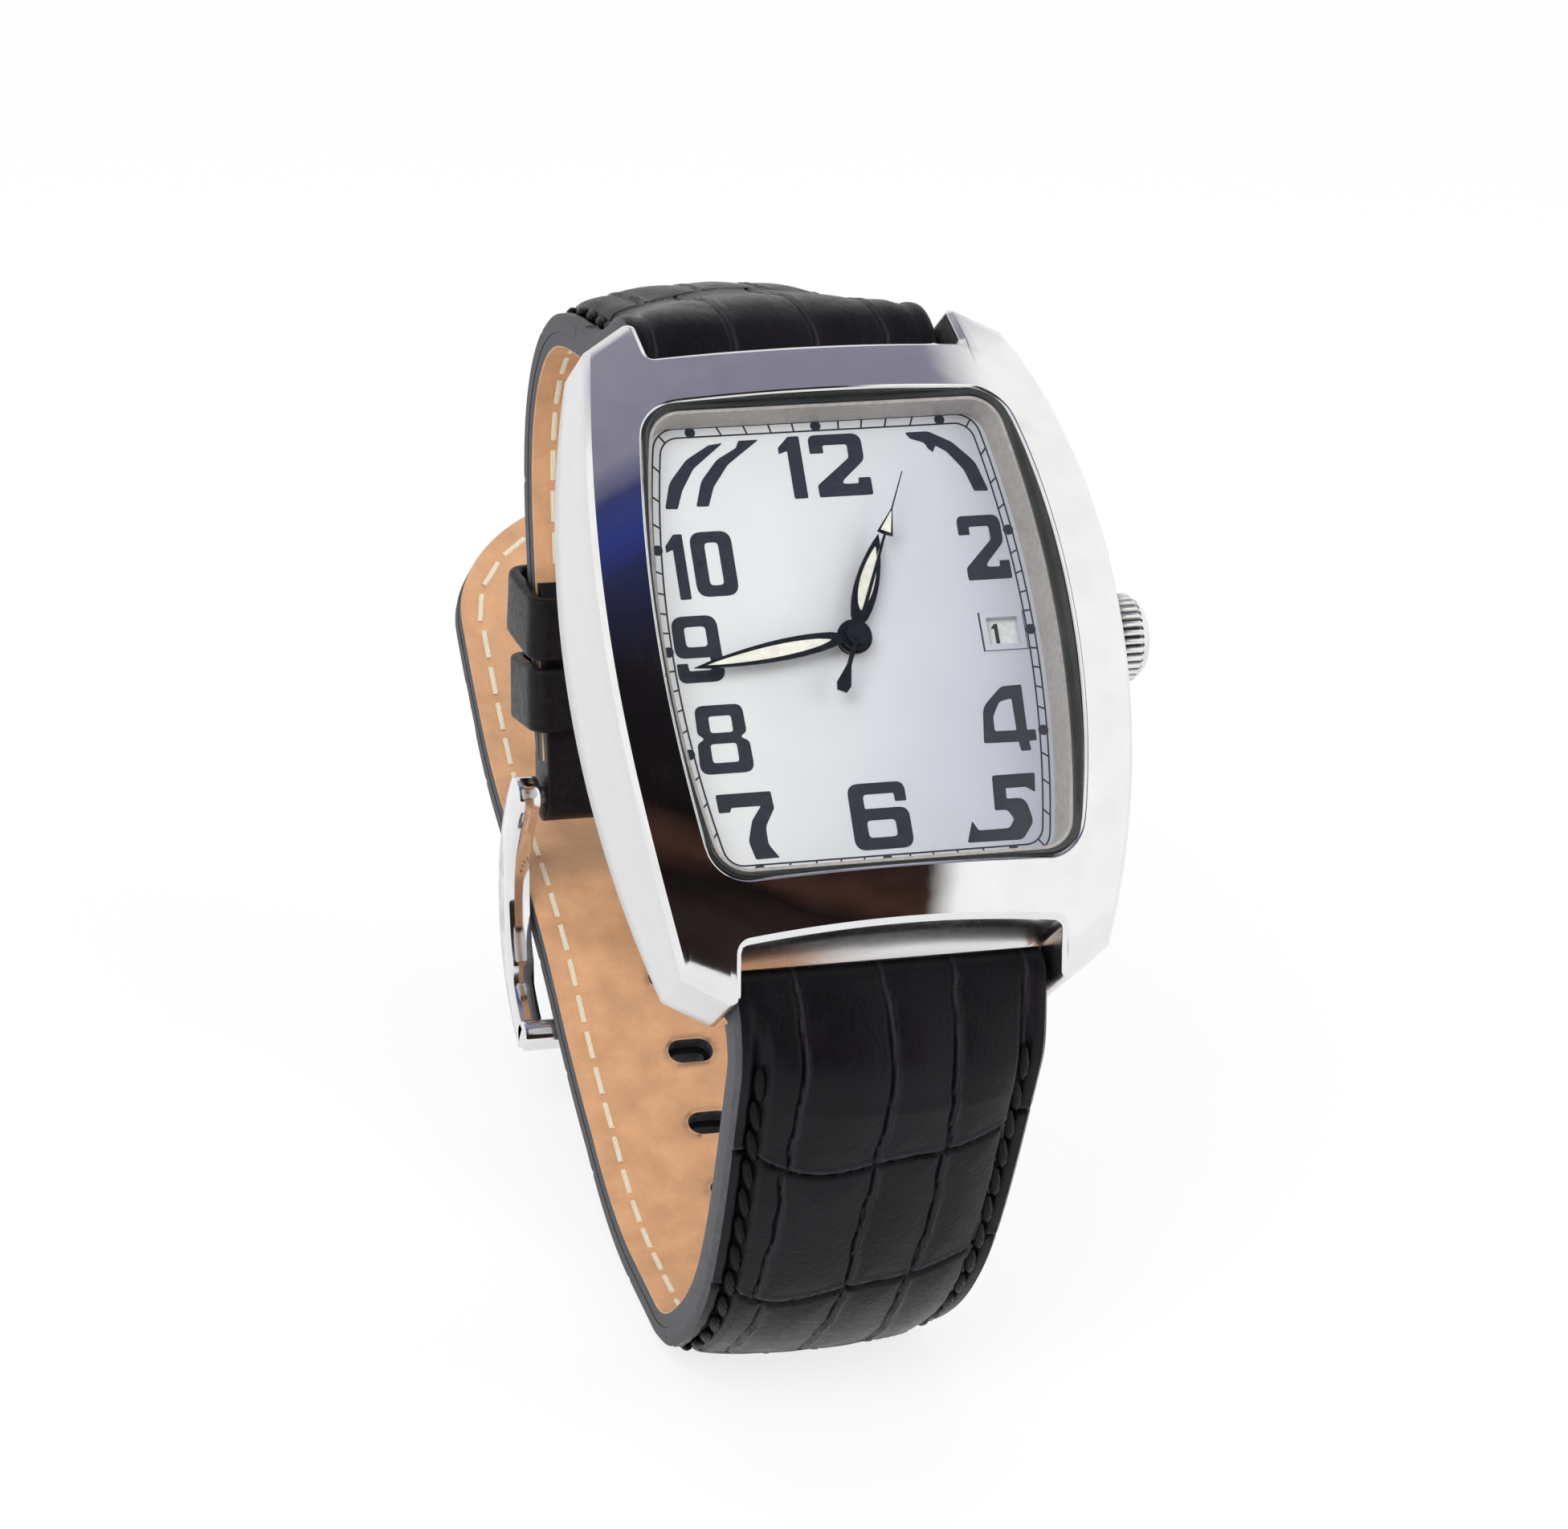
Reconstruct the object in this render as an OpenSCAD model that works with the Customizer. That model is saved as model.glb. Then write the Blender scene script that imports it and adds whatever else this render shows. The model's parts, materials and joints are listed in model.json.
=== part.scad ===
// Automatic wristwatch: a tonneau steel case on a padded leather strap that is buckled into a loop.
// Everything is drawn in the watch's own frame: origin at the centre of the dial's face, +X towards
// the crown, +Y towards twelve, +Z out of the dial. place() then leans the watch back, so that it
// stands on the flattened belly of its strap with the origin at the middle of that rest.

/* [Case] */
// Width of the case over its flanks, without the crown
case_w = 35.6; // [34:0.1:38]
// Width of the case over the shoulders where the flanks meet the lug ends
shoulder_w = 29.4; // [28:0.1:31]
// Distance of the shoulders from the middle of the case
shoulder_y = 21.7; // [21:0.1:22.5]
// Length over the lug tips
lug_to_lug = 47.2; // [46.8:0.1:48]
// Gap between the lugs, the strap's nominal width
lug_gap = 22; // [20:0.5:23]
// Distance of the end walls between the lugs from the middle
end_wall_y = 20.3; // [19.8:0.1:20.6]
// Radius of the rounded lug tips
lug_tip_r = 0.5; // [0.5:0.1:0.7]
// Depth of the flanks below the dial's face
flank_drop = 7; // [6.8:0.1:8]
// Height that the deck would have over the dial's centre
deck_h = 4.5; // [4.2:0.1:5.2]
// Height of the deck's edge at three and nine o'clock
deck_side_h = 3.7; // [3:0.1:4.1]
// Height of the deck at the end walls
deck_end_h = 2.35; // [1.9:0.05:2.9]
// Height of the deck at the lug tips, below the dial's face when negative
deck_tip_h = -1.3; // [-2.2:0.1:-0.6]
// Width of the bevel round the deck
deck_bevel = 0.35; // [0.2:0.05:0.4]
// Half width of the crystal's pocket at three and nine o'clock
window_hw = 14.2; // [13.6:0.1:14.4]
// Half length of the crystal's pocket
window_hh = 16.4; // [16:0.1:16.8]
// Corner radius of the crystal's pocket
window_corner_r = 2.9; // [2:0.1:3.6]
// Width of the ledge that carries the crystal
ledge = 0.5; // [0.4:0.05:0.6]
// Thickness of the case back's plate
back_t = 1.25; // [1:0.05:1.8]
// Step in from the case's outline to the case back's edge
back_inset = 0.9; // [0.6:0.1:1.4]

/* [Dial and crystal] */
// Thickness of the dial
dial_t = 0.4; // [0.3:0.05:0.5]
// Height of the crystal's ledge over the dial's face
hand_room = 2.35; // [2.3:0.05:2.5]
// Thickness of the gasket under and round the crystal
gasket_t = 0.14; // [0.1:0.02:0.2]
// Height of the crystal's middle over the dial's face
crystal_h = 4.75; // [4.5:0.05:5.2]
// Height of the crystal's rim over the deck
crystal_proud = 0.08; // [0:0.02:0.2]
// Half width of the dial that shows inside its ring
dial_open_hw = 13.15; // [12.8:0.05:13.3]
// Half length of the dial that shows inside its ring
dial_open_hh = 15.45; // [15.2:0.05:15.6]
// Distance of the date opening from the centre
date_x = 10.64; // [10.3:0.02:10.8]
// Width of the date opening
date_w = 2.2; // [1.8:0.1:2.4]
// Height of the date opening
date_h = 1.9; // [1.6:0.1:2.2]
// Width of the raised frame round the date opening
date_frame = 0.38; // [0.25:0.05:0.5]

/* [Hands] */
// Hour that the hands show
show_h = 12; // [1:1:12]
// Minute that the hands show
show_m = 43.7; // [0:0.1:59.9]
// Second that the seconds hand shows
show_s = 4; // [0:1:59]
// Length of the hour hand
hour_len = 7.6; // [6:0.1:8.5]
// Length of the minute hand
minute_len = 11.5; // [10:0.1:12]
// Length of the seconds hand from the centre to its tip
seconds_len = 12.1; // [10:0.1:12.6]
// Distance from the centre to the foot of the seconds hand's arrow
arrow_foot = 7.35; // [6:0.05:8.5]
// Length of the seconds hand's arrow
arrow_len = 1.9; // [1.2:0.05:2.2]
// Width of the seconds hand's arrow
arrow_w = 1.1; // [0.8:0.05:1.4]
// Length of the seconds hand's tail
seconds_tail = 4.3; // [3:0.1:5]
// Thickness of a hand
hand_t = 0.16; // [0.12:0.02:0.2]
// Height of the hour hand over the dial
hand_lift = 0.7; // [0.5:0.05:0.75]
// Free height between one hand and the next
hand_gap = 0.24; // [0.16:0.02:0.26]

/* [Crown and stem] */
// Diameter of the crown over its knurls
crown_d = 6; // [5:0.1:6.4]
// Length of the crown
crown_len = 3.5; // [3.4:0.1:4]
// Number of knurls round the crown
crown_knurls = 30; // [20:1:40]
// Gap between the crown and the flank
crown_gap = 0.25; // [0.15:0.05:0.5]
// Travel of the crown from winding to hand setting
crown_pull = 1.6; // [1.2:0.1:1.8]
// Depth of the stem's axis below the dial's face
stem_drop = 3.2; // [3.1:0.05:3.4]
// Outer radius of the crown tube
tube_r = 1.1; // [1:0.05:1.2]
// Radius of the winding stem
stem_r = 0.5; // [0.4:0.05:0.55]

/* [Movement] */
// Radius of the round movement
movement_r = 12.8; // [12.6:0.05:12.9]
// Thickness of a wheel in the train
wheel_t = 0.18; // [0.14:0.02:0.2]
// Running clearance of pivots and pipes
run_gap = 0.03; // [0.02:0.01:0.04]
// Radius of a wheel's arbor
arbor_r = 0.2; // [0.16:0.02:0.22]

/* [Strap] */
// Clearance of the strap on each side between the lugs
strap_side_gap = 0.15; // [0.1:0.05:0.3]
// Width of the strap at the buckle
strap_end_w = 18; // [16:0.5:19]
// Thickness of the rounded strap end round a lug's spring bar
strap_lug_t = 3.4; // [3:0.1:3.8]
// Thickness of the lining
lining_t = 1.1; // [0.8:0.1:1.3]
// Thickness of the outer leather at the strap's edges
edge_t = 1.35; // [1:0.05:1.6]
// Rise of the padding over the edges beside the case
pad_rise = 2; // [1.2:0.1:2.4]
// Rise of the padding at the buckle end
pad_end_rise = 0.35; // [0.2:0.05:0.8]
// Length of a strap hole across the strap
hole_w = 3.4; // [3:0.1:4]
// Height of a strap hole along the strap
hole_h = 2; // [1.8:0.1:2.4]
// Distance from one strap hole to the next
hole_pitch = 6.4; // [6:0.1:7]
// Length of the leather folded back inside the short strap at the buckle
fold_len = 16; // [15.5:0.5:20]
// Thickness of that folded leather
fold_t = 1; // [0.7:0.1:1.2]
// Length of each keeper along the strap
keeper_w = 4.8; // [3.5:0.1:5]
// Lean of the free keeper against the strap, in degrees
keeper_lean = 10; // [0:1:14]
// Thickness of a keeper's leather
keeper_t = 1; // [0.8:0.1:1.2]
// Free height inside a keeper for the strap's tail
keeper_room = 1.6; // [1.4:0.1:4]

/* [Buckle] */
// Length from the spring bar to the middle of the far bar
buckle_len = 17.8; // [17:0.1:18.4]
// Thickness of the buckle's arms across the strap
arm_t = 1.7; // [1.4:0.1:2.2]
// Depth of the buckle's arms, square to the strap
arm_depth = 3; // [2.6:0.1:3.4]
// Rise of the arms' arch over a straight line
arm_arch = 4; // [3.6:0.1:4.4]
// Width of the tongue
tongue_w = 2; // [1.6:0.1:2.2]
// Thickness of the tongue
tongue_t = 1; // [0.8:0.05:1.1]

/* [Stance] */
// Angle of the dial's outward direction above the horizon
lean = 43.5; // [41:0.5:46]
// Length of the strap's flattened rest, along the strap
rest_len = 6.5; // [5:0.5:8]
// Depth of leather pressed flat at the rest
rest_cut = 0.5; // [0.4:0.05:0.7]

/* [Hidden] */
$fn = 64;
// Small clearances: parts that are pressed or glued, parts that lift out, parts that slide
glue_gap = 0.02;
fit_gap = 0.05;
slide_gap = 0.3;
// Extra length of a cut past the face that it opens
past = 1;

// Flanks: arcs through the widest point and the shoulders
case_hw = case_w / 2;
shoulder_hw = shoulder_w / 2;
side_bow = case_hw - shoulder_hw;
side_r = (shoulder_y * shoulder_y + side_bow * side_bow) / (2 * side_bow);
side_cx = case_hw - side_r;
lug_hw = lug_gap / 2;
tip_c = [lug_hw + lug_tip_r, lug_to_lug / 2 - lug_tip_r];
wall_fillet = 0.5;

// Deck: a surface that falls away from the middle, faster towards the lugs
quartic_share = 0.85;
deck_fall_x = (deck_h - deck_side_h) / pow(case_hw, 2);
deck_fall_y2 = (1 - quartic_share) * (deck_h - deck_end_h) / pow(end_wall_y, 2);
deck_fall_y4 = quartic_share * (deck_h - deck_end_h) / pow(end_wall_y, 4);
tip_x2 = pow(tip_c.x, 2);
tip_y2 = pow(lug_to_lug / 2, 2);
tip_without_cross = deck_h - deck_fall_x * tip_x2 - deck_fall_y2 * tip_y2 - deck_fall_y4 * tip_y2 * tip_y2;
deck_fall_xy = (tip_without_cross - deck_tip_h) / (tip_x2 * tip_y2);
function deck_z(x, y) = deck_h - deck_fall_x * x * x - deck_fall_y2 * y * y
    - deck_fall_y4 * pow(y, 4) - deck_fall_xy * x * x * y * y;

// Levels along the dial's axis
lip_hw = window_hw - ledge;
lip_hh = window_hh - ledge;
pocket_hw = lip_hw + 0.35;
pocket_hh = lip_hh + 0.6;
hour_z = hand_lift;
minute_z = hour_z + hand_t + hand_gap;
seconds_z = minute_z + hand_t + hand_gap;
cap_h = 0.24;
disc_t = 0.2;
disc_z = -dial_t - 0.07 - disc_t;
plate_top = disc_z - 0.1;
plate_t = 2;
plate_bottom = plate_top - plate_t;
motion_floor = plate_top - 0.65;
bridge_top = plate_bottom - 1.7;
bridge_t = 0.7;
bridge_bottom = bridge_top - bridge_t;
rotor_top = bridge_bottom - 0.15;
rotor_t = 0.35;
rotor_bottom = rotor_top - rotor_t;
rim_h = 1.1;

// Wheels: teeth, modules and places seen from the dial, in the order of the train
centre_teeth = 80;
centre_leaves = 12;
third_teeth = 75;
third_leaves = 10;
fourth_teeth = 70;
fourth_leaves = 10;
escape_teeth = 18;
escape_leaves = 7;
barrel_teeth = 72;
train_m = 0.1;
barrel_m = 0.14;
escape_m = 0.1085;
third_a = -60;
barrel_a = 100;
escape_a = 195;
third_d = train_m * (third_teeth + fourth_leaves) / 2;
centre_m = 2 * third_d / (centre_teeth + third_leaves);
barrel_d = barrel_m * (barrel_teeth + centre_leaves) / 2;
escape_d = escape_m * (fourth_teeth + escape_leaves) / 2;
third_at = third_d * ahead(third_a);
barrel_at = barrel_d * ahead(barrel_a);
escape_at = escape_d * ahead(escape_a);
pallet_a = -100;
pallet_d = 2.85;
pallet_at = escape_at + pallet_d * ahead(pallet_a);
balance_a = -105;
balance_d = 3.1;
balance_at = pallet_at + balance_d * ahead(balance_a);
balance_r = 3.6;
escape_r = 2;
// Lower faces of the wheels, from the dial side to the back
barrel_z = plate_bottom - 0.23;
barrel_h = 1.25;
barrel_rim_t = 0.3;
centre_pinion_z = barrel_z + barrel_h - 0.4;
escape_z = plate_bottom - 0.25;
centre_z = plate_bottom - 0.55;
third_z = centre_z - 0.42;
fourth_z = third_z - 0.34;
balance_z = plate_bottom - 1.23;
balance_t = 0.3;
spring_z = balance_z - 0.3;
// Motion work between the dial and the mainplate
cannon_leaves = 12;
minute_teeth = 36;
minute_leaves = 10;
hour_teeth = 40;
motion_m = 0.1;
minute_a = -35;
minute_d = motion_m * (cannon_leaves + minute_teeth) / 2;
hour_m = 2 * minute_d / (minute_leaves + hour_teeth);
minute_at = minute_d * ahead(minute_a);
// Pipes nested round the seconds arbor
sec_r = 0.2;
centre_in_r = sec_r + run_gap;
centre_out_r = centre_in_r + 0.15;
cannon_in_r = centre_out_r + run_gap;
cannon_out_r = cannon_in_r + 0.22;
hour_in_r = cannon_out_r + run_gap;
hour_out_r = hour_in_r + 0.22;
dial_hole_r = hour_out_r + 0.12;

// Turns that set the hands
hour_turn = -30 * (show_h + show_m / 60);
minute_turn = -6 * show_m;
seconds_turn = -6 * show_s;

// Strap: side view as [y, z] with the heading in degrees. A side of 1 has the wrist to the left of
// the route and a side of -1 to its right. The route is the lining's inner face.
bar_r = 0.75;
bar_z = -4.6;
strap_lug_hw = lug_hw - strap_side_gap;
wrap_hw = strap_lug_hw - 0.08;
strap_end_hw = strap_end_w / 2;
taper_len = 56;
end_wrap_t = 3.8;
end_wrap_r = end_wrap_t / 2;
lug_wrap_r = strap_lug_t / 2;
bar_y = end_wall_y + lug_wrap_r + slide_gap;
function turned(p, a) = [p.x * cos(a) - p.y * sin(a), p.x * sin(a) + p.y * cos(a)];
function ahead(a) = [cos(a), sin(a)];
// Direction away from the wrist for a heading and a side
function away(a, side) = side * [sin(a), -cos(a)];
function knot(p, a) = [p.x, p.y, a];

short_start_a = -15;
short_end_a = -150;
buckle_bar = [5.3, -48.2];
short_start = [bar_y, bar_z] - lug_wrap_r * away(short_start_a, -1);
short_end = buckle_bar - (end_wrap_r - fold_t) * away(short_end_a, -1);
short_knots = [
    knot(short_start, short_start_a),
    knot([24.9, -12.5], -68),
    knot([30.8, -26], -93),
    knot([27.6, -33.2], -133),
    knot(short_end - 20 * ahead(short_end_a), short_end_a),
    knot(short_end, short_end_a)];

long_start_a = -165;
rest_a = lean - 90;
long_start = [-bar_y, bar_z] - lug_wrap_r * away(long_start_a, 1);
rest_mid = [-33.2, -38.8];
strap_under_bar = buckle_bar + [-17.1, -3];
long_knots = [
    knot(long_start, long_start_a),
    knot([-26.2, -8], -124),
    knot([-35, -21.8], -116),
    knot([-36.9, -30], -90),
    knot(rest_mid - rest_len / 2 * ahead(rest_a), rest_a),
    knot(rest_mid + rest_len / 2 * ahead(rest_a), rest_a),
    knot(strap_under_bar, -16),
    knot(buckle_bar + [-8.2, -5.7], -22),
    knot(buckle_bar + [-0.8, -9.3], -27),
    knot(buckle_bar + [7.5, -12.8], -14),
    knot(buckle_bar + [28, -15.6], -7)];

// Cubic curve between two knots, leaving and arriving along their headings
function hermite(a, b, t) =
    let (k = norm([b[0] - a[0], b[1] - a[1]]),
        p = [a[0], a[1]], q = [b[0], b[1]],
        u = k * ahead(a[2]), v = k * ahead(b[2]),
        t2 = t * t, t3 = t2 * t,
        at = (2 * t3 - 3 * t2 + 1) * p + (t3 - 2 * t2 + t) * u + (3 * t2 - 2 * t3) * q + (t3 - t2) * v,
        d = (6 * t2 - 6 * t) * p + (3 * t2 - 4 * t + 1) * u + (6 * t - 6 * t2) * q + (3 * t2 - 2 * t) * v)
    [at.x, at.y, atan2(d.y, d.x)];
ring_step = 2.4;
function route(knots) = [
    for (i = [0 : len(knots) - 2])
        let (n = max(1, ceil(norm([knots[i + 1][0] - knots[i][0],
            knots[i + 1][1] - knots[i][1]]) / ring_step)))
            for (j = [0 : n - 1]) hermite(knots[i], knots[i + 1], j / n),
    knots[len(knots) - 1]];
function sums(v, i = 0, total = 0) = i >= len(v) ? [] : concat([total + v[i]], sums(v, i + 1, total + v[i]));
// Each route sample as [y, z, heading, length from the start]
function measured(r) =
    let (steps = [for (i = [0 : len(r) - 1])
        i == 0 ? 0 : norm([r[i][0] - r[i - 1][0], r[i][1] - r[i - 1][1]])],
        lengths = sums(steps))
    [for (i = [0 : len(r) - 1]) [r[i][0], r[i][1], r[i][2], lengths[i]]];
short_route = measured(route(short_knots));
long_route = measured(route(long_knots));
short_len = short_route[len(short_route) - 1][3];
long_len = long_route[len(long_route) - 1][3];
function turn_between(a, b) = let (d = b - a) d > 180 ? d - 360 : d < -180 ? d + 360 : d;
// The route at any length, straight on past its ends
function route_at(r, s, i = 0) =
    s <= 0 ? [r[0][0] + s * cos(r[0][2]), r[0][1] + s * sin(r[0][2]), r[0][2]] :
    i >= len(r) - 1 ? let (e = r[len(r) - 1], d = s - e[3]) [e[0] + d * cos(e[2]), e[1] + d * sin(e[2]),
        e[2]] :
    s > r[i + 1][3] ? route_at(r, s, i + 1) :
    let (f = (s - r[i][3]) / (r[i + 1][3] - r[i][3]))
    [r[i][0] + f * (r[i + 1][0] - r[i][0]), r[i][1] + f * (r[i + 1][1] - r[i][1]),
        r[i][2] + f * turn_between(r[i][2], r[i + 1][2])];
function strap_hw(s) = max(strap_end_hw,
    strap_lug_hw - (strap_lug_hw - strap_end_hw) * max(0, s) / taper_len);
function clamp01(t) = min(1, max(0, t));
pad_fade_len = 62;
function pad(s) = pad_end_rise + (pad_rise - pad_end_rise) * pow(1 - clamp01((s - 6) / pad_fade_len), 1.3)
    * clamp01(0.25 + s / 8);

// Placement: the rest's middle goes to the origin and the dial leans back
function length_at(r, p) = let (d = [for (q = r) norm([q[0] - p.x, q[1] - p.y])], m = min(d))
    [for (i = [0 : len(r) - 1]) if (d[i] == m) r[i][3]][0];
rest_s = length_at(long_route, rest_mid);
rest_skin = lining_t + edge_t + pad(rest_s) - rest_cut;
rest_point = rest_mid + rest_skin * away(rest_a, 1);
rest_shift = turned(rest_point, 90 - lean);
module place() {
    translate([0, -rest_shift.x, -rest_shift.y]) rotate([90 - lean, 0, 0]) children();
}

// Teeth: a spur wheel as a polygon, with a tooth's middle at the phase angle
function tooth_pts(n, m, i, phase) =
    let (pitch = 360 / n, a = phase + i * pitch, r = n * m / 2)
    [for (k = [[-0.29, -0.85], [-0.12, 0.7], [0.12, 0.7],
        [0.29, -0.85]]) (r + k[1] * m) * ahead(a + k[0] * pitch)];
module wheel_shape(n, m, phase) {
    polygon([for (i = [0 : n - 1]) for (p = tooth_pts(n, m, i, phase)) p]);
}
// Phase of a wheel of nb teeth that meshes with one of na teeth in the direction a from the first
function mesh_phase(a, phase, na, nb) = a + 180 - (0.5 - (a - phase) * na / 360) * 360 / nb;
// A wheel with spokes: z is its lower face
module spoked_wheel(n, m, phase, z, t, hub_r, spokes) {
    rim_r = n * m / 2 - 4.5 * m;
    spoke_w = 0.34;
    translate([0, 0, z]) {
        linear_extrude(t) difference() {
            wheel_shape(n, m, phase);
            circle(r = rim_r);
        }
        cylinder(r = hub_r, h = t);
        for (i = [0 : spokes - 1]) rotate([0, 0, i * 360 / spokes])
            translate([hub_r / 2, -spoke_w / 2, 0]) cube([rim_r + m - hub_r / 2, spoke_w, t]);
    }
}
pivot_r = 0.12;
pivot_len = 0.3;
// Arbor between two levels with a thinner pivot at each end
module arbor(z0, z1) {
    translate([0, 0, z0]) cylinder(r = arbor_r, h = z1 - z0);
    translate([0, 0, z0 - pivot_len]) cylinder(r = pivot_r, h = z1 - z0 + 2 * pivot_len);
}
module tube(z0, z1, r1, r0) {
    translate([0, 0, z0]) difference() {
        cylinder(r = r1, h = z1 - z0);
        translate([0, 0, -past]) cylinder(r = r0, h = z1 - z0 + 2 * past);
    }
}
// Pivot hole that is cut from a bearing face at z, upwards or downwards
module pivot_hole(z, up) {
    depth = pivot_len + 0.06;
    translate([0, 0, up ? z - past : z - depth]) cylinder(r = pivot_r + run_gap, h = depth + past);
}

// Lofts: rings of equal numbers of points, capped or closed into a loop
module loft(rings) {
    n = len(rings[0]);
    m = len(rings);
    polyhedron(points = [for (r = rings) for (p = r) p],
        faces = concat([[for (i = [n - 1 : -1 : 0]) i]],
            [for (k = [0 : m - 2]) for (i = [0 : n - 1]) for (h = [0, 1])
                let (a = k * n + i, b = k * n + (i + 1) % n)
                h == 0 ? [a, b, b + n] : [a, b + n, a + n]],
            [[for (i = [0 : n - 1]) (m - 1) * n + i]]));
}
module loop_loft(rings) {
    n = len(rings[0]);
    m = len(rings);
    polyhedron(points = [for (r = rings) for (p = r) p],
        faces = [for (k = [0 : m - 1]) for (i = [0 : n - 1]) for (h = [0, 1])
            let (a = k * n + i, b = k * n + (i + 1) % n, c = ((k + 1) % m) * n + i,
                d = ((k + 1) % m) * n + (i + 1) % n)
            h == 0 ? [a, b, d] : [a, d, c]]);
}
// Loft whose last ring closes on one point
module dome_loft(rings, top) {
    n = len(rings[0]);
    m = len(rings);
    polyhedron(points = concat([for (r = rings) for (p = r) p], [top]),
        faces = concat([[for (i = [n - 1 : -1 : 0]) i]],
            [for (k = [0 : m - 2]) for (i = [0 : n - 1]) for (h = [0, 1])
                let (a = k * n + i, b = k * n + (i + 1) % n)
                h == 0 ? [a, b, b + n] : [a, b + n, a + n]],
            [for (i = [0 : n - 1]) [(m - 1) * n + i, (m - 1) * n + (i + 1) % n, m * n]]));
}

// Outlines: a quarter of each from +X round to +Y, then mirrored into the whole
side_n = 12;
tip_n = 4;
fillet_n = 3;
wall_n = 4;
wall_bow = 0.25;
function whole(q) = let (n = len(q)) concat(q,
    [for (i = [n - 2 : -1 : 0]) [-q[i].x, q[i].y]],
    [for (i = [1 : n - 1]) [-q[i].x, -q[i].y]],
    [for (i = [n - 2 : -1 : 1]) [q[i].x, -q[i].y]]);
side_a = asin(shoulder_y / side_r);
end_d = [shoulder_hw, shoulder_y] - tip_c;
end_a = atan2(end_d.y, end_d.x) + acos(lug_tip_r / norm(end_d));
fillet_c = [lug_hw - wall_fillet, end_wall_y + wall_fillet];
function case_quarter(o) = concat(
    [for (i = [0 : side_n - 1]) let (a = side_a * i / side_n) [side_cx, 0] + (side_r + o) * ahead(a)],
    [[shoulder_hw, shoulder_y] + o / cos((end_a - side_a) / 2) * ahead((end_a + side_a) / 2)],
    [for (i = [0 : tip_n]) tip_c + (lug_tip_r + o) * ahead(end_a + (180 - end_a) * i / tip_n)],
    [for (i = [0 : fillet_n]) fillet_c + (wall_fillet - o) * ahead(-90 * i / fillet_n)],
    [for (i = [1 : wall_n]) let (f = 1 - i / wall_n)
        [fillet_c.x * f, end_wall_y + o - wall_bow * (1 - f * f)]]);
// Tonneau: side arcs parallel to the flanks, round corners and straight ends
function tonneau_quarter(hw, hh, cr) =
    let (sr = side_r - (case_hw - hw), sx = hw - sr, cy = hh - cr, cx = sx + sqrt(pow(sr - cr, 2) - cy * cy),
        a = atan2(cy, cx - sx), c = [cx, cy],
        corner = concat([0], [for (i = [0 : tip_n]) 0.15 + 0.47 * i / tip_n],
            [for (i = [0 : fillet_n]) 0.68 + 0.32 * i / fillet_n]))
    concat([for (i = [0 : side_n - 1]) [sx, 0] + sr * ahead(a * i / side_n)],
        [for (f = corner) c + cr * ahead(a + (90 - a) * f)],
        [for (i = [1 : wall_n]) [cx * (1 - i / wall_n), hh]]);
function tonneau(hw, hh, cr) = whole(tonneau_quarter(hw, hh, cr));
function window(o) = tonneau(window_hw + o, window_hh + o, window_corner_r + o);
function lip(o) = tonneau(lip_hw + o, lip_hh + o, window_corner_r - ledge + o);
function pocket(o) = tonneau(pocket_hw + o, pocket_hh + o, window_corner_r + o);
function at_z(ring, z) = [for (p = ring) [p.x, p.y, z]];
function on_deck(ring, drop) = [for (p = ring) [p.x, p.y, deck_z(p.x, p.y) - drop]];
function blend(a, b, t) = [for (i = [0 : len(a) - 1]) a[i] + t * (b[i] - a[i])];
module slab(ring, z0, z1) {
    translate([0, 0, z0]) linear_extrude(z1 - z0) polygon(ring);
}

// Case
deck_edge = whole(case_quarter(-deck_bevel));
brow_w = 0.22;
brow = window(brow_w);
stem_z = -stem_drop;
module along_x(x) {
    translate([x, 0, stem_z]) rotate([0, 90, 0]) children();
}
crown_x = case_hw + crown_gap;
tube_out = crown_x + 2.3;
back_screw_x = case_hw - 5.2;
back_screw_y = end_wall_y - 2.4;
back_screws = [for (x = [back_screw_x, -back_screw_x], y = [back_screw_y, -back_screw_y]) [x, y]];
back_screw_r = 0.55;
back_head_r = 0.9;
lug_hole_r = 0.45;
lug_hole_depth = 1.3;
module case_middle() {
    flank = whole(case_quarter(0));
    color([0.80, 0.80, 0.81]) place() difference() {
        loop_loft([at_z(flank, -flank_drop), on_deck(flank, deck_bevel), on_deck(deck_edge, 0),
            on_deck(blend(deck_edge, brow, 0.35), 0), on_deck(blend(deck_edge, brow, 0.7), 0),
                on_deck(brow, 0),
            on_deck(window(0), brow_w), at_z(window(0), hand_room), at_z(lip(0), hand_room), at_z(lip(0), 0),
            at_z(pocket(0), 0), at_z(pocket(0), -flank_drop)]);
        along_x(0) cylinder(r = tube_r + glue_gap, h = case_w);
        for (p = back_screws) translate([p.x, p.y, -flank_drop - past])
            cylinder(r = back_screw_r + fit_gap, h = past + 2.2, $fn = 32);
        for (y = [-bar_y, bar_y]) translate([-lug_hw - lug_hole_depth, y, bar_z]) rotate([0, 90, 0])
            cylinder(r = lug_hole_r, h = lug_gap + 2 * lug_hole_depth, $fn = 32);
    }
}
step_t = back_t * 0.65;
back_groove = 0.35;
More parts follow.
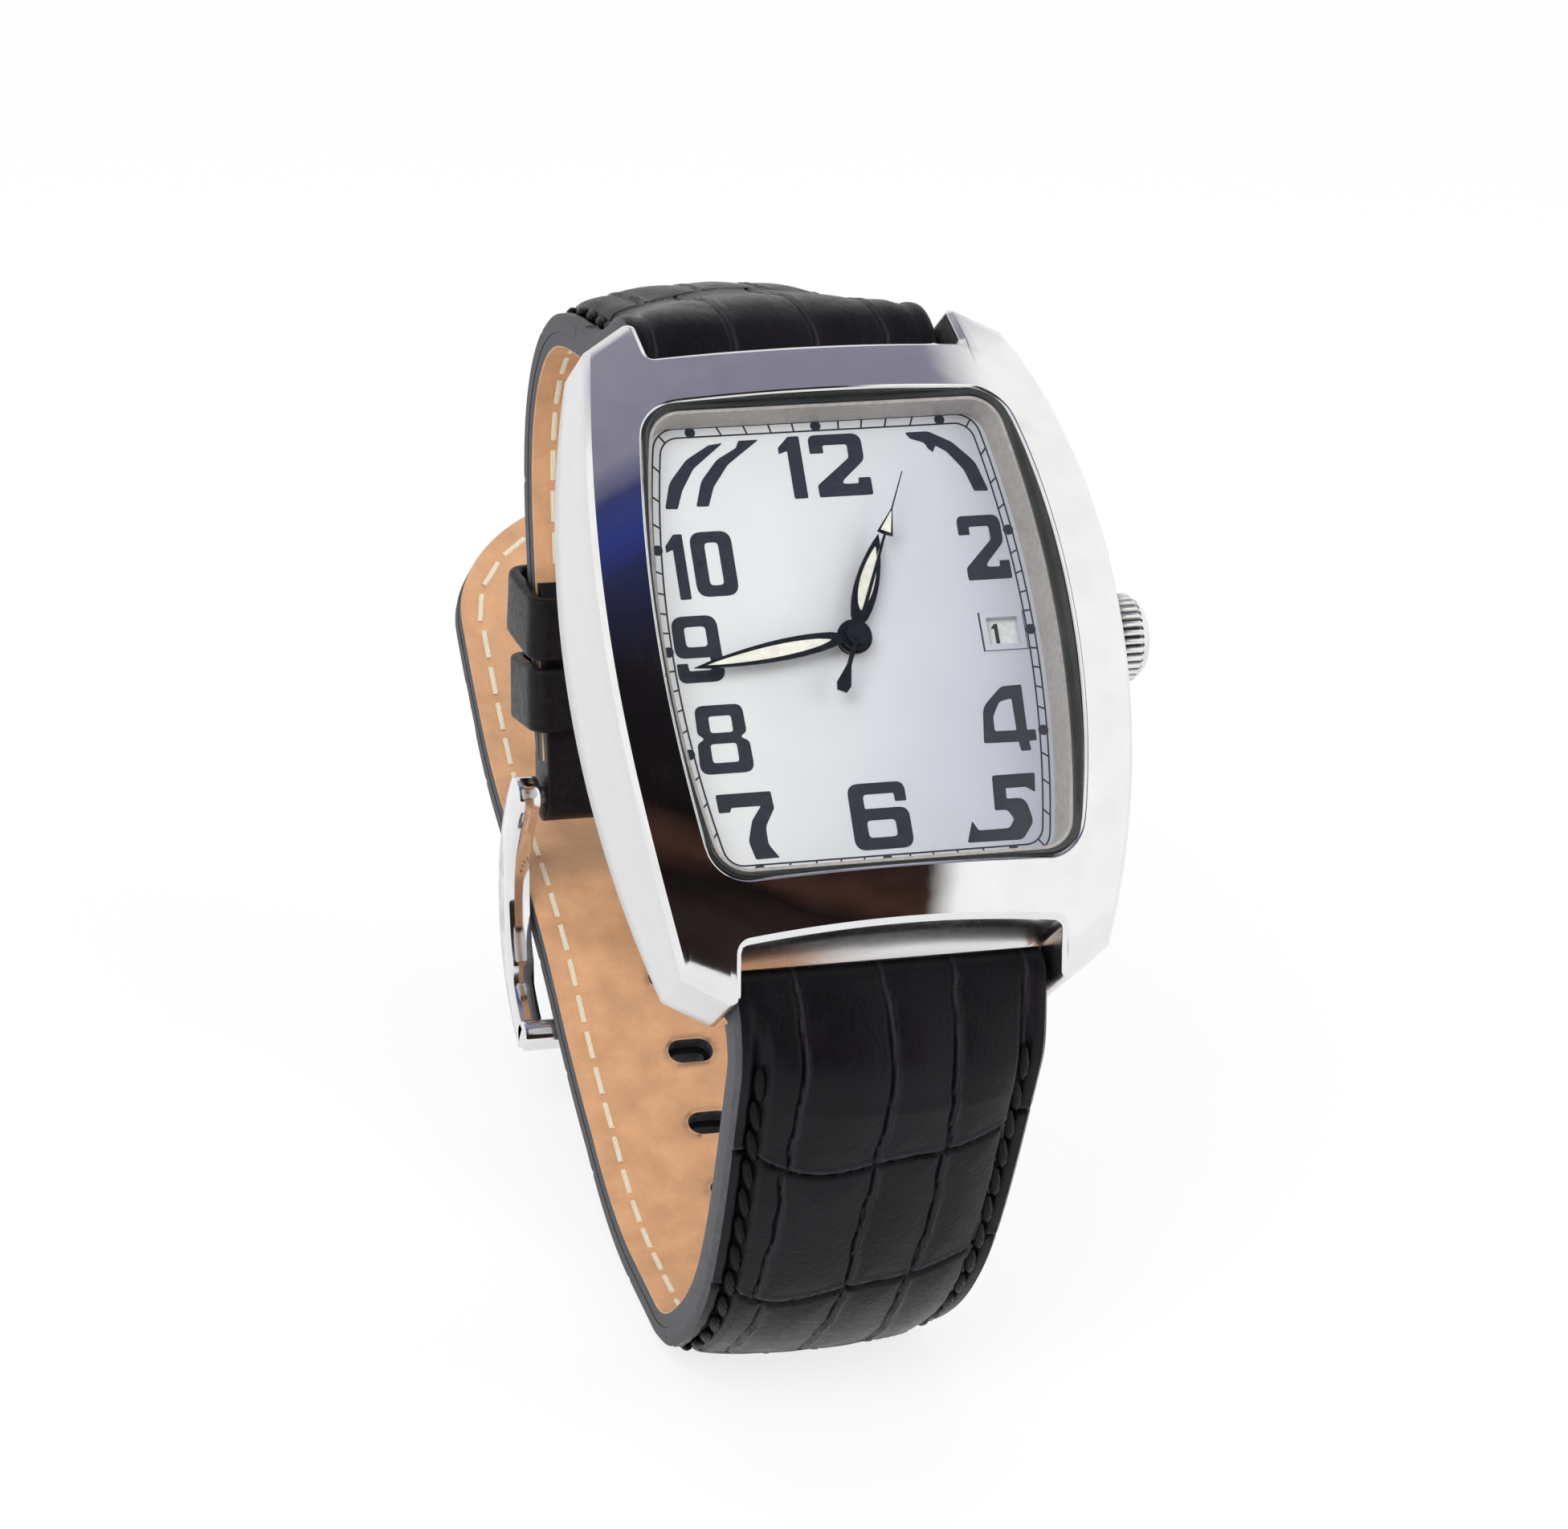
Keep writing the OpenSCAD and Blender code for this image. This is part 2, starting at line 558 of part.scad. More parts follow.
module case_back() {
    color([0.74, 0.74, 0.75]) place() difference() {
        union() {
            slab(pocket(-0.1), -flank_drop - fit_gap, -flank_drop + 0.5);
            slab(tonneau(case_hw - back_inset, end_wall_y - 1.2, 4), -flank_drop - step_t,
                -flank_drop - glue_gap);
            slab(tonneau(case_hw - back_inset - 1.5, end_wall_y - 4, 4), -flank_drop - back_t,
                -flank_drop - 0.1);
        }
        difference() {
            slab(pocket(0.85), -flank_drop - back_groove, -flank_drop + past);
            slab(pocket(0.25), -flank_drop - back_t, -flank_drop + 2 * past);
            slab(tonneau(case_hw, end_wall_y, 4), -flank_drop, -flank_drop + 2 * past);
        }
        for (p = back_screws) translate([p.x, p.y, -flank_drop - back_t]) {
            cylinder(r = back_screw_r + fit_gap, h = back_t + past, $fn = 32);
            cylinder(r = back_head_r + fit_gap, h = back_t - step_t + 0.4, $fn = 32);
        }
    }
}
module case_back_gasket() {
    color([0.09, 0.09, 0.09]) place() difference() {
        slab(pocket(0.8), -flank_drop - back_groove + glue_gap, -flank_drop - glue_gap);
        slab(pocket(0.3), -flank_drop - past, -flank_drop + past);
    }
}
module case_back_screws() {
    head_h = 0.36;
    color([0.62, 0.62, 0.64]) place() for (p = back_screws) translate([p.x, p.y, -flank_drop - step_t])
        difference() {
            union() {
                cylinder(r = back_head_r, h = head_h, $fn = 32);
                cylinder(r = back_screw_r, h = step_t + 2, $fn = 32);
            }
            translate([-past, -0.12, -past]) cube([2 * past, 0.24, past + 0.18]);
        }
}
crystal_gap = gasket_t + 2 * glue_gap;
crystal_bottom = hand_room + gasket_t + 2 * glue_gap;
crystal_hw = window_hw - crystal_gap;
crystal_hh = window_hh - crystal_gap;
crystal_fall_x = (crystal_h - deck_z(window_hw, 0) - crystal_proud) / pow(crystal_hw, 2);
crystal_fall_y = (crystal_h - deck_z(0, window_hh) - crystal_proud) / pow(crystal_hh, 2);
function on_dome(ring, drop) = [for (p = ring)
    [p.x, p.y, crystal_h - crystal_fall_x * p.x * p.x - crystal_fall_y * p.y * p.y - drop]];
module crystal() {
    edge = window(-crystal_gap);
    color([0.86, 0.9, 0.93, 0.3]) place() dome_loft(concat(
        [at_z(edge, crystal_bottom), on_dome(edge, 0.12), on_dome(window(-crystal_gap - 0.12), 0)],
        [for (f = [0.75, 0.5, 0.25]) on_dome(f * window(-crystal_gap - 0.12), 0)]), [0, 0, crystal_h]);
}
module crystal_gasket() {
    outer = window(-glue_gap);
    inner = window(-glue_gap - gasket_t);
    foot = lip(0.05);
    low = hand_room + glue_gap;
    color([0.07, 0.07, 0.07]) place() loop_loft([at_z(outer, low), on_deck(outer, brow_w + 0.1),
        on_deck(inner, brow_w + 0.1), at_z(inner, low + gasket_t), at_z(foot, low + gasket_t),
            at_z(foot, low)]);
}
module dial_ring() {
    top = hand_room - fit_gap;
    outer = lip(-0.03);
    inner_top = lip(-0.25);
    inner_bottom = tonneau(dial_open_hw, dial_open_hh, window_corner_r - 1.2);
    color([0.70, 0.68, 0.64]) place() loop_loft([at_z(outer, glue_gap), at_z(outer, top),
        at_z(inner_top, top), at_z(inner_bottom, glue_gap)]);
}
module dial() {
    frame_h = 0.12;
    color([0.86, 0.87, 0.88]) place() difference() {
        union() {
            slab(pocket(-fit_gap), -dial_t, 0);
            translate([date_x - date_w / 2 - date_frame, -date_h / 2 - date_frame, -dial_t / 2])
                cube([date_w + 2 * date_frame, date_h + 2 * date_frame, dial_t / 2 + frame_h]);
        }
        translate([0, 0, -past]) cylinder(r = dial_hole_r, h = 2 * past);
        translate([date_x - date_w / 2, -date_h / 2, -past]) cube([date_w, date_h, 2 * past]);
    }
}

// Hands, drawn towards twelve and turned clockwise to the time shown
function leaf(from, to, w, tail) = let (n = 10)
    concat([for (i = [0 : n])
        let (f = i / n) [w * pow(sin(180 * pow(f, 0.8)), 0.8) + tail * (1 - f), from + (to - from) * f]],
        [for (i = [n - 1 : -1 : 0]) let (f = i / n)
            [-w * pow(sin(180 * pow(f, 0.8)), 0.8) - tail * (1 - f), from + (to - from) * f]]);
inlay_depth = 0.05;
module leaf_hand(z, len, w, hub_r, bore_r) {
    translate([0, 0, z]) difference() {
        union() {
            cylinder(r = hub_r, h = hand_t);
            linear_extrude(hand_t) polygon(leaf(hub_r * 0.6, len, w, 0.2));
        }
        translate([0, 0, -past]) cylinder(r = bore_r, h = 3 * past);
        translate([0, 0, hand_t - inlay_depth]) linear_extrude(past)
            polygon(leaf(hub_r + 0.7, len - 0.9, w - 0.2, 0.02));
    }
}
module hour_hand() {
    color([0.10, 0.10, 0.13]) place() rotate([0, 0, hour_turn])
        leaf_hand(hour_z, hour_len, 0.72, 1.2, hour_out_r + glue_gap);
}
module minute_hand() {
    color([0.10, 0.10, 0.13]) place() rotate([0, 0, minute_turn])
        leaf_hand(minute_z, minute_len, 0.62, 1.05, cannon_out_r + glue_gap);
}
module seconds_hand() {
    half = [[0.15, 0], [0.08, arrow_foot], [arrow_w / 2, arrow_foot + 0.05], [0.05, arrow_foot + arrow_len],
        [0.03, seconds_len]];
    tail = [[0.16, -seconds_tail + 1.9], [0.5, -seconds_tail + 0.5], [0.34, -seconds_tail]];
    right = concat([for (i = [2 : -1 : 0]) tail[i]], half);
    color([0.12, 0.12, 0.15]) place() rotate([0, 0, seconds_turn]) translate([0, 0, seconds_z]) difference() {
        union() {
            linear_extrude(hand_t)
                polygon(concat(right, [for (i = [len(right) - 1 : -1 : 0]) [-right[i].x, right[i].y]]));
            cylinder(r = 0.75, h = hand_t);
            cylinder(r = 0.5, h = cap_h);
        }
        translate([0, 0, -past]) cylinder(r = sec_r + glue_gap, h = past + cap_h - 0.08);
    }
}

// Crown and keyless work
module crown() {
    rim_len = crown_len - 0.85;
    rim_r = crown_d / 2;
    knurl = 0.16;
    dome_n = 8;
    ends = [[-0.34, -knurl], [-0.2, 0], [0.2, 0], [0.34, -knurl]];
    color([0.78, 0.78, 0.79]) place() difference() {
        union() {
            along_x(crown_x) linear_extrude(rim_len) polygon([for (i = [0 : crown_knurls - 1]) for (e = ends)
                (rim_r + e[1]) * ahead((i + e[0]) * 360 / crown_knurls)]);
            along_x(crown_x + rim_len - 0.1) rotate_extrude() polygon(concat([[0, 0]],
                [for (i = [0 : dome_n]) let (a = 90 * i / dome_n)
                    [(rim_r - knurl) * pow(cos(a), 0.6), 0.15 + (crown_len - rim_len - 0.05) * sin(a)]]));
        }
        along_x(crown_x - past) {
            cylinder(r = tube_r + 0.08, h = past + 2.45);
            cylinder(r = stem_r + glue_gap, h = past + 3.05);
        }
        along_x(crown_x + 0.2) cylinder(r = tube_r + 0.45, h = 0.6);
    }
}
module crown_gasket() {
    color([0.08, 0.08, 0.08]) place() along_x(crown_x + 0.24) difference() {
        cylinder(r = tube_r + 0.42, h = 0.52);
        translate([0, 0, -past]) cylinder(r = tube_r + 0.03, h = 3 * past);
    }
}
module crown_tube() {
    tube_in = pocket_hw + 0.15;
    color([0.72, 0.72, 0.73]) place() along_x(tube_in) difference() {
        cylinder(r = tube_r, h = tube_out - tube_in);
        translate([0, 0, -past]) cylinder(r = stem_r + 0.06, h = case_w);
    }
}
pinion_x = 8.6;
pinion_len = 1.8;
square_w = 0.68;
groove_x = 11.2;
groove_w = 0.9;
stem_x = pinion_x - 0.4;
module winding_stem() {
    square_len = pinion_x + pinion_len + 0.3 - stem_x;
    color([0.66, 0.66, 0.68]) place() union() {
        along_x(stem_x) translate([-square_w / 2, -square_w / 2, 0])
            cube([square_w, square_w, square_len + 0.05]);
        along_x(stem_x + square_len)
            cylinder(r = stem_r, h = groove_x - groove_w / 2 - stem_x - square_len, $fn = 32);
        along_x(groove_x - groove_w / 2 - 0.05) cylinder(r = stem_r * 0.56, h = groove_w + 0.1, $fn = 32);
        along_x(groove_x + groove_w / 2)
            cylinder(r = stem_r, h = crown_x + 3.03 - groove_x - groove_w / 2, $fn = 32);
    }
}
module sliding_pinion() {
    hole = square_w + 2 * run_gap;
    color([0.70, 0.62, 0.42]) place() along_x(pinion_x) difference() {
        union() {
            linear_extrude(0.7) wheel_shape(14, 0.11, 0);
            cylinder(r = 0.6, h = pinion_len, $fn = 32);
            translate([0, 0, pinion_len - 0.4]) cylinder(r = 0.8, h = 0.4, $fn = 32);
        }
        translate([-hole / 2, -hole / 2, -past]) cube([hole, hole, pinion_len + 2 * past]);
    }
}
// The lever's pin rides in the stem's groove and swings as far each way as half the crown's pull
lever_r = 2.4;
lever_pivot = [groove_x + crown_pull / 2, lever_r];
lever_a = -90 - asin(crown_pull / 2 / lever_r);
lever_z = stem_z - stem_r - 0.4;
lever_t = 0.25;
module setting_lever() {
    color([0.64, 0.64, 0.66]) place() translate([lever_pivot.x, lever_pivot.y, 0]) {
        translate([0, 0, lever_z]) cylinder(r = 0.45, h = lever_t, $fn = 32);
        translate([0, 0, lever_z]) cylinder(r = 0.22, h = plate_bottom - lever_z + 0.5, $fn = 32);
        rotate([0, 0, lever_a]) {
            translate([0, -0.25, lever_z]) cube([lever_r, 0.5, lever_t]);
            translate([lever_r, 0, lever_z])
                cylinder(r = 0.25, h = stem_z - stem_r * 0.56 - 0.06 - lever_z, $fn = 32);
        }
    }
}

// Movement
module date_disc() {
    color([0.95, 0.95, 0.93]) place() tube(disc_z, disc_z + disc_t, date_x + 1.7, date_x - 1.5);
}
pillars = [[7.97, 4.6], [8.2, -5.2], [-9.3, 1.6]];
cock_foot = balance_at + 4.9 * ahead(-20);
clamp_angles = [60, 180, 300];
clamp_inset = 0.7;
clamp_r = movement_r - clamp_inset;
clamp_over = 0.5;
clamp_slot_gap = 0.2;
bridge_r = movement_r - 2.2;
module at(p) {
    translate([p.x, p.y, 0]) children();
}
module mainplate() {
    color([0.78, 0.74, 0.62]) place() difference() {
        union() {
            difference() {
                translate([0, 0, plate_bottom]) cylinder(r = movement_r, h = plate_t + 0.08 + disc_t);
                translate([0, 0, plate_top]) tube(0, 2 * past, date_x + 1.8, date_x - 1.6);
                translate([0, 0, motion_floor]) cylinder(r = 2.25, h = 2 * past);
                at(minute_at) translate([0, 0, motion_floor]) cylinder(r = 2.1, h = 2 * past);
            }
            at(minute_at) translate([0, 0, motion_floor - 0.1]) cylinder(r = 0.22, h = 0.7, $fn = 32);
        }
        at(barrel_at) translate([0, 0, plate_bottom - past]) cylinder(r = barrel_d - 0.62, h = past + 1.12);
        at(barrel_at) translate([0, 0, plate_bottom]) cylinder(r = 0.35 + run_gap, h = 1.6, $fn = 32);
        translate([0, 0, plate_bottom - past]) cylinder(r = 1.1, h = past + 1.12);
        translate([0, 0, plate_bottom - past])
            cylinder(r = centre_out_r + run_gap, h = plate_t + 2 * past, $fn = 32);
        at(third_at) pivot_hole(plate_bottom, true);
        at(escape_at) pivot_hole(plate_bottom, true);
        at(pallet_at) pivot_hole(plate_bottom, true);
        at(balance_at) pivot_hole(plate_bottom, true);
        at(lever_pivot) translate([0, 0, plate_bottom - past]) cylinder(r = 0.25, h = past + 0.56, $fn = 32);
        translate([stem_x - 0.3, -1.1, plate_bottom - past]) cube([movement_r, 2.2, past + 0.5]);
        for (a = clamp_angles) at(clamp_r * ahead(a)) translate([0, 0, plate_bottom - past])
            cylinder(r = 0.3 + fit_gap, h = past + 1, $fn = 24);
        for (p = pillars) at(p) translate([0, 0, plate_bottom - past])
            cylinder(r = 0.35 + fit_gap, h = past + 1, $fn = 24);
    }
}
module train_bridge() {
    color([0.84, 0.83, 0.80]) place() difference() {
        union() {
            translate([0, 0, bridge_bottom]) cylinder(r = bridge_r, h = bridge_t);
            for (p = pillars) at(p) translate([0, 0, bridge_bottom])
                cylinder(r = 0.8, h = plate_bottom - glue_gap - bridge_bottom, $fn = 32);
        }
        at(balance_at) translate([0, 0, bridge_bottom - past]) cylinder(r = 4.4, h = bridge_t + 2 * past);
        at(cock_foot) translate([0, 0, bridge_bottom - past]) cylinder(r = 1.3, h = bridge_t + 2 * past);
        at(third_at) pivot_hole(bridge_top, false);
        at(escape_at) pivot_hole(bridge_top, false);
        pivot_hole(bridge_top, false);
        at(barrel_at) translate([0, 0, bridge_bottom - past]) {
            cylinder(r = 0.35 + run_gap, h = bridge_t + 2 * past, $fn = 32);
            cylinder(r = 3.2, h = past + 0.36);
        }
        translate([0, 0, bridge_bottom - past]) cylinder(r = 0.4 + glue_gap, h = past + 0.22, $fn = 32);
        for (p = pillars) at(p) translate([0, 0, bridge_bottom - past]) {
            cylinder(r = 0.35 + fit_gap, h = 5, $fn = 24);
            cylinder(r = 0.6 + fit_gap, h = past + 0.3, $fn = 32);
        }
    }
}
module bridge_screws() {
    color([0.34, 0.40, 0.62]) place() for (p = pillars) at(p) translate([0, 0, bridge_bottom + 0.02])
        difference() {
            union() {
                cylinder(r = 0.6, h = 0.26, $fn = 32);
                cylinder(r = 0.35, h = plate_bottom + 0.9 - bridge_bottom, $fn = 24);
            }
            translate([-past, -0.08, -past]) cube([2 * past, 0.16, past + 0.12]);
        }
}
barrel_hub_r = 0.38;
module barrel() {
    drum_r = barrel_teeth * barrel_m / 2 - 0.65;
    color([0.80, 0.70, 0.45]) place() at(barrel_at) difference() {
        union() {
            translate([0, 0, barrel_z]) cylinder(r = drum_r, h = barrel_h);
            translate([0, 0, barrel_z + barrel_h - barrel_rim_t]) linear_extrude(barrel_rim_t)
                wheel_shape(barrel_teeth, barrel_m, barrel_phase);
        }
        translate([0, 0, barrel_z + 0.1]) cylinder(r = drum_r - 0.15, h = barrel_h - 0.25);
        translate([0, 0, barrel_z - past]) cylinder(r = barrel_hub_r, h = barrel_h + 2 * past, $fn = 32);
    }
}
barrel_phase = 0;
centre_pinion_phase = mesh_phase(barrel_a + 180, barrel_phase, barrel_teeth, centre_leaves);
centre_phase = 0;
third_pinion_phase = mesh_phase(third_a, centre_phase, centre_teeth, third_leaves);
third_phase = 0;
fourth_pinion_phase = mesh_phase(third_a + 180, third_phase, third_teeth, fourth_leaves);
fourth_phase = 0;
escape_pinion_phase = mesh_phase(escape_a, fourth_phase, fourth_teeth, escape_leaves);
cannon_phase = 0;
minute_phase = mesh_phase(minute_a, cannon_phase, cannon_leaves, minute_teeth);
minute_pinion_phase = 0;
hour_phase = mesh_phase(minute_a + 180, minute_pinion_phase, minute_leaves, hour_teeth);
spring_turns = 7;
// A flat spiral band between two radii
module spiral(r0, r1, turns, w, h) {
    n = ceil(turns * 20);
    function r_at(i) = r0 + (r1 - r0) * i / n;
    linear_extrude(h) polygon(concat(
        [for (i = [0 : n]) (r_at(i) + w / 2) * ahead(i * 360 * turns / n)],
        [for (i = [n : -1 : 0]) (r_at(i) - w / 2) * ahead(i * 360 * turns / n)]));
}
module mainspring() {
    color([0.55, 0.57, 0.62]) place() at(barrel_at) translate([0, 0, barrel_z + 0.18])
        spiral(0.98, 4.1, spring_turns, 0.14, barrel_h - 0.41);
}
module ratchet_wheel() {
    shaft_r = barrel_hub_r - run_gap;
    wheel_z = bridge_bottom + 0.05;
    color([0.70, 0.70, 0.72]) place() at(barrel_at) {
        translate([0, 0, wheel_z]) linear_extrude(0.24) wheel_shape(48, 0.12, 0);
        translate([0, 0, wheel_z]) cylinder(r = shaft_r, h = barrel_z + barrel_h + 0.4 - wheel_z, $fn = 32);
        translate([0, 0, barrel_z + 0.15]) cylinder(r = 0.8, h = barrel_h - 0.35, $fn = 32);
    }
}
module centre_wheel() {
    color([0.85, 0.74, 0.45]) place() difference() {
        union() {
            spoked_wheel(centre_teeth, centre_m, centre_phase, centre_z, wheel_t, 0.8, 5);
            translate([0, 0, centre_pinion_z]) linear_extrude(0.38)
                wheel_shape(centre_leaves, barrel_m, centre_pinion_phase);
            translate([0, 0, centre_z - 0.06])
                cylinder(r = 0.6, h = centre_pinion_z - centre_z + 0.07, $fn = 32);
            translate([0, 0, centre_z]) cylinder(r = centre_out_r, h = hour_z - centre_z, $fn = 32);
        }
        translate([0, 0, centre_z - past]) cylinder(r = centre_in_r, h = 8, $fn = 32);
    }
}
module third_wheel() {
    color([0.85, 0.74, 0.45]) place() at(third_at) {
        spoked_wheel(third_teeth, train_m, third_phase, third_z, wheel_t, 0.6, 5);
        translate([0, 0, centre_z - 0.05]) linear_extrude(wheel_t + 0.1)
            wheel_shape(third_leaves, centre_m, third_pinion_phase);
        arbor(bridge_top + 0.05, plate_bottom - 0.05);
    }
}
module fourth_wheel() {
    color([0.85, 0.74, 0.45]) place() {
        spoked_wheel(fourth_teeth, escape_m, fourth_phase, fourth_z, wheel_t, 0.6, 5);
        translate([0, 0, third_z - 0.06]) linear_extrude(wheel_t + 0.12)
            wheel_shape(fourth_leaves, train_m, fourth_pinion_phase);
        translate([0, 0, bridge_top + 0.05])
            cylinder(r = sec_r, h = seconds_z + cap_h - 0.12 - bridge_top - 0.05, $fn = 32);
        translate([0, 0, bridge_top - pivot_len + 0.05]) cylinder(r = pivot_r, h = 1, $fn = 32);
    }
}
module escape_wheel() {
    pitch = 360 / escape_teeth;
    color([0.76, 0.77, 0.80]) place() at(escape_at) {
        translate([0, 0, escape_z]) linear_extrude(0.16) difference() {
            polygon([for (i = [0 : escape_teeth - 1])
                for (k = [[0, 1], [0.12, 0.98], [0.34, 0.78], [0.84, 0.78]])
                escape_r * k[1] * ahead((i + k[0]) * pitch)]);
            difference() {
                circle(r = escape_r * 0.64);
                circle(r = 0.5);
                for (a = [0, 90]) rotate(a) square([2 * escape_r, 0.26], center = true);
            }
        }
        translate([0, 0, fourth_z - 0.05]) linear_extrude(wheel_t + 0.1)
            wheel_shape(escape_leaves, escape_m, escape_pinion_phase);
        arbor(bridge_top + 0.05, plate_bottom - 0.05);
    }
}
fork_len = balance_d - 0.95;
pallet_cock_z = escape_z - 0.3;
module pallet_fork() {
    stone_r = escape_r + 0.42;
    color([0.80, 0.80, 0.83]) place() {
        at(pallet_at) {
            translate([0, 0, escape_z]) cylinder(r = 0.36, h = 0.16, $fn = 32);
            translate([0, 0, escape_z]) rotate([0, 0, balance_a]) {
                translate([0, -0.13, 0]) cube([fork_len - 0.4, 0.26, 0.16]);
                translate([fork_len - 0.5, -0.3, 0]) cube([0.2, 0.6, 0.16]);
                for (y = [-0.3, 0.16]) translate([fork_len - 0.4, y, 0]) cube([0.4, 0.14, 0.16]);
            }
            translate([0, 0, pallet_cock_z + 0.02 - 0.12])
                cylinder(r = pivot_r, h = plate_bottom + pivot_len - pallet_cock_z + 0.1, $fn = 24);
        }
        for (d = [-42, 42]) {
            stone = escape_at + stone_r * ahead(pallet_a + d) - pallet_at;
            at(pallet_at) translate([0, 0, escape_z]) rotate([0, 0, atan2(stone.y, stone.x)]) {
                translate([0, -0.13, 0]) cube([norm(stone), 0.26, 0.16]);
                translate([norm(stone) - 0.16, -0.16, -0.03]) cube([0.28, 0.32, 0.22]);
            }
        }
    }
}
module balance_wheel() {
    color([0.82, 0.68, 0.38]) place() at(balance_at) {
        tube(balance_z, balance_z + balance_t, balance_r, balance_r - 0.35);
        for (a = [30, 90, 150]) rotate([0, 0, a]) translate([-balance_r + 0.2, -0.15, balance_z + 0.05])
            cube([2 * balance_r - 0.4, 0.3, balance_t - 0.1]);
        translate([0, 0, balance_z]) cylinder(r = 0.55, h = balance_t, $fn = 32);
        translate([0, 0, spring_z - 0.03]) cylinder(r = 0.32, h = balance_z - spring_z + 0.1, $fn = 32);
        translate([0, 0, escape_z - 0.18]) cylinder(r = 0.5, h = 0.12, $fn = 32);
        translate([0.74 * cos(75), 0.74 * sin(75), escape_z - 0.18]) cylinder(r = 0.08, h = 0.28, $fn = 16);
        rotate([0, 0, 75]) translate([0, -0.12, escape_z - 0.18]) cube([0.8, 0.24, 0.12]);
        translate([0, 0, bridge_top + 0.05])
            cylinder(r = 0.16, h = plate_bottom - bridge_top - 0.1, $fn = 32);
        translate([0, 0, bridge_top + 0.05 - pivot_len])
            cylinder(r = pivot_r, h = plate_bottom - bridge_top - 0.1 + 2 * pivot_len, $fn = 32);
    }
}
module hairspring() {
    color([0.45, 0.50, 0.66]) place() at(balance_at) translate([0, 0, spring_z])
        difference() {
            spiral(0.42, 2, 9, 0.06, 0.12);
            translate([0, 0, -past]) cylinder(r = 0.34, h = 3 * past, $fn = 32);
        }
}
module balance_cock() {
    arm = cock_foot - balance_at;
    post_top = plate_bottom - glue_gap;
    color([0.84, 0.83, 0.80]) place() difference() {
        union() {
            translate([0, 0, bridge_bottom]) linear_extrude(height = bridge_t) {
                translate(balance_at) circle(r = 1.1, $fn = 40);
                translate(cock_foot) circle(r = 1.1, $fn = 40);
                translate(balance_at) rotate(atan2(arm.y, arm.x)) translate([0, -0.85])
                    square([norm(arm), 1.7]);
            }
            at(cock_foot) translate([0, 0, bridge_top - bridge_t / 2])
                cylinder(r = 0.8, h = post_top - bridge_top + bridge_t / 2, $fn = 40);
        }
        at(balance_at) pivot_hole(bridge_top, false);
    }
}
module hour_wheel() {
    hour_wheel_z = motion_floor + 0.32;
    color([0.85, 0.74, 0.45]) place() difference() {
        union() {
            translate([0, 0, hour_wheel_z]) linear_extrude(wheel_t)
                wheel_shape(hour_teeth, hour_m, hour_phase);
            translate([0, 0, hour_wheel_z])
                cylinder(r = hour_out_r, h = hour_z + hand_t - hour_wheel_z, $fn = 48);
        }
        translate([0, 0, hour_wheel_z - past]) cylinder(r = hour_in_r, h = 6, $fn = 48);
    }
}
module cannon_pinion() {
    cannon_z = motion_floor + 0.03;
    color([0.72, 0.72, 0.74]) place() difference() {
        union() {
            translate([0, 0, cannon_z]) linear_extrude(0.24)
                wheel_shape(cannon_leaves, motion_m, cannon_phase);
            translate([0, 0, cannon_z])
                cylinder(r = cannon_out_r, h = minute_z + hand_t - cannon_z, $fn = 48);
        }
        translate([0, 0, cannon_z - past]) cylinder(r = cannon_in_r, h = 6, $fn = 48);
    }
}
module minute_wheel() {
    minute_wheel_z = motion_floor + 0.05;
    color([0.85, 0.74, 0.45]) place() at(minute_at) difference() {
        union() {
            translate([0, 0, minute_wheel_z]) linear_extrude(wheel_t)
                wheel_shape(minute_teeth, motion_m, minute_phase);
            translate([0, 0, minute_wheel_z]) linear_extrude(0.48)
                wheel_shape(minute_leaves, hour_m, minute_pinion_phase);
        }
        translate([0, 0, minute_wheel_z - past]) cylinder(r = 0.22 + run_gap, h = 3 * past, $fn = 32);
    }
}
module rotor() {
    rotor_r = movement_r - 0.4;
    color([0.80, 0.79, 0.76]) place() difference() {
        union() {
            intersection() {
                translate([0, 0, rotor_bottom]) cylinder(r = rotor_r, h = rotor_t);
                translate([-rotor_r, -rotor_r, rotor_bottom - past])
                    cube([2 * rotor_r, rotor_r - 0.3, 3 * past]);
            }
            intersection() {
                tube(rotor_bottom, rotor_bottom + rim_h, rotor_r, rotor_r - 1.4);
                translate([-rotor_r, -rotor_r, rotor_bottom - past])
                    cube([2 * rotor_r, rotor_r - 1.2, 4 * past]);
            }
            translate([0, 0, rotor_bottom]) cylinder(r = 1.9, h = rotor_t);
        }
        translate([0, 0, rotor_bottom - past]) cylinder(r = 0.8 + run_gap, h = 3 * past, $fn = 48);
        for (x = [-5.2, 5.2]) translate([x, -4.2, rotor_bottom - past]) cylinder(r = 2.2, h = 3 * past);
        translate([0, -6.6, rotor_bottom - past]) cylinder(r = 1.9, h = 3 * past);
    }
}
module rotor_bearing() {
    color([0.70, 0.70, 0.72]) place() difference() {
        union() {
            translate([0, 0, rotor_bottom - 0.2])
                cylinder(r = 0.8, h = bridge_bottom - glue_gap - rotor_bottom + 0.2, $fn = 48);
            translate([0, 0, rotor_bottom - 0.3]) cylinder(r = 1.3, h = 0.26, $fn = 48);
            translate([0, 0, rotor_bottom])
                cylinder(r = 0.4, h = bridge_bottom + 0.2 - rotor_bottom, $fn = 32);
        }
        translate([-2, -0.14, rotor_bottom - 0.3 - past]) cube([4, 0.28, past + 0.12]);
    }
}
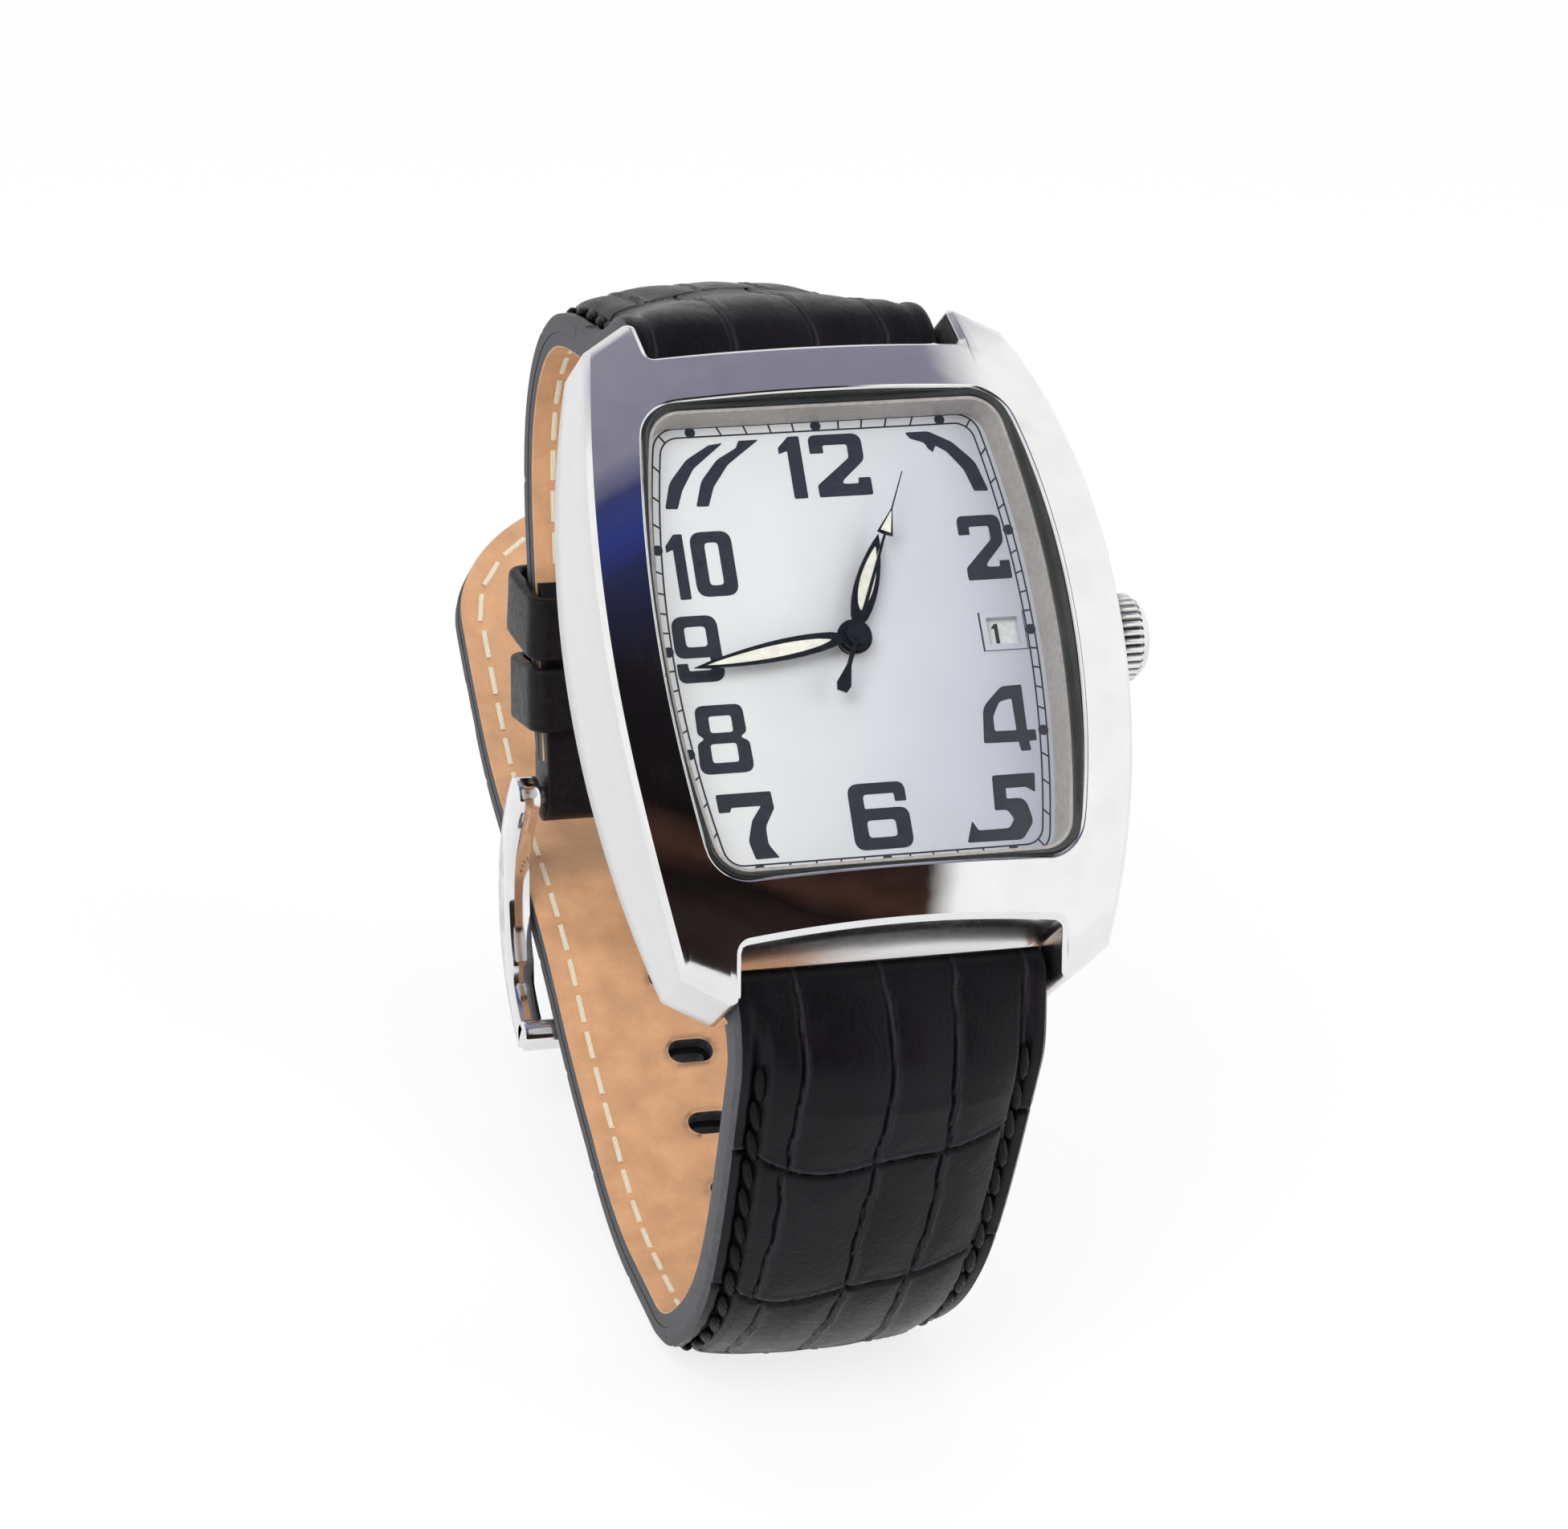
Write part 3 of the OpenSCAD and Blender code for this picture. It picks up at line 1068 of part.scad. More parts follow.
module movement_ring() {
    ring_top = -dial_t - glue_gap;
    ring_bottom = rotor_bottom + 0.1;
    slot_h = plate_bottom - ring_bottom + past;
    color([0.72, 0.72, 0.70]) place() difference() {
        slab(pocket(-fit_gap), ring_bottom, ring_top);
        translate([0, 0, ring_bottom - past]) cylinder(r = movement_r + fit_gap, h = 10, $fn = 96);
        along_x(0) cylinder(r = stem_r + 0.2, h = case_w, $fn = 32);
        for (a = clamp_angles) rotate([0, 0, a]) translate([clamp_r, -1, ring_bottom - past])
            cube([movement_r + clamp_over + clamp_slot_gap - clamp_r, 2, slot_h]);
        translate([lever_pivot.x, -0.9, ring_bottom - past]) cube([1.4, 4.2, slot_h]);
    }
}
module movement_clamps() {
    clamp_t = 0.3;
    clamp_top = plate_bottom - glue_gap;
    color([0.66, 0.66, 0.68]) place() for (a = clamp_angles) rotate([0, 0, a]) {
        translate([clamp_r - 0.8, -0.8, clamp_top - clamp_t])
            cube([movement_r + clamp_over - clamp_r + 0.8, 1.6, clamp_t]);
        translate([clamp_r, 0, clamp_top - clamp_t - 0.3]) cylinder(r = 0.55, h = 0.35, $fn = 32);
        translate([clamp_r, 0, clamp_top - clamp_t]) cylinder(r = 0.3, h = clamp_t + 0.85, $fn = 24);
    }
}

// Strap
module bar_at(y, z) {
    translate([0, y, z]) rotate([0, 90, 0]) children();
}
// A spring bar with its body between two walls at plus and minus x and its pins beyond them
module spring_bar(y, z, x, r, pin_r, pin_len) {
    color([0.60, 0.60, 0.62]) place() bar_at(y, z) {
        translate([0, 0, -x + 0.1]) cylinder(r = r, h = 2 * x - 0.2, $fn = 32);
        translate([0, 0, -x - pin_len]) cylinder(r = pin_r, h = 2 * (x + pin_len), $fn = 32);
    }
}
module upper_spring_bar() {
    spring_bar(bar_y, bar_z, lug_hw, bar_r, lug_hole_r - fit_gap, lug_hole_depth - 0.15);
}
module lower_spring_bar() {
    spring_bar(-bar_y, bar_z, lug_hw, bar_r, lug_hole_r - fit_gap, lug_hole_depth - 0.15);
}
function ring_at(r, s, side, profile) = let (q = route_at(r, s), n = away(q[2], side))
    [for (p = profile) [-side * p.x, q[0] + p.y * n.x, q[1] + p.y * n.y]];
function lengths(s0, s1) = let (n = ceil((s1 - s0) / ring_step)) [for (i = [0 : n]) s0 + (s1 - s0) * i / n];
tail_len = 9.4;
function tail_hw(s) = let (t = clamp01((s - long_len + tail_len) / tail_len))
    strap_hw(s) * pow(1 - t * t, 0.7);
skin_z = lining_t + glue_gap;
function outer_profile(hw, p) = let (e = lining_t + edge_t, w = hw - min(0.3, 0.12 * hw))
    [[-hw, skin_z], [hw, skin_z], [hw, e - 0.25], [w, e], [0.84 * hw, e], [0.62 * hw, e + 0.72 * p],
    [0.32 * hw, e + 0.94 * p], [0, e + p], [-0.32 * hw, e + 0.94 * p], [-0.62 * hw, e + 0.72 * p],
    [-0.84 * hw, e], [-w, e], [-hw, e - 0.25]];
function flat_profile(hw, h0, h1) = [[-hw, h0], [hw, h0], [hw, h1], [-hw, h1]];
tail_steps = [0.15, 0.3, 0.45, 0.6, 0.72, 0.83, 0.91, 0.97];
long_steps = concat(lengths(0, long_len - tail_len),
    [for (t = tail_steps) long_len - tail_len + t * tail_len]);
short_steps = lengths(0, short_len);
// A lining keeps the rings of the leather above it, so that the two never cross in a bend
lining_start = lug_wrap_r + 0.05;
function lining_steps(steps, end) = concat([lining_start],
    [for (s = steps) if (s > lining_start + 0.3 && s < end - 0.3) s], [end]);
first_hole_s = length_at(long_route, strap_under_bar) - 2.6;
holes = [-3 : 3];
slot_run = (hole_w - hole_h) / 2;
slot_ring = concat([for (i = [0 : 8]) [slot_run, 0] + hole_h / 2 * ahead(-90 + 22.5 * i)],
    [for (i = [0 : 8]) [-slot_run, 0] + hole_h / 2 * ahead(90 + 22.5 * i)]);
module hole_cuts() {
    for (k = holes) {
        q = route_at(long_route, first_hole_s + k * hole_pitch);
        translate([0, q[0], q[1]]) rotate([q[2], 0, 0]) translate([0, 0, -6])
            linear_extrude(8) polygon(slot_ring);
    }
}
module rest_plane_cut() {
    translate([0, rest_point.x, rest_point.y]) rotate([rest_a, 0, 0]) translate([-20, -15, -5])
        cube([40, 30, 5]);
}
module long_strap_outer() {
    color([0.09, 0.085, 0.09]) place() difference() {
        union() {
            loft([for (s = long_steps) ring_at(long_route, s, 1, outer_profile(tail_hw(s), pad(s)))]);
            bar_at(-bar_y, bar_z) translate([0, 0, -wrap_hw]) cylinder(r = lug_wrap_r, h = 2 * wrap_hw);
        }
        bar_at(-bar_y, bar_z) translate([0, 0, -lug_gap]) cylinder(r = bar_r + fit_gap, h = 2 * lug_gap);
        hole_cuts();
        rest_plane_cut();
    }
}
module long_strap_lining() {
    color([0.72, 0.50, 0.33]) place() difference() {
        loft([for (s = lining_steps(long_steps,
            long_len - (1 - tail_steps[len(tail_steps) - 1]) * tail_len))
            ring_at(long_route, s, 1, flat_profile(tail_hw(s) - 0.05, 0, lining_t))]);
        hole_cuts();
    }
}
tongue_room = tongue_w + 0.8;
module tongue_slot() {
    translate([0, buckle_bar.x, buckle_bar.y]) rotate([short_end_a, 0, 0])
        translate([-tongue_room / 2, -end_wrap_r - 0.8, -end_wrap_r - 1.5])
            cube([tongue_room, 3 * end_wrap_r, 2 * end_wrap_r + 3]);
}
module short_strap_outer() {
    end_hw = strap_hw(short_len) - 0.25;
    color([0.09, 0.085, 0.09]) place() difference() {
        union() {
            loft([for (s = short_steps) ring_at(short_route, s, -1, outer_profile(strap_hw(s), pad(s)))]);
            loft([for (s = short_steps) if (s > short_len - fold_len)
                ring_at(short_route, s, -1, flat_profile(strap_hw(s) - 0.1, -fold_t, -glue_gap))]);
            bar_at(bar_y, bar_z) translate([0, 0, -wrap_hw]) cylinder(r = lug_wrap_r, h = 2 * wrap_hw);
            bar_at(buckle_bar.x, buckle_bar.y) translate([0, 0, -end_hw])
                cylinder(r = end_wrap_r, h = 2 * end_hw);
        }
        bar_at(bar_y, bar_z) translate([0, 0, -lug_gap]) cylinder(r = bar_r + fit_gap, h = 2 * lug_gap);
        bar_at(buckle_bar.x, buckle_bar.y) translate([0, 0, -lug_gap])
            cylinder(r = bar_r + fit_gap, h = 2 * lug_gap);
        tongue_slot();
    }
}
module short_strap_lining() {
    color([0.72, 0.50, 0.33]) place() difference() {
        loft([for (s = lining_steps(short_steps, short_len - end_wrap_r - 0.1))
            ring_at(short_route, s, -1, flat_profile(strap_hw(s) - 0.05, 0, lining_t))]);
        tongue_slot();
    }
}
// A keeper: a band round the short strap, its middle at a length before the buckle's spring bar
module keeper(before, tilt) {
    q = route_at(short_route, short_len - before);
    in_hw = strap_hw(short_len - before) + slide_gap / 2;
    low = -fold_t - slide_gap / 2 - (tilt > 0 ? 0.5 : 0);
    high = lining_t + edge_t + pad_end_rise + keeper_room;
    w = keeper_w;
    color([0.08, 0.075, 0.08]) place() translate([0, q[0], q[1]]) rotate([q[2], 0, 0]) rotate([tilt, 0, 0])
        difference() {
            translate([-in_hw - keeper_t, -w / 2, low - keeper_t])
                cube([2 * (in_hw + keeper_t), w, high - low + 2 * keeper_t]);
            translate([-in_hw, -w, low]) cube([2 * in_hw, 2 * w, high - low]);
        }
}
fixed_before = 7.6;
module fixed_keeper() {
    keeper(fixed_before, 0);
}
module free_keeper() {
    keeper(fixed_before + keeper_w + 0.9, keeper_lean);
}

// Buckle
buckle_a = -154;
far_bar = buckle_bar + buckle_len * ahead(buckle_a);
arch_r = (pow(buckle_len / 2, 2) + arm_arch * arm_arch) / (2 * arm_arch);
arch_c = (buckle_bar + far_bar) / 2 + (arch_r - arm_arch) * ahead(buckle_a - 90);
arch_from = atan2(buckle_bar.y - arch_c.y, buckle_bar.x - arch_c.x);
arch_to = atan2(far_bar.y - arch_c.y, far_bar.x - arch_c.x);
arm_n = 18;
end_n = 8;
arm_in = strap_end_hw + slide_gap;
far_bar_r = 1.15;
function thinned(t) = arm_depth / 2 - 0.8 * clamp01((t - 0.72) / 0.08);
module arm_shape() {
    span = arch_to - arch_from;
    polygon(concat(
        [for (i = [0 : arm_n]) arch_c + (arch_r + arm_depth / 2) * ahead(arch_from + span * i / arm_n)],
        [for (i = [0 : arm_n]) let (t = 1 - i / arm_n)
            arch_c + (arch_r - thinned(t)) * ahead(arch_from + span * t)],
        [for (i = [1 : end_n - 1]) buckle_bar + arm_depth / 2 * ahead(arch_from + 180 - 180 * i / end_n)]));
}
module buckle_frame() {
    color([0.80, 0.80, 0.81]) place() difference() {
        union() {
            for (x = [arm_in, -arm_in - arm_t]) translate([x, 0, 0]) rotate([90, 0, 90])
                linear_extrude(arm_t) arm_shape();
            bar_at(far_bar.x, far_bar.y) translate([0, 0, -arm_in - arm_t])
                cylinder(r = far_bar_r, h = 2 * (arm_in + arm_t));
        }
        bar_at(buckle_bar.x, buckle_bar.y) translate([0, 0, -lug_gap])
            cylinder(r = lug_hole_r, h = 2 * lug_gap, $fn = 32);
    }
}
module buckle_spring_bar() {
    spring_bar(buckle_bar.x, buckle_bar.y, arm_in, bar_r, lug_hole_r - fit_gap, arm_t - 0.2);
}
hole_used = route_at(long_route, first_hole_s + hole_pitch);
tongue_tip_len = 1.6;
module buckle_tongue() {
    h = tongue_t / 2;
    hole_in = [hole_used[0], hole_used[1]] - 0.4 * away(hole_used[2], 1);
    out_h = lining_t + edge_t + pad_end_rise + 0.1;
    hole_out = [hole_used[0], hole_used[1]] + out_h * away(hole_used[2], 1);
    over_bar = [for (a = [-10, -40, -70, -105]) far_bar + (far_bar_r + h + slide_gap) * ahead(a)];
    tip = over_bar[3] + tongue_tip_len * ahead(-175);
    color([0.80, 0.80, 0.81]) place() difference() {
        union() {
            translate([-tongue_w / 2, 0, 0]) rotate([90, 0, 90]) linear_extrude(tongue_w)
                thick_line(concat([buckle_bar, hole_in, hole_out], over_bar, [tip]), h);
            bar_at(buckle_bar.x, buckle_bar.y) translate([0, 0, -tongue_w / 2])
                cylinder(r = bar_r + 0.75, h = tongue_w);
        }
        bar_at(buckle_bar.x, buckle_bar.y) translate([0, 0, -lug_gap])
            cylinder(r = bar_r + fit_gap, h = 2 * lug_gap);
    }
}
// A band of half thickness h along a line of points, mitred at its bends
function bend_dir(p, i) = i == 0 ? p[1] - p[0] : p[i] - p[i - 1];
function next_dir(p, i) = i == len(p) - 1 ? p[i] - p[i - 1] : p[i + 1] - p[i];
function mitre(p, i) = let (a = bend_dir(p, i) / norm(bend_dir(p, i)),
    b = next_dir(p, i) / norm(next_dir(p, i)),
    n = [-(a.y + b.y), a.x + b.x]) n / (1 + a * b);
module thick_line(p, h) {
    polygon(concat([for (i = [0 : len(p) - 1]) p[i] + h * mitre(p, i)],
        [for (i = [len(p) - 1 : -1 : 0]) p[i] - h * mitre(p, i)]));
}

case_middle();
crystal();
crystal_gasket();
dial_ring();
dial();
case_back();
case_back_gasket();
case_back_screws();
crown();
crown_gasket();
crown_tube();
winding_stem();
sliding_pinion();
setting_lever();
hour_hand();
minute_hand();
seconds_hand();
date_disc();
mainplate();
train_bridge();
bridge_screws();
barrel();
mainspring();
ratchet_wheel();
centre_wheel();
third_wheel();
fourth_wheel();
escape_wheel();
pallet_fork();
balance_wheel();
hairspring();
balance_cock();
hour_wheel();
cannon_pinion();
minute_wheel();
rotor();
rotor_bearing();
movement_ring();
movement_clamps();
upper_spring_bar();
lower_spring_bar();
short_strap_outer();
short_strap_lining();
long_strap_outer();
long_strap_lining();
free_keeper();
fixed_keeper();
buckle_frame();
buckle_tongue();
buckle_spring_bar();
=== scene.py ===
import json
import math

import bmesh
import bpy
import numpy as np
from bpy.props import (BoolProperty, FloatProperty, FloatVectorProperty, IntProperty,
                       PointerProperty)
from mathutils import Matrix, Vector


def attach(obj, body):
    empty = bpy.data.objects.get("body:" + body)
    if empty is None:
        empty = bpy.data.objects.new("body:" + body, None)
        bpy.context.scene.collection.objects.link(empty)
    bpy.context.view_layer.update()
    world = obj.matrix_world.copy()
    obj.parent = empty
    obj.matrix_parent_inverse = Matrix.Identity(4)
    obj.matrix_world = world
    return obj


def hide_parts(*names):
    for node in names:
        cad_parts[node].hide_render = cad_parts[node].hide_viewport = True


bl_info = {
    "name": "Tonneau Watch Dresser",
    "version": (1, 0, 0),
    "blender": (4, 5, 0),
    "location": "3D View > Sidebar > Watch",
    "description": "Dresses an automatic tonneau watch on its padded strap",
    "category": "Object",
}

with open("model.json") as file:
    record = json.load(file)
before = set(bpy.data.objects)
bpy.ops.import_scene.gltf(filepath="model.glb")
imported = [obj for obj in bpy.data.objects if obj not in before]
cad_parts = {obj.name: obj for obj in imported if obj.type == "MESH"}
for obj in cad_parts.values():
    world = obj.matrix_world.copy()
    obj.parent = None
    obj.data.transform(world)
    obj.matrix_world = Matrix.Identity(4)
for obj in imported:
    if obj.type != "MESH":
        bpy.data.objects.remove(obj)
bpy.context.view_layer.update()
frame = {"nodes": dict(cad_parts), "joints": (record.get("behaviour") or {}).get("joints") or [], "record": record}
JOINTS = {joint["name"]: joint for joint in frame["joints"]}
SLOT_OF = {part["node"]: part["material_slot"] for part in frame["record"]["subparts"]}

# ---------------------------------------------------------------- watch frame
# The watch is drawn in millimetres round the dial's centre: x to the crown, y to twelve, z outwards.
OUTWARD = -np.array(JOINTS["minute_turn"]["axis"], float)
OUTWARD /= np.linalg.norm(OUTWARD)
ACROSS = np.array((1.0, 0.0, 0.0))
TO_TWELVE = np.cross(OUTWARD, ACROSS)
CENTRE = np.array(JOINTS["minute_turn"]["pos_m"], float)
LEAN = math.degrees(math.asin(OUTWARD[2]))
MM = 0.001


def placed(points):
    """Points of the watch's own frame, in millimetres, as metres of the shared frame."""
    p = np.atleast_2d(np.asarray(points, float))
    return CENTRE + MM * (p[:, :1] * ACROSS + p[:, 1:2] * TO_TWELVE + p[:, 2:3] * OUTWARD)


def placing():
    """The same move as a matrix."""
    turn = Matrix((ACROSS * MM, TO_TWELVE * MM, OUTWARD * MM)).transposed().to_4x4()
    return Matrix.Translation(Vector(CENTRE)) @ turn


def ahead(deg):
    return np.array((math.cos(math.radians(deg)), math.sin(math.radians(deg))))


# ---------------------------------------------------------------- sizes kept from the part
CASE_HW, SHOULDER_HW, SHOULDER_Y, LUG_LEN = 17.8, 14.7, 21.7, 23.6
LUG_HW, END_WALL, TIP_R, FILLET = 11.0, 20.3, 0.5, 0.5
FLANK_DROP, DECK_H, DECK_SIDE, DECK_END, DECK_TIP = 7.0, 4.5, 3.7, 2.35, -1.3
BEVEL, BROW = 0.35, 0.22
WINDOW_HW, WINDOW_HH, WINDOW_R, LEDGE = 14.2, 16.4, 2.9, 0.5
HAND_ROOM, CRYSTAL_H, GASKET = 2.35, 4.75, 0.14
OPEN_HW, OPEN_HH = 13.15, 15.45
DATE_X, DATE_T, DAYS = 10.64, 0.006, 31
HOUR_Z, MINUTE_Z, SECONDS_Z, HAND_T = 0.70, 1.10, 1.50, 0.16
CROWN_X, CROWN_R, CROWN_LEN, STEM_Z = 18.05, 3.0, 3.5, -3.2
BAR_Y, BAR_Z, LUG_WRAP, END_WRAP = 22.3, -4.6, 1.7, 1.9
LINING_T, EDGE_T, SKIN = 1.1, 1.35, 1.12
STRAP_HW, STRAP_END_HW, TAPER, TAIL = 10.85, 9.0, 56.0, 9.4
FOLD_LEN, FOLD_T = 16.0, 1.0
# The outer leather's sweep round a lug's bar in radians, its rings' step and the points over its top.
ROLL_SWEEP, STATION, TOP_N = 1.45, 0.22, 132
HOLE_W, HOLE_H, HOLE_PITCH = 3.4, 2.0, 6.4
KEEPER_W, KEEPER_T, KEEPER_ROOM, KEEPER_LEAN = 4.8, 1.0, 1.6, 10.0
KEEPER_BEFORE, KEEPER_APART, SPLIT = 7.6, 0.9, 2.7
STITCH_START, LINING_PITCH, LINING_DASH = 4.6, 3.1, (0.0023, 0.00042, 0.00030)
BUCKLE_BAR = np.array((5.3, -48.2))
BUCKLE_A, BUCKLE_LEN, ARM_T, ARM_DEPTH, ARM_ARCH, FAR_R = -154.0, 17.8, 1.7, 3.0, 4.0, 1.15
REST_MID, REST_LEN = np.array((-33.2, -38.8)), 6.5

SIDE_BOW = CASE_HW - SHOULDER_HW
SIDE_R = (SHOULDER_Y ** 2 + SIDE_BOW ** 2) / (2 * SIDE_BOW)
SIDE_CX = CASE_HW - SIDE_R
TIP_C = np.array((LUG_HW + TIP_R, LUG_LEN - TIP_R))
FALL_X = (DECK_H - DECK_SIDE) / CASE_HW ** 2
FALL_Y2 = 0.15 * (DECK_H - DECK_END) / END_WALL ** 2
FALL_Y4 = 0.85 * (DECK_H - DECK_END) / END_WALL ** 4
FALL_XY = ((DECK_H - FALL_X * TIP_C[0] ** 2 - FALL_Y2 * LUG_LEN ** 2 - FALL_Y4 * LUG_LEN ** 4 - DECK_TIP)
           / (TIP_C[0] ** 2 * LUG_LEN ** 2))


def deck_z(x, y):
    return DECK_H - FALL_X * x * x - FALL_Y2 * y * y - FALL_Y4 * y ** 4 - FALL_XY * x * x * y * y


# ---------------------------------------------------------------- settings
def shade(name, text, colour):
    return FloatVectorProperty(name=name, description=text, subtype="COLOR", size=3, min=0.0,
                               max=1.0, default=colour)


def length(name, text, size, low, high):
    return FloatProperty(name=name, description=text, default=size, min=low, max=high, unit="LENGTH",
                         subtype="DISTANCE", precision=5)


def share(name, text, value):
    return FloatProperty(name=name, description=text, default=value, min=0.0, max=1.0, subtype="FACTOR")


def power(name, text, value):
    return FloatProperty(name=name, description=text, default=value, min=0.0, unit="POWER")


class WatchSteelSettings(bpy.types.PropertyGroup):
    """Steel of the case, crown and buckle"""
    steel: shade("Steel", "Colour of the polished and satin steel", (0.80, 0.80, 0.81))
    polish: share("Polish", "Roughness of the polished deck", 0.06)
    satin: share("Satin", "Roughness of the flanks", 0.24)
    knurls: IntProperty(name="Knurls", description="Knurls round the crown", default=30, min=12, max=60)
    knurl_depth: length("Knurl depth", "Depth of the crown's flutes", 0.00022, 0.0, 0.0005)


class WatchDialSettings(bpy.types.PropertyGroup):
    """Dial, print and hands"""
    silver: shade("Dial", "Colour of the dial's plate", (0.755, 0.755, 0.76))
    ring: shade("Ring", "Colour of the sloping ring round the dial", (0.43, 0.40, 0.375))
    ink: shade("Print", "Colour of the numerals and the minute track", (0.018, 0.022, 0.034))
    hand: shade("Hands", "Colour of the hands' enamel", (0.012, 0.013, 0.018))
    lume: shade("Inlay", "Colour of the pale inlays in the hands", (0.78, 0.76, 0.66))
    print_t: length("Print height", "Height of the print over the dial", 0.00002, 0.00001, 0.0001)
    dot_r: length("Dot radius", "Radius of the five-minute dots", 0.00036, 0.0001, 0.0008)


class WatchStrapSettings(bpy.types.PropertyGroup):
    """Leather, lining and stitching"""
    leather: shade("Leather", "Colour of the grained outer leather", (0.0052, 0.0042, 0.0058))
    lining: shade("Lining", "Colour of the inner leather", (0.60, 0.325, 0.165))
    edge: shade("Edge paint", "Colour of the painted edges", (0.050, 0.052, 0.058))
    thread: shade("Outer thread", "Colour of the thread on the outside", (0.0040, 0.0042, 0.0060))
    inner_thread: shade("Inner thread", "Colour of the thread on the lining", (0.74, 0.66, 0.50))
    crease: length("Crease depth", "Depth of the creases between the leather's scales", 0.00036, 0.0, 0.0006)
    pillow: length("Scale rise", "Rise of each scale's middle", 0.00016, 0.0, 0.0005)
    stitch_pitch: length("Stitch pitch", "Distance between stitches outside", 0.0025, 0.001, 0.006)
    stitch_len: length("Stitch length", "Length of one stitch outside", 0.0031, 0.0005, 0.005)
    thread_r: length("Thread radius", "Radius of the thread", 0.00045, 0.0001, 0.001)
    stitch_inset: length("Stitch inset", "Distance of the stitch line from the edge", 0.0016, 0.001, 0.004)
    seed: IntProperty(name="Seed", description="Seed of the grain's variation", default=7, min=0)


class WatchStageSettings(bpy.types.PropertyGroup):
    """Camera, floor and lamps"""
    key_power: power("Key lamp", "Power of the large lamp at the left", 2.2)
    fill_power: power("Fill lamp", "Power of the lamp at the right", 1.2)
    top_power: power("Top lamp", "Power of the overhead lamp", 0.9)
    room: share("Room light", "Strength of the even light from all sides", 0.55)
    tent: BoolProperty(name="Reflection tent", description="Half dome that the polished steel reflects",
                       default=True)


# ---------------------------------------------------------------- materials
def scaled(colour, share):
    return tuple(c * share for c in colour)


class Nodes:
    """A short way to write the node tree of one material, or of the world."""

    def __init__(self, name, world=None):
        self.mat = world or bpy.data.materials.new(name)
        self.mat.use_nodes = True
        self.tree = self.mat.node_tree
        self.tree.nodes.clear()
        self.out = self.add("ShaderNodeOutputWorld" if world else "ShaderNodeOutputMaterial")

    def add(self, kind, inputs=None, **fields):
        node = self.tree.nodes.new(kind)
        for key, value in fields.items():
            setattr(node, key, value)
        for key, value in (inputs or {}).items():
            socket = node.inputs[key]
            if isinstance(value, bpy.types.NodeSocket):
                self.tree.links.new(value, socket)
            else:
                socket.default_value = value
        return node

    def surface(self, colour, roughness, metallic=0.0, normal=None, **fixed):
        inputs = {"Metallic": metallic, "Roughness": roughness}
        if isinstance(colour, bpy.types.NodeSocket):
            inputs["Base Color"] = colour
        else:
            inputs["Base Color"] = (*colour, 1.0)
        if normal is not None:
            inputs["Normal"] = normal
        inputs.update({key.replace("_", " "): value for key, value in fixed.items()})
        self.show(self.add("ShaderNodeBsdfPrincipled", inputs))

    def show(self, shader):
        self.tree.links.new(shader.outputs[0], self.out.inputs["Surface"])

    def place(self, scale=(1, 1, 1), turn=(0, 0, 0)):
        """The piece's own coordinates in millimetres, turned with the dial and stretched."""
        coords = self.add("ShaderNodeTexCoord")
        square = self.add("ShaderNodeMapping", {"Vector": coords.outputs["Object"], "Scale": (1000,) * 3,
                                                "Rotation": (math.radians(LEAN - 90), 0, 0)})
        return self.add("ShaderNodeMapping", {"Vector": square.outputs[0], "Scale": scale,
                                              "Rotation": [math.radians(a) for a in turn]}).outputs[0]

    def stored(self, name):
        return self.add("ShaderNodeAttribute", attribute_name=name)

    def noise(self, where, scale, detail=3.0, rough=0.55):
        return self.add("ShaderNodeTexNoise", {"Vector": where, "Scale": scale, "Detail": detail,
                                               "Roughness": rough}).outputs["Fac"]

    def cells(self, where, scale, feature="F1"):
        return self.add("ShaderNodeTexVoronoi", {"Vector": where, "Scale": scale},
                        feature=feature).outputs["Distance"]

    def mapped(self, value, low, high, out_low, out_high):
        return self.add("ShaderNodeMapRange", {"Value": value, "From Min": low, "From Max": high,
                                               "To Min": out_low, "To Max": out_high}).outputs["Result"]

    def sum(self, a, b, operation="ADD"):
        return self.add("ShaderNodeMath", {0: a, 1: b}, operation=operation).outputs[0]

    def mix(self, fac, a, b):
        node = self.add("ShaderNodeMix", data_type="RGBA")
        for index, value in ((0, fac), (6, a), (7, b)):
            if isinstance(value, bpy.types.NodeSocket):
                self.tree.links.new(value, node.inputs[index])
            else:
                node.inputs[index].default_value = value if index == 0 else (*value, 1.0)
        return node.outputs[2]

    def tone(self, value, low, high, dark, colour, light=1.0):
        """The colour, wandering between a darker and a lighter share of itself."""
        return self.mix(self.mapped(value, low, high, 0.0, 1.0), scaled(colour, dark), scaled(colour, light))

    def seen(self):
        """One for rays from the camera, off gloss and through glass."""
        path = self.add("ShaderNodeLightPath")
        return self.sum(self.sum(path.outputs["Is Camera Ray"], path.outputs["Is Glossy Ray"]),
                        path.outputs["Is Transmission Ray"])

    def bump(self, height, distance, strength=1.0, normal=None):
        inputs = {"Height": height, "Distance": distance, "Strength": strength}
        if normal is not None:
            inputs["Normal"] = normal
        return self.add("ShaderNodeBump", inputs).outputs[0]


def polished_steel(name, colour, rough):
    m = Nodes(name)
    haze = m.noise(m.place(), 0.35, 4.0)
    hairline = m.noise(m.place((9, 0.35, 0.35), (0, 0, 28)), 1.0, 5.0, 0.7)
    tone = m.tone(haze, 0.3, 0.7, 0.93, colour)
    gloss = m.mapped(m.sum(haze, hairline, "MULTIPLY"), 0.15, 0.4, rough * 0.55, rough * 1.7)
    m.surface(tone, gloss, 1.0, m.bump(hairline, 0.000003, 0.12))
    return m.mat


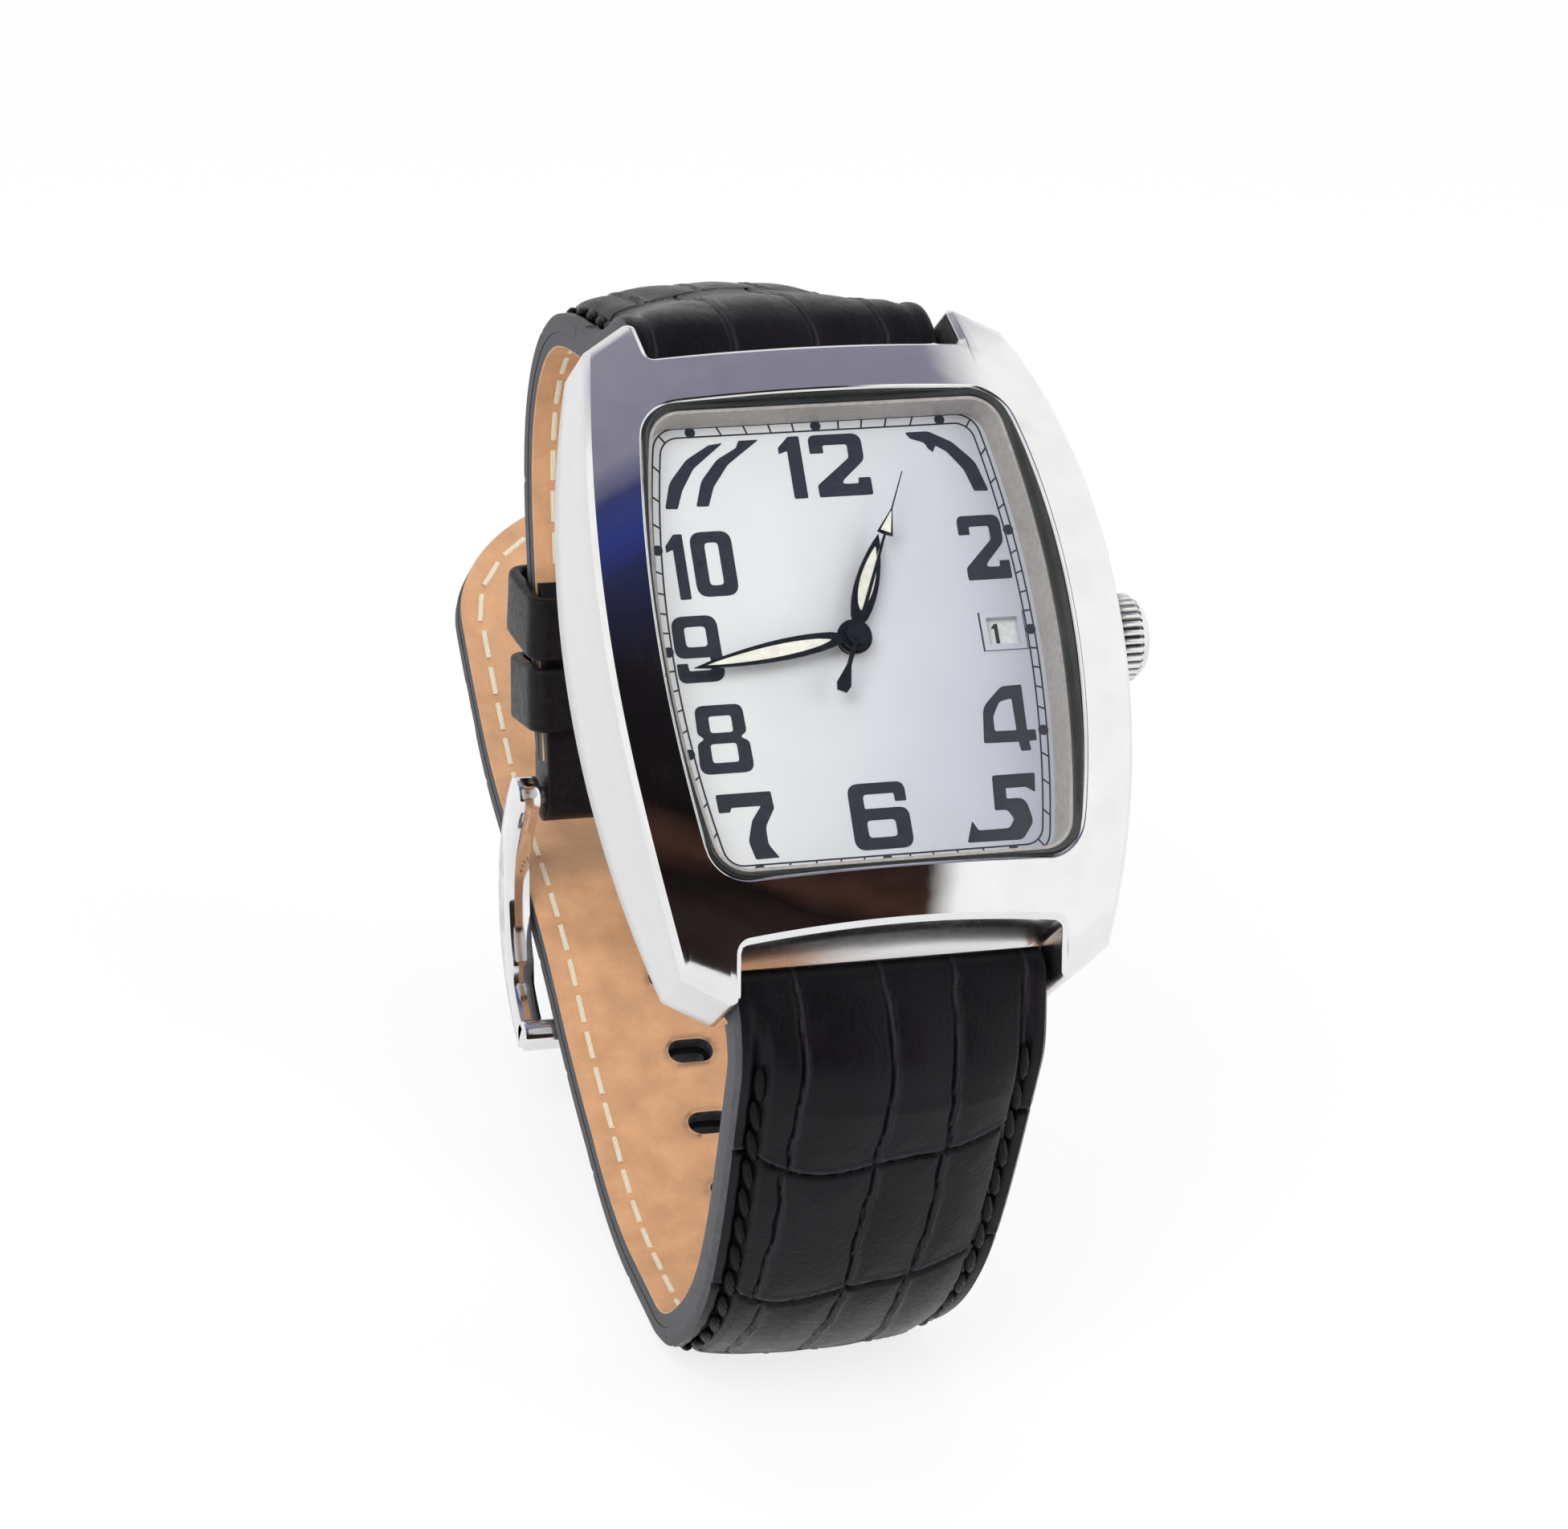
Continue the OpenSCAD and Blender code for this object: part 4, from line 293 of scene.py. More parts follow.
def brushed_steel(name, colour, rough, stretch, turn=(0, 0, 0), fluted=False):
    m = Nodes(name)
    lines = m.noise(m.place(stretch, turn), 1.0, 4.0, 0.65)
    cloud = m.noise(m.place(), 0.22, 3.0)
    tone = m.tone(lines, 0.3, 0.7, 0.86, colour)
    # Painted shade: on the fluted crown the steel darkens to a near-black brown down in the flutes, where the
    # stored crease value is high.
    if fluted:
        tone = m.mix(m.mapped(m.stored("crease").outputs["Fac"], 0.15, 0.8, 0.0, 0.92), tone,
                     (0.05, 0.04, 0.035))
    gloss = m.mapped(m.sum(lines, cloud, "ADD"), 0.7, 1.3, rough * 0.75, rough * 1.3)
    m.surface(tone, gloss, 1.0, m.bump(lines, 0.000012, 0.35))
    return m.mat


def plain_metal(name, colour, rough, grain=3.0):
    m = Nodes(name)
    speck = m.noise(m.place(), grain, 4.0)
    tone = m.tone(speck, 0.35, 0.65, 0.84, colour)
    m.surface(tone, m.mapped(speck, 0.3, 0.7, rough * 0.8, rough * 1.25), 1.0, m.bump(speck, 0.000006, 0.3))
    return m.mat


def circle_grained(name, colour, rough):
    """A plate with rows of overlapping round grain."""
    m = Nodes(name)
    rings = m.cells(m.place(), 0.9)
    waves = m.add("ShaderNodeMath", {0: m.sum(rings, 34.0, "MULTIPLY")}, operation="SINE").outputs[0]
    tone = m.tone(waves, -1.0, 1.0, 0.88, colour)
    m.surface(tone, m.mapped(waves, -1.0, 1.0, rough * 0.8, rough * 1.3), 1.0, m.bump(waves, 0.000004, 0.4))
    return m.mat


def rubber(name, colour):
    m = Nodes(name)
    speck = m.noise(m.place(), 6.0, 2.0)
    m.surface(m.mix(speck, scaled(colour, 0.7), colour), m.mapped(speck, 0.3, 0.7, 0.35, 0.6), 0.0,
              m.bump(speck, 0.00001, 0.3))
    return m.mat


def enamel(name, colour, rough, coat=0.0):
    m = Nodes(name)
    ripple = m.noise(m.place(), 2.2, 3.0)
    tone = m.tone(ripple, 0.35, 0.65, 0.82, colour)
    m.surface(tone, m.mapped(ripple, 0.3, 0.7, rough * 0.8, rough * 1.2), 0.0, m.bump(ripple, 0.00001, 0.2),
              Coat_Weight=coat, Coat_Roughness=0.08)
    return m.mat


def dial_plate(name, colour):
    """Silvered dial: very fine grain, and painted shade that falls soft and blue-grey towards the lower right."""
    m = Nodes(name)
    where = m.place()
    grain = m.noise(where, 14.0, 2.0, 0.7)
    cloud = m.noise(where, 0.12, 2.0)
    middle = m.add("ShaderNodeMapping", {"Vector": m.add("ShaderNodeTexCoord").outputs["Object"],
                                         "Location": tuple(-CENTRE)})
    axes = m.add("ShaderNodeSeparateXYZ", {"Vector": middle.outputs[0]})
    # Painted shade: the plate's colour darkens to a blue-grey towards the lower right, with a cloudy edge.
    slope = m.sum(axes.outputs["X"], m.sum(axes.outputs["Y"], -0.45, "MULTIPLY"))
    low = m.mapped(m.sum(m.sum(slope, 1000.0, "MULTIPLY"), m.sum(cloud, 7.0, "MULTIPLY")), -3.0, 17.0, 0.0,
                   1.0)
    tone = m.mix(low, colour, (colour[0] * 0.60, colour[1] * 0.61, colour[2] * 0.72))
    speckled = m.mix(m.mapped(grain, 0.35, 0.65, 0.0, 0.25), tone, scaled(colour, 0.82))
    m.surface(speckled, m.mapped(grain, 0.3, 0.7, 0.34, 0.55), 0.15, m.bump(grain, 0.000006, 0.35),
              Coat_Weight=0.25, Coat_Roughness=0.3)
    return m.mat


def clear_crystal(name):
    """Clear crystal: rays from lamps pass it, and its faces keep their gloss."""
    m = Nodes(name)
    gloss = m.add("ShaderNodeBsdfGlossy", {"Color": (1, 1, 1, 1), "Roughness": 0.01})
    clear = m.add("ShaderNodeBsdfTransparent", {"Color": (0.99, 0.995, 0.995, 1)})
    slant = m.add("ShaderNodeLayerWeight", {"Blend": 0.5}).outputs["Facing"]
    smear = m.mapped(m.noise(m.place(), 0.5, 2.0), 0.3, 0.7, 0.014, 0.026)
    share = m.sum(smear, m.sum(m.sum(slant, 5.0, "POWER"), 0.7, "MULTIPLY"))
    both = m.add("ShaderNodeMixShader", {0: share, 1: clear.outputs[0], 2: gloss.outputs[0]})
    m.show(both)
    return m.mat


def grained_leather(name, colour):
    """Pressed leather: fine wrinkles over the scales, rougher in the creases, with painted shade in the creases
    and a painted highlight on their rims.
    """
    m = Nodes(name)
    lie = m.stored("strap_place").outputs["Vector"]
    crease = m.stored("crease").outputs["Fac"]
    wrinkle = m.noise(lie, 2.3, 6.0, 0.62)
    pores = m.cells(lie, 3.4)
    fine = m.noise(lie, 9.0, 3.0)
    worn = m.noise(lie, 0.16, 3.0)
    tone = m.tone(worn, 0.35, 0.7, 0.75, colour, 1.5)
    # Painted shade: the leather darkens to a third of its colour down in the creases.
    tone = m.mix(m.mapped(crease, 0.1, 1.0, 0.0, 0.85), tone, scaled(colour, 0.3))
    # Painted highlight: on the creases' rims, where the stored crease value is below zero, the leather lightens up
    # to eight times its colour.
    tone = m.mix(m.mapped(crease, -0.5, -0.05, 0.5, 0.0), tone, scaled(colour, 8))
    rough = m.mapped(m.sum(wrinkle, worn), 0.7, 1.3, 0.24, 0.42)
    rough = m.sum(rough, m.sum(crease, 0.12, "MULTIPLY"))
    first = m.bump(wrinkle, 0.00012, 0.5)
    second = m.bump(pores, 0.00003, 0.25, first)
    m.surface(tone, rough, 0.0, m.bump(fine, 0.00002, 0.3, second), Specular_IOR_Level=0.13)
    return m.mat


def soft_leather(name, colour):
    """The keepers' plain leather, on the piece's own coordinates."""
    m = Nodes(name)
    where = m.place()
    wrinkle = m.noise(where, 1.6, 6.0, 0.6)
    fine = m.cells(where, 5.0)
    tone = m.tone(wrinkle, 0.35, 0.7, 0.7, colour, 1.5)
    m.surface(tone, m.mapped(wrinkle, 0.3, 0.7, 0.30, 0.46), 0.0,
              m.bump(fine, 0.00003, 0.3, m.bump(wrinkle, 0.00008, 0.4)), Specular_IOR_Level=0.15)
    return m.mat


def edge_paint(name, colour):
    m = Nodes(name)
    where = m.place()
    streak = m.noise(where, 1.4, 5.0, 0.7)
    tone = m.tone(streak, 0.3, 0.7, 0.55, colour, 1.7)
    m.surface(tone, m.mapped(streak, 0.3, 0.7, 0.5, 0.8), 0.0, m.bump(streak, 0.00008, 0.5))
    return m.mat


def lining_leather(name, colour):
    """Smooth vegetable-tanned leather with pores and faint mottling, and painted shade that darkens it round the
    holes.
    """
    m = Nodes(name)
    lie = m.stored("strap_place").outputs["Vector"]
    hole_shade = m.stored("hole_shade").outputs["Fac"]
    mottle = m.noise(lie, 0.35, 5.0, 0.6)
    fine = m.noise(lie, 6.0, 4.0, 0.65)
    pores = m.cells(lie, 2.6)
    tone = m.tone(mottle, 0.3, 0.7, 0.80, colour, 1.10)
    tone = m.mix(m.mapped(pores, 0.0, 0.16, 0.45, 0.0), tone, scaled(colour, 0.6))
    # Painted shade: the lining turns near-black round each hole, by the stored mask.
    tone = m.mix(hole_shade, tone, (0.03, 0.018, 0.012))
    m.surface(tone, m.mapped(fine, 0.3, 0.7, 0.42, 0.6), 0.0,
              m.bump(pores, 0.00003, 0.35, m.bump(fine, 0.00004, 0.35)))
    return m.mat


def waxed_thread(name, colour, twisted=0.62):
    m = Nodes(name)
    twist = m.add("ShaderNodeTexWave", {"Vector": m.place((1, 1, 1), (35, 20, 40)), "Scale": 1.4,
                                        "Distortion": 1.5, "Detail": 2.0}).outputs["Fac"]
    tone = m.tone(twist, 0.2, 0.8, twisted, colour)
    m.surface(tone, m.mapped(twist, 0.0, 1.0, 0.55, 0.36), 0.0, m.bump(twist, 0.00006, 0.5),
              Specular_IOR_Level=0.12)
    return m.mat


MATERIALS = {}


def finish_named(name):
    """One material by name, made once from the scene's settings."""
    if name in MATERIALS:
        return MATERIALS[name]
    scene = bpy.context.scene
    steel, dial, strap = scene.watch_steel, scene.watch_dial, scene.watch_strap
    colour = tuple(steel.steel)
    makers = {
        "deck_polish": (polished_steel, colour, steel.polish),
        "flank_satin": (brushed_steel, scaled(colour, 0.98), steel.satin, (30, 1.1, 30)),
        "buckle_polish": (polished_steel, colour, 0.09),
        # The last True puts the painted shade in the crown's flutes.
        "crown_steel": (brushed_steel, colour, 0.16, (1.0, 24, 24), (0, 0, 0), True),
        "back_brushed": (brushed_steel, scaled(colour, 0.9), 0.30, (1.2, 26, 26), (0, 0, 12)),
        "tube_steel": (plain_metal, (0.62, 0.62, 0.63), 0.25),
        "screw_blue": (plain_metal, (0.10, 0.14, 0.32), 0.22),
        "black_rubber": (rubber, (0.020, 0.024, 0.021)),
        "ring_enamel": (enamel, dial.ring, 0.38),
        "hand_enamel": (enamel, dial.hand, 0.22, 0.6),
        "inlay_cream": (enamel, dial.lume, 0.6),
        "print_ink": (enamel, dial.ink, 0.45),
        "date_white": (enamel, (0.74, 0.75, 0.73), 0.5),
        "dial_plate": (dial_plate, dial.silver),
        "nickel_plate": (circle_grained, (0.70, 0.69, 0.66), 0.24),
        "gilt_brass": (plain_metal, (0.80, 0.61, 0.28), 0.22),
        "rotor_metal": (brushed_steel, (0.72, 0.70, 0.66), 0.28, (0.9, 18, 18)),
        "spring_steel": (plain_metal, (0.42, 0.45, 0.52), 0.2),
        "black_leather": (grained_leather, strap.leather),
        "keeper_leather": (soft_leather, strap.leather),
        "edge_paint": (edge_paint, strap.edge),
        "tan_lining": (lining_leather, strap.lining),
        "black_thread": (waxed_thread, strap.thread),
        "cream_thread": (waxed_thread, strap.inner_thread, 0.9),
        "clear_crystal": (clear_crystal,),
    }
    maker, *values = makers[name]
    MATERIALS[name] = maker(name, *values)
    return MATERIALS[name]


# ---------------------------------------------------------------- mesh helpers
def linked(name, data):
    """A new object in the scene's own collection."""
    thing = bpy.data.objects.new(name, data)
    bpy.context.scene.collection.objects.link(thing)
    return thing


def made_mesh(thing):
    """What an object's modifiers or curve make, as a mesh of its own."""
    bpy.context.view_layer.update()
    return bpy.data.meshes.new_from_object(thing.evaluated_get(bpy.context.evaluated_depsgraph_get()))


def turned_out(mesh, merge=None):
    """Turns a closed mesh's faces outward, after merging points that lie together."""
    work = bmesh.new()
    work.from_mesh(mesh)
    if merge:
        bmesh.ops.remove_doubles(work, verts=work.verts, dist=merge)
    bmesh.ops.recalc_face_normals(work, faces=work.faces)
    work.to_mesh(mesh)
    work.free()


def new_piece(name, points, faces, finishes, sharp=32.0, own=None):
    """A mesh from points in millimetres of the watch's frame; closed shells get their faces turned out."""
    mesh = bpy.data.meshes.new(name)
    mesh.from_pydata(placed(points).tolist(), [], [tuple(f) for f in faces])
    for finish in finishes:
        mesh.materials.append(finish_named(finish))
    if own is not None:
        mesh.polygons.foreach_set("material_index", np.asarray(own, np.int32))
    turned_out(mesh)
    mesh.polygons.foreach_set("use_smooth", [True] * len(mesh.polygons))
    mesh.set_sharp_from_angle(angle=math.radians(sharp))
    return linked(name, mesh)


def settle(piece, body, slot, *nodes):
    """Lets a piece ride on its body and stand for its CAD nodes, which it hides; its slot is not used."""
    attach(piece, body)
    if nodes:
        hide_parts(*nodes)
    return piece


def grid_faces(rows, cols, wrap_rows=False, wrap_cols=True, start=0):
    """Quads between rows of points, each row closed into a ring if wrap_cols is set."""
    r = np.arange(rows if wrap_rows else rows - 1)[:, None]
    c = np.arange(cols if wrap_cols else cols - 1)[None, :]
    r2, c2 = (r + 1) % rows, (c + 1) % cols
    quads = np.stack([r * cols + c, r * cols + c2, r2 * cols + c2, r2 * cols + c], -1)
    return (quads.reshape(-1, 4) + start).tolist()


def loft(rings, loop=False, tip=None):
    """Points and faces through rings of equal numbers of points, looped, capped or drawn to a tip."""
    rings = np.asarray(rings, float)
    rows, cols = rings.shape[:2]
    points = rings.reshape(-1, 3).tolist()
    faces = grid_faces(rows, cols, wrap_rows=loop)
    if not loop:
        faces.append(list(range(cols))[::-1])
        if tip is None:
            faces.append([(rows - 1) * cols + i for i in range(cols)])
        else:
            points.append(list(tip))
            faces += [[(rows - 1) * cols + i, (rows - 1) * cols + (i + 1) % cols, len(points) - 1]
                      for i in range(cols)]
    return points, faces


def joined(parts):
    """Several point-and-face lists as one."""
    points, faces = [], []
    for p, f in parts:
        start = len(points)
        points += [list(q) for q in p]
        faces += [[i + start for i in face] for face in f]
    return points, faces


def prism(outline, z0, z1):
    return loft([at_z(np.asarray(outline, float), z) for z in (z0, z1)])


def rounded(corners, steps=6):
    """A closed outline through corners (x, y, radius), each turned with its own radius."""
    out, count = [], len(corners)
    for i, (x, y, r) in enumerate(corners):
        here = np.array((x, y))
        a = np.array(corners[i - 1][:2]) - here
        b = np.array(corners[(i + 1) % count][:2]) - here
        la, lb = np.linalg.norm(a), np.linalg.norm(b)
        a, b = a / la, b / lb
        half = math.acos(max(-1.0, min(1.0, float(a @ b)))) / 2
        reach = min(r / max(math.tan(half), 1e-3), 0.48 * la, 0.48 * lb)
        if r <= 0 or half > 1.55:
            out.append(here)
            continue
        p, q = here + a * reach, here + b * reach
        for k in range(steps + 1):
            t = k / steps
            out.append((1 - t) ** 2 * p + 2 * t * (1 - t) * here + t * t * q)
    return np.array(out)


def flat_print(name, glyphs, z, height, finish):
    """Filled outlines with their holes as one thin mesh: a glyph is a list of outlines."""
    curve = bpy.data.curves.new(name, "CURVE")
    curve.dimensions = "2D"
    curve.fill_mode = "BOTH"
    curve.extrude = height / MM / 2
    for glyph in glyphs:
        for outline in glyph:
            spline = curve.splines.new("POLY")
            spline.points.add(len(outline) - 1)
            for point, (x, y) in zip(spline.points, outline):
                point.co = (x, y, 0, 1)
            spline.use_cyclic_u = True
    return curve_piece(name, curve, z + height / MM / 2, finish)


def curve_piece(name, curve, z, finish):
    """A flat curve or text made into a mesh first, then laid on the dial at a height."""
    maker = linked(name + "_outline", curve)
    shape = made_mesh(maker)
    bpy.data.objects.remove(maker)
    shape.transform(placing() @ Matrix.Translation((0, 0, z)))
    shape.name = name
    shape.materials.clear()
    shape.materials.append(finish_named(finish))
    turned_out(shape, 1e-8)
    return linked(name, shape)


# ---------------------------------------------------------------- Geometry Nodes
UNITS = {"stitch": ("GeometryNodeMeshUVSphere", {"Segments": 8, "Rings": 6, "Radius": 0.5}),
         "dot": ("GeometryNodeMeshCylinder", {"Vertices": 28, "Radius": 0.5, "Depth": 1.0}),
         "dash": ("GeometryNodeMeshCylinder", {"Vertices": 10, "Radius": 0.5, "Depth": 1.0}),
         "mark": ("GeometryNodeMeshCube", {})}


def repeat_tree(name, shape):
    """Copies of one small shape at every point, turned by the points' stored directions."""
    tree = bpy.data.node_groups.new(name, "GeometryNodeTree")
    ids = {}
    for label, kind, value in (("Route", "Geometry", None), ("Length", "Float", 0.002),
                               ("Width", "Float", 0.0003), ("Height", "Float", 0.0003),
                               ("Finish", "Material", None)):
        socket = tree.interface.new_socket(label, in_out="INPUT", socket_type="NodeSocket" + kind)
        if value is not None:
            socket.default_value = value
        ids[label] = socket.identifier
    tree.interface.new_socket("Geometry", in_out="OUTPUT", socket_type="NodeSocketGeometry")

    def node(kind, inputs=None, **fields):
        made = tree.nodes.new(kind)
        for key, value in fields.items():
            setattr(made, key, value)
        for key, value in (inputs or {}).items():
            if isinstance(value, bpy.types.NodeSocket):
                tree.links.new(value, made.inputs[key])
            else:
                made.inputs[key].default_value = value
        return made

    def stored(key):
        return node("GeometryNodeInputNamedAttribute", {"Name": key},
                    data_type="FLOAT_VECTOR").outputs["Attribute"]

    entry = node("NodeGroupInput").outputs
    size = node("ShaderNodeCombineXYZ", {"X": entry["Length"], "Y": entry["Width"], "Z": entry["Height"]})
    kind, measures = UNITS[shape]
    lie = node("GeometryNodeTransform", {"Geometry": node(kind, measures).outputs["Mesh"],
                                         "Rotation": (0.0, math.pi / 2 if shape == "dash" else 0.0, 0.0)})
    first = node("FunctionNodeAlignEulerToVector", {"Vector": stored("along")}, axis="X")
    second = node("FunctionNodeAlignEulerToVector",
                  {"Rotation": first.outputs["Rotation"], "Vector": stored("up")}, axis="Z", pivot_axis="X")
    points = node("GeometryNodeMeshToPoints", {"Mesh": entry["Route"]})
    place = node("GeometryNodeInstanceOnPoints",
                 {"Points": points.outputs["Points"], "Instance": lie.outputs["Geometry"],
                  "Rotation": second.outputs["Rotation"], "Scale": size.outputs["Vector"]})
    real = node("GeometryNodeRealizeInstances", {"Geometry": place.outputs["Instances"]})
    smooth = node("GeometryNodeSetShadeSmooth", {"Geometry": real.outputs["Geometry"],
                                                 "Shade Smooth": shape == "stitch"})
    paint = node("GeometryNodeSetMaterial", {"Geometry": smooth.outputs["Geometry"],
                                             "Material": entry["Finish"]})
    node("NodeGroupOutput", {"Geometry": paint.outputs["Geometry"]})
    return tree, ids


def repeated(name, shape, points, along, up, size, finish):
    """A plain mesh of one shape repeated at points; along and up say how each lies, size is in metres."""
    route = bpy.data.meshes.new(name + "_route")
    route.from_pydata(placed(points).tolist(), [], [])
    for key, vectors in (("along", along), ("up", up)):
        turned = placed(vectors) - placed([[0, 0, 0]])
        turned /= np.linalg.norm(turned, axis=1)[:, None]
        route.attributes.new(key, "FLOAT_VECTOR", "POINT").data.foreach_set("vector", turned.ravel())
    maker = linked(name + "_maker", route)
    tree, ids = repeat_tree(name + "_tree", shape)
    modifier = maker.modifiers.new("repeat", "NODES")
    modifier.node_group = tree
    modifier[ids["Length"]], modifier[ids["Width"]], modifier[ids["Height"]] = size
    modifier[ids["Finish"]] = finish_named(finish)
    mesh = made_mesh(maker)
    mesh.name = name
    maker.modifiers.clear()
    bpy.data.objects.remove(maker)
    for key in ("along", "up"):
        if key in mesh.attributes:
            mesh.attributes.remove(mesh.attributes[key])
    return linked(name, mesh)


# ---------------------------------------------------------------- outlines of the case
SIDE_N, TIP_N, FILLET_N, WALL_N = 34, 8, 7, 14
SIDE_A = math.degrees(math.asin(SHOULDER_Y / SIDE_R))
END_D = np.array((SHOULDER_HW, SHOULDER_Y)) - TIP_C
END_A = math.degrees(math.atan2(END_D[1], END_D[0]) + math.acos(TIP_R / np.linalg.norm(END_D)))


def whole(quarter):
    """A quarter of an outline, from +x round to +y, mirrored into the whole."""
    q = np.array(quarter)
    return np.concatenate([q, q[-2::-1] * (-1, 1), q[1:] * (-1, -1), q[-2:0:-1] * (1, -1)])


def case_outline(o):
    side = [np.array((SIDE_CX, 0)) + (SIDE_R + o) * ahead(SIDE_A * i / SIDE_N) for i in range(SIDE_N)]
    shoulder = [np.array((SHOULDER_HW, SHOULDER_Y))
                + o / math.cos(math.radians((END_A - SIDE_A) / 2)) * ahead((END_A + SIDE_A) / 2)]
    tip = [TIP_C + (TIP_R + o) * ahead(END_A + (180 - END_A) * i / TIP_N) for i in range(TIP_N + 1)]
    corner = np.array((LUG_HW - FILLET, END_WALL + FILLET))
    fillet = [corner + (FILLET - o) * ahead(-90 * i / FILLET_N) for i in range(FILLET_N + 1)]
    wall = [np.array((corner[0] * f, END_WALL + o - 0.25 * (1 - f * f)))
            for f in (1 - i / WALL_N for i in range(1, WALL_N + 1))]
    return whole(side + shoulder + tip + fillet + wall)


def tonneau(hw, hh, cr):
    sr = SIDE_R - (CASE_HW - hw)
    sx, cy = hw - sr, hh - cr
    cx = sx + math.sqrt((sr - cr) ** 2 - cy * cy)
    a = math.degrees(math.atan2(cy, cx - sx))
    turns = ([0.0] + [0.15 + 0.47 * i / TIP_N for i in range(TIP_N + 1)]
             + [0.68 + 0.32 * i / FILLET_N for i in range(FILLET_N + 1)])
    side = [np.array((sx, 0)) + sr * ahead(a * i / SIDE_N) for i in range(SIDE_N)]
    corner = [np.array((cx, cy)) + cr * ahead(a + (90 - a) * f) for f in turns]
    end = [np.array((cx * (1 - i / WALL_N), hh)) for i in range(1, WALL_N + 1)]
    return whole(side + corner + end)


def window(o):
    return tonneau(WINDOW_HW + o, WINDOW_HH + o, WINDOW_R + o)


def lip(o):
    return tonneau(WINDOW_HW - LEDGE + o, WINDOW_HH - LEDGE + o, WINDOW_R - LEDGE + o)


def at_z(ring, z):
    return np.c_[ring, np.full(len(ring), z)]


def on_deck(ring, drop):
    return np.c_[ring, deck_z(ring[:, 0], ring[:, 1]) - drop]


def build_case():
    """The case middle: one smooth shell with satin flanks, a polished bevel and a polished deck."""
    flank, edge, brow = case_outline(0.0), case_outline(-BEVEL), window(BROW)
    pocket = tonneau(WINDOW_HW - LEDGE + 0.35, WINDOW_HH - LEDGE + 0.6, WINDOW_R)
    rings = [at_z(case_outline(-0.22), -FLANK_DROP), at_z(case_outline(-0.06), -FLANK_DROP + 0.06),
             at_z(flank, -FLANK_DROP + 0.22)]
    top = on_deck(flank, BEVEL + 0.05)
    for f in (0.25, 0.5, 0.75):
        rings.append(at_z(flank, 0) * (1, 1, 0) + np.c_[np.zeros((len(flank), 2)),
                     (-FLANK_DROP + 0.22) * (1 - f) + top[:, 2] * f])
    satin = len(rings)
    rings += [top, on_deck(case_outline(-0.03), BEVEL - 0.03), on_deck(case_outline(-BEVEL + 0.04), 0.035),
              on_deck(edge, 0.0)]
    rings += [on_deck(edge + f * (brow - edge), 0.0) for f in (0.06, 0.14, 0.24, 0.36, 0.5, 0.64, 0.76,
                                                             0.86, 0.94)]
    rings += [on_deck(brow, 0.0), on_deck(window(BROW * 0.75), 0.03), on_deck(window(BROW * 0.3), BROW * 0.6),
              on_deck(window(0), BROW), at_z(window(0), HAND_ROOM), at_z(lip(0), HAND_ROOM), at_z(lip(0), 0),
              at_z(pocket, 0), at_z(pocket, -FLANK_DROP)]
    points, faces = loft(rings, loop=True)
    cols = len(flank)
    own = [0 if (i // cols) < satin else 1 for i in range(len(faces))]
    case = new_piece("watch_case", points, faces, ("flank_satin", "deck_polish"), 24.0, own)
    return settle(case, "case", "case_steel", "case_middle")


def build_ring():
    """The sloping ring between the dial and the crystal."""
    top = HAND_ROOM - 0.05
    outer, inner_top = lip(-0.03), lip(-0.25)
    inner = tonneau(OPEN_HW, OPEN_HH, WINDOW_R - 1.2)
    middle = [at_z(inner_top + f * (inner - inner_top), top - f * (top - 0.02)) for f in (0.0, 0.05, 0.5,
                                                                                          0.95, 1.0)]
    points, faces = loft([at_z(outer, 0.02), at_z(outer, top)] + middle, loop=True)
    return settle(new_piece("dial_flange", points, faces, ("ring_enamel",), 30.0), "case", "ring_beige",
                  "dial_ring")


def build_crystal():
    """The domed crystal with its polished edge."""
    gap = GASKET + 0.04
    hw, hh = WINDOW_HW - gap, WINDOW_HH - gap
    fall_x = (CRYSTAL_H - deck_z(WINDOW_HW, 0) - 0.08) / hw ** 2
    fall_y = (CRYSTAL_H - deck_z(0, WINDOW_HH) - 0.08) / hh ** 2

    def dome(ring, drop):
        return np.c_[ring, CRYSTAL_H - fall_x * ring[:, 0] ** 2 - fall_y * ring[:, 1] ** 2 - drop]

    edge, inner = window(-gap), window(-gap - 0.12)
    rings = [at_z(edge, HAND_ROOM + gap), dome(edge, 0.12), dome(window(-gap - 0.05), 0.03), dome(inner, 0.0)]
    rings += [dome(f * inner, 0.0) for f in (0.93, 0.84, 0.72, 0.58, 0.44, 0.3, 0.16, 0.06)]
    points, faces = loft(rings, tip=(0, 0, CRYSTAL_H))
    return settle(new_piece("domed_crystal", points, faces, ("clear_crystal",), 40.0), "case", "sapphire",
                  "crystal")


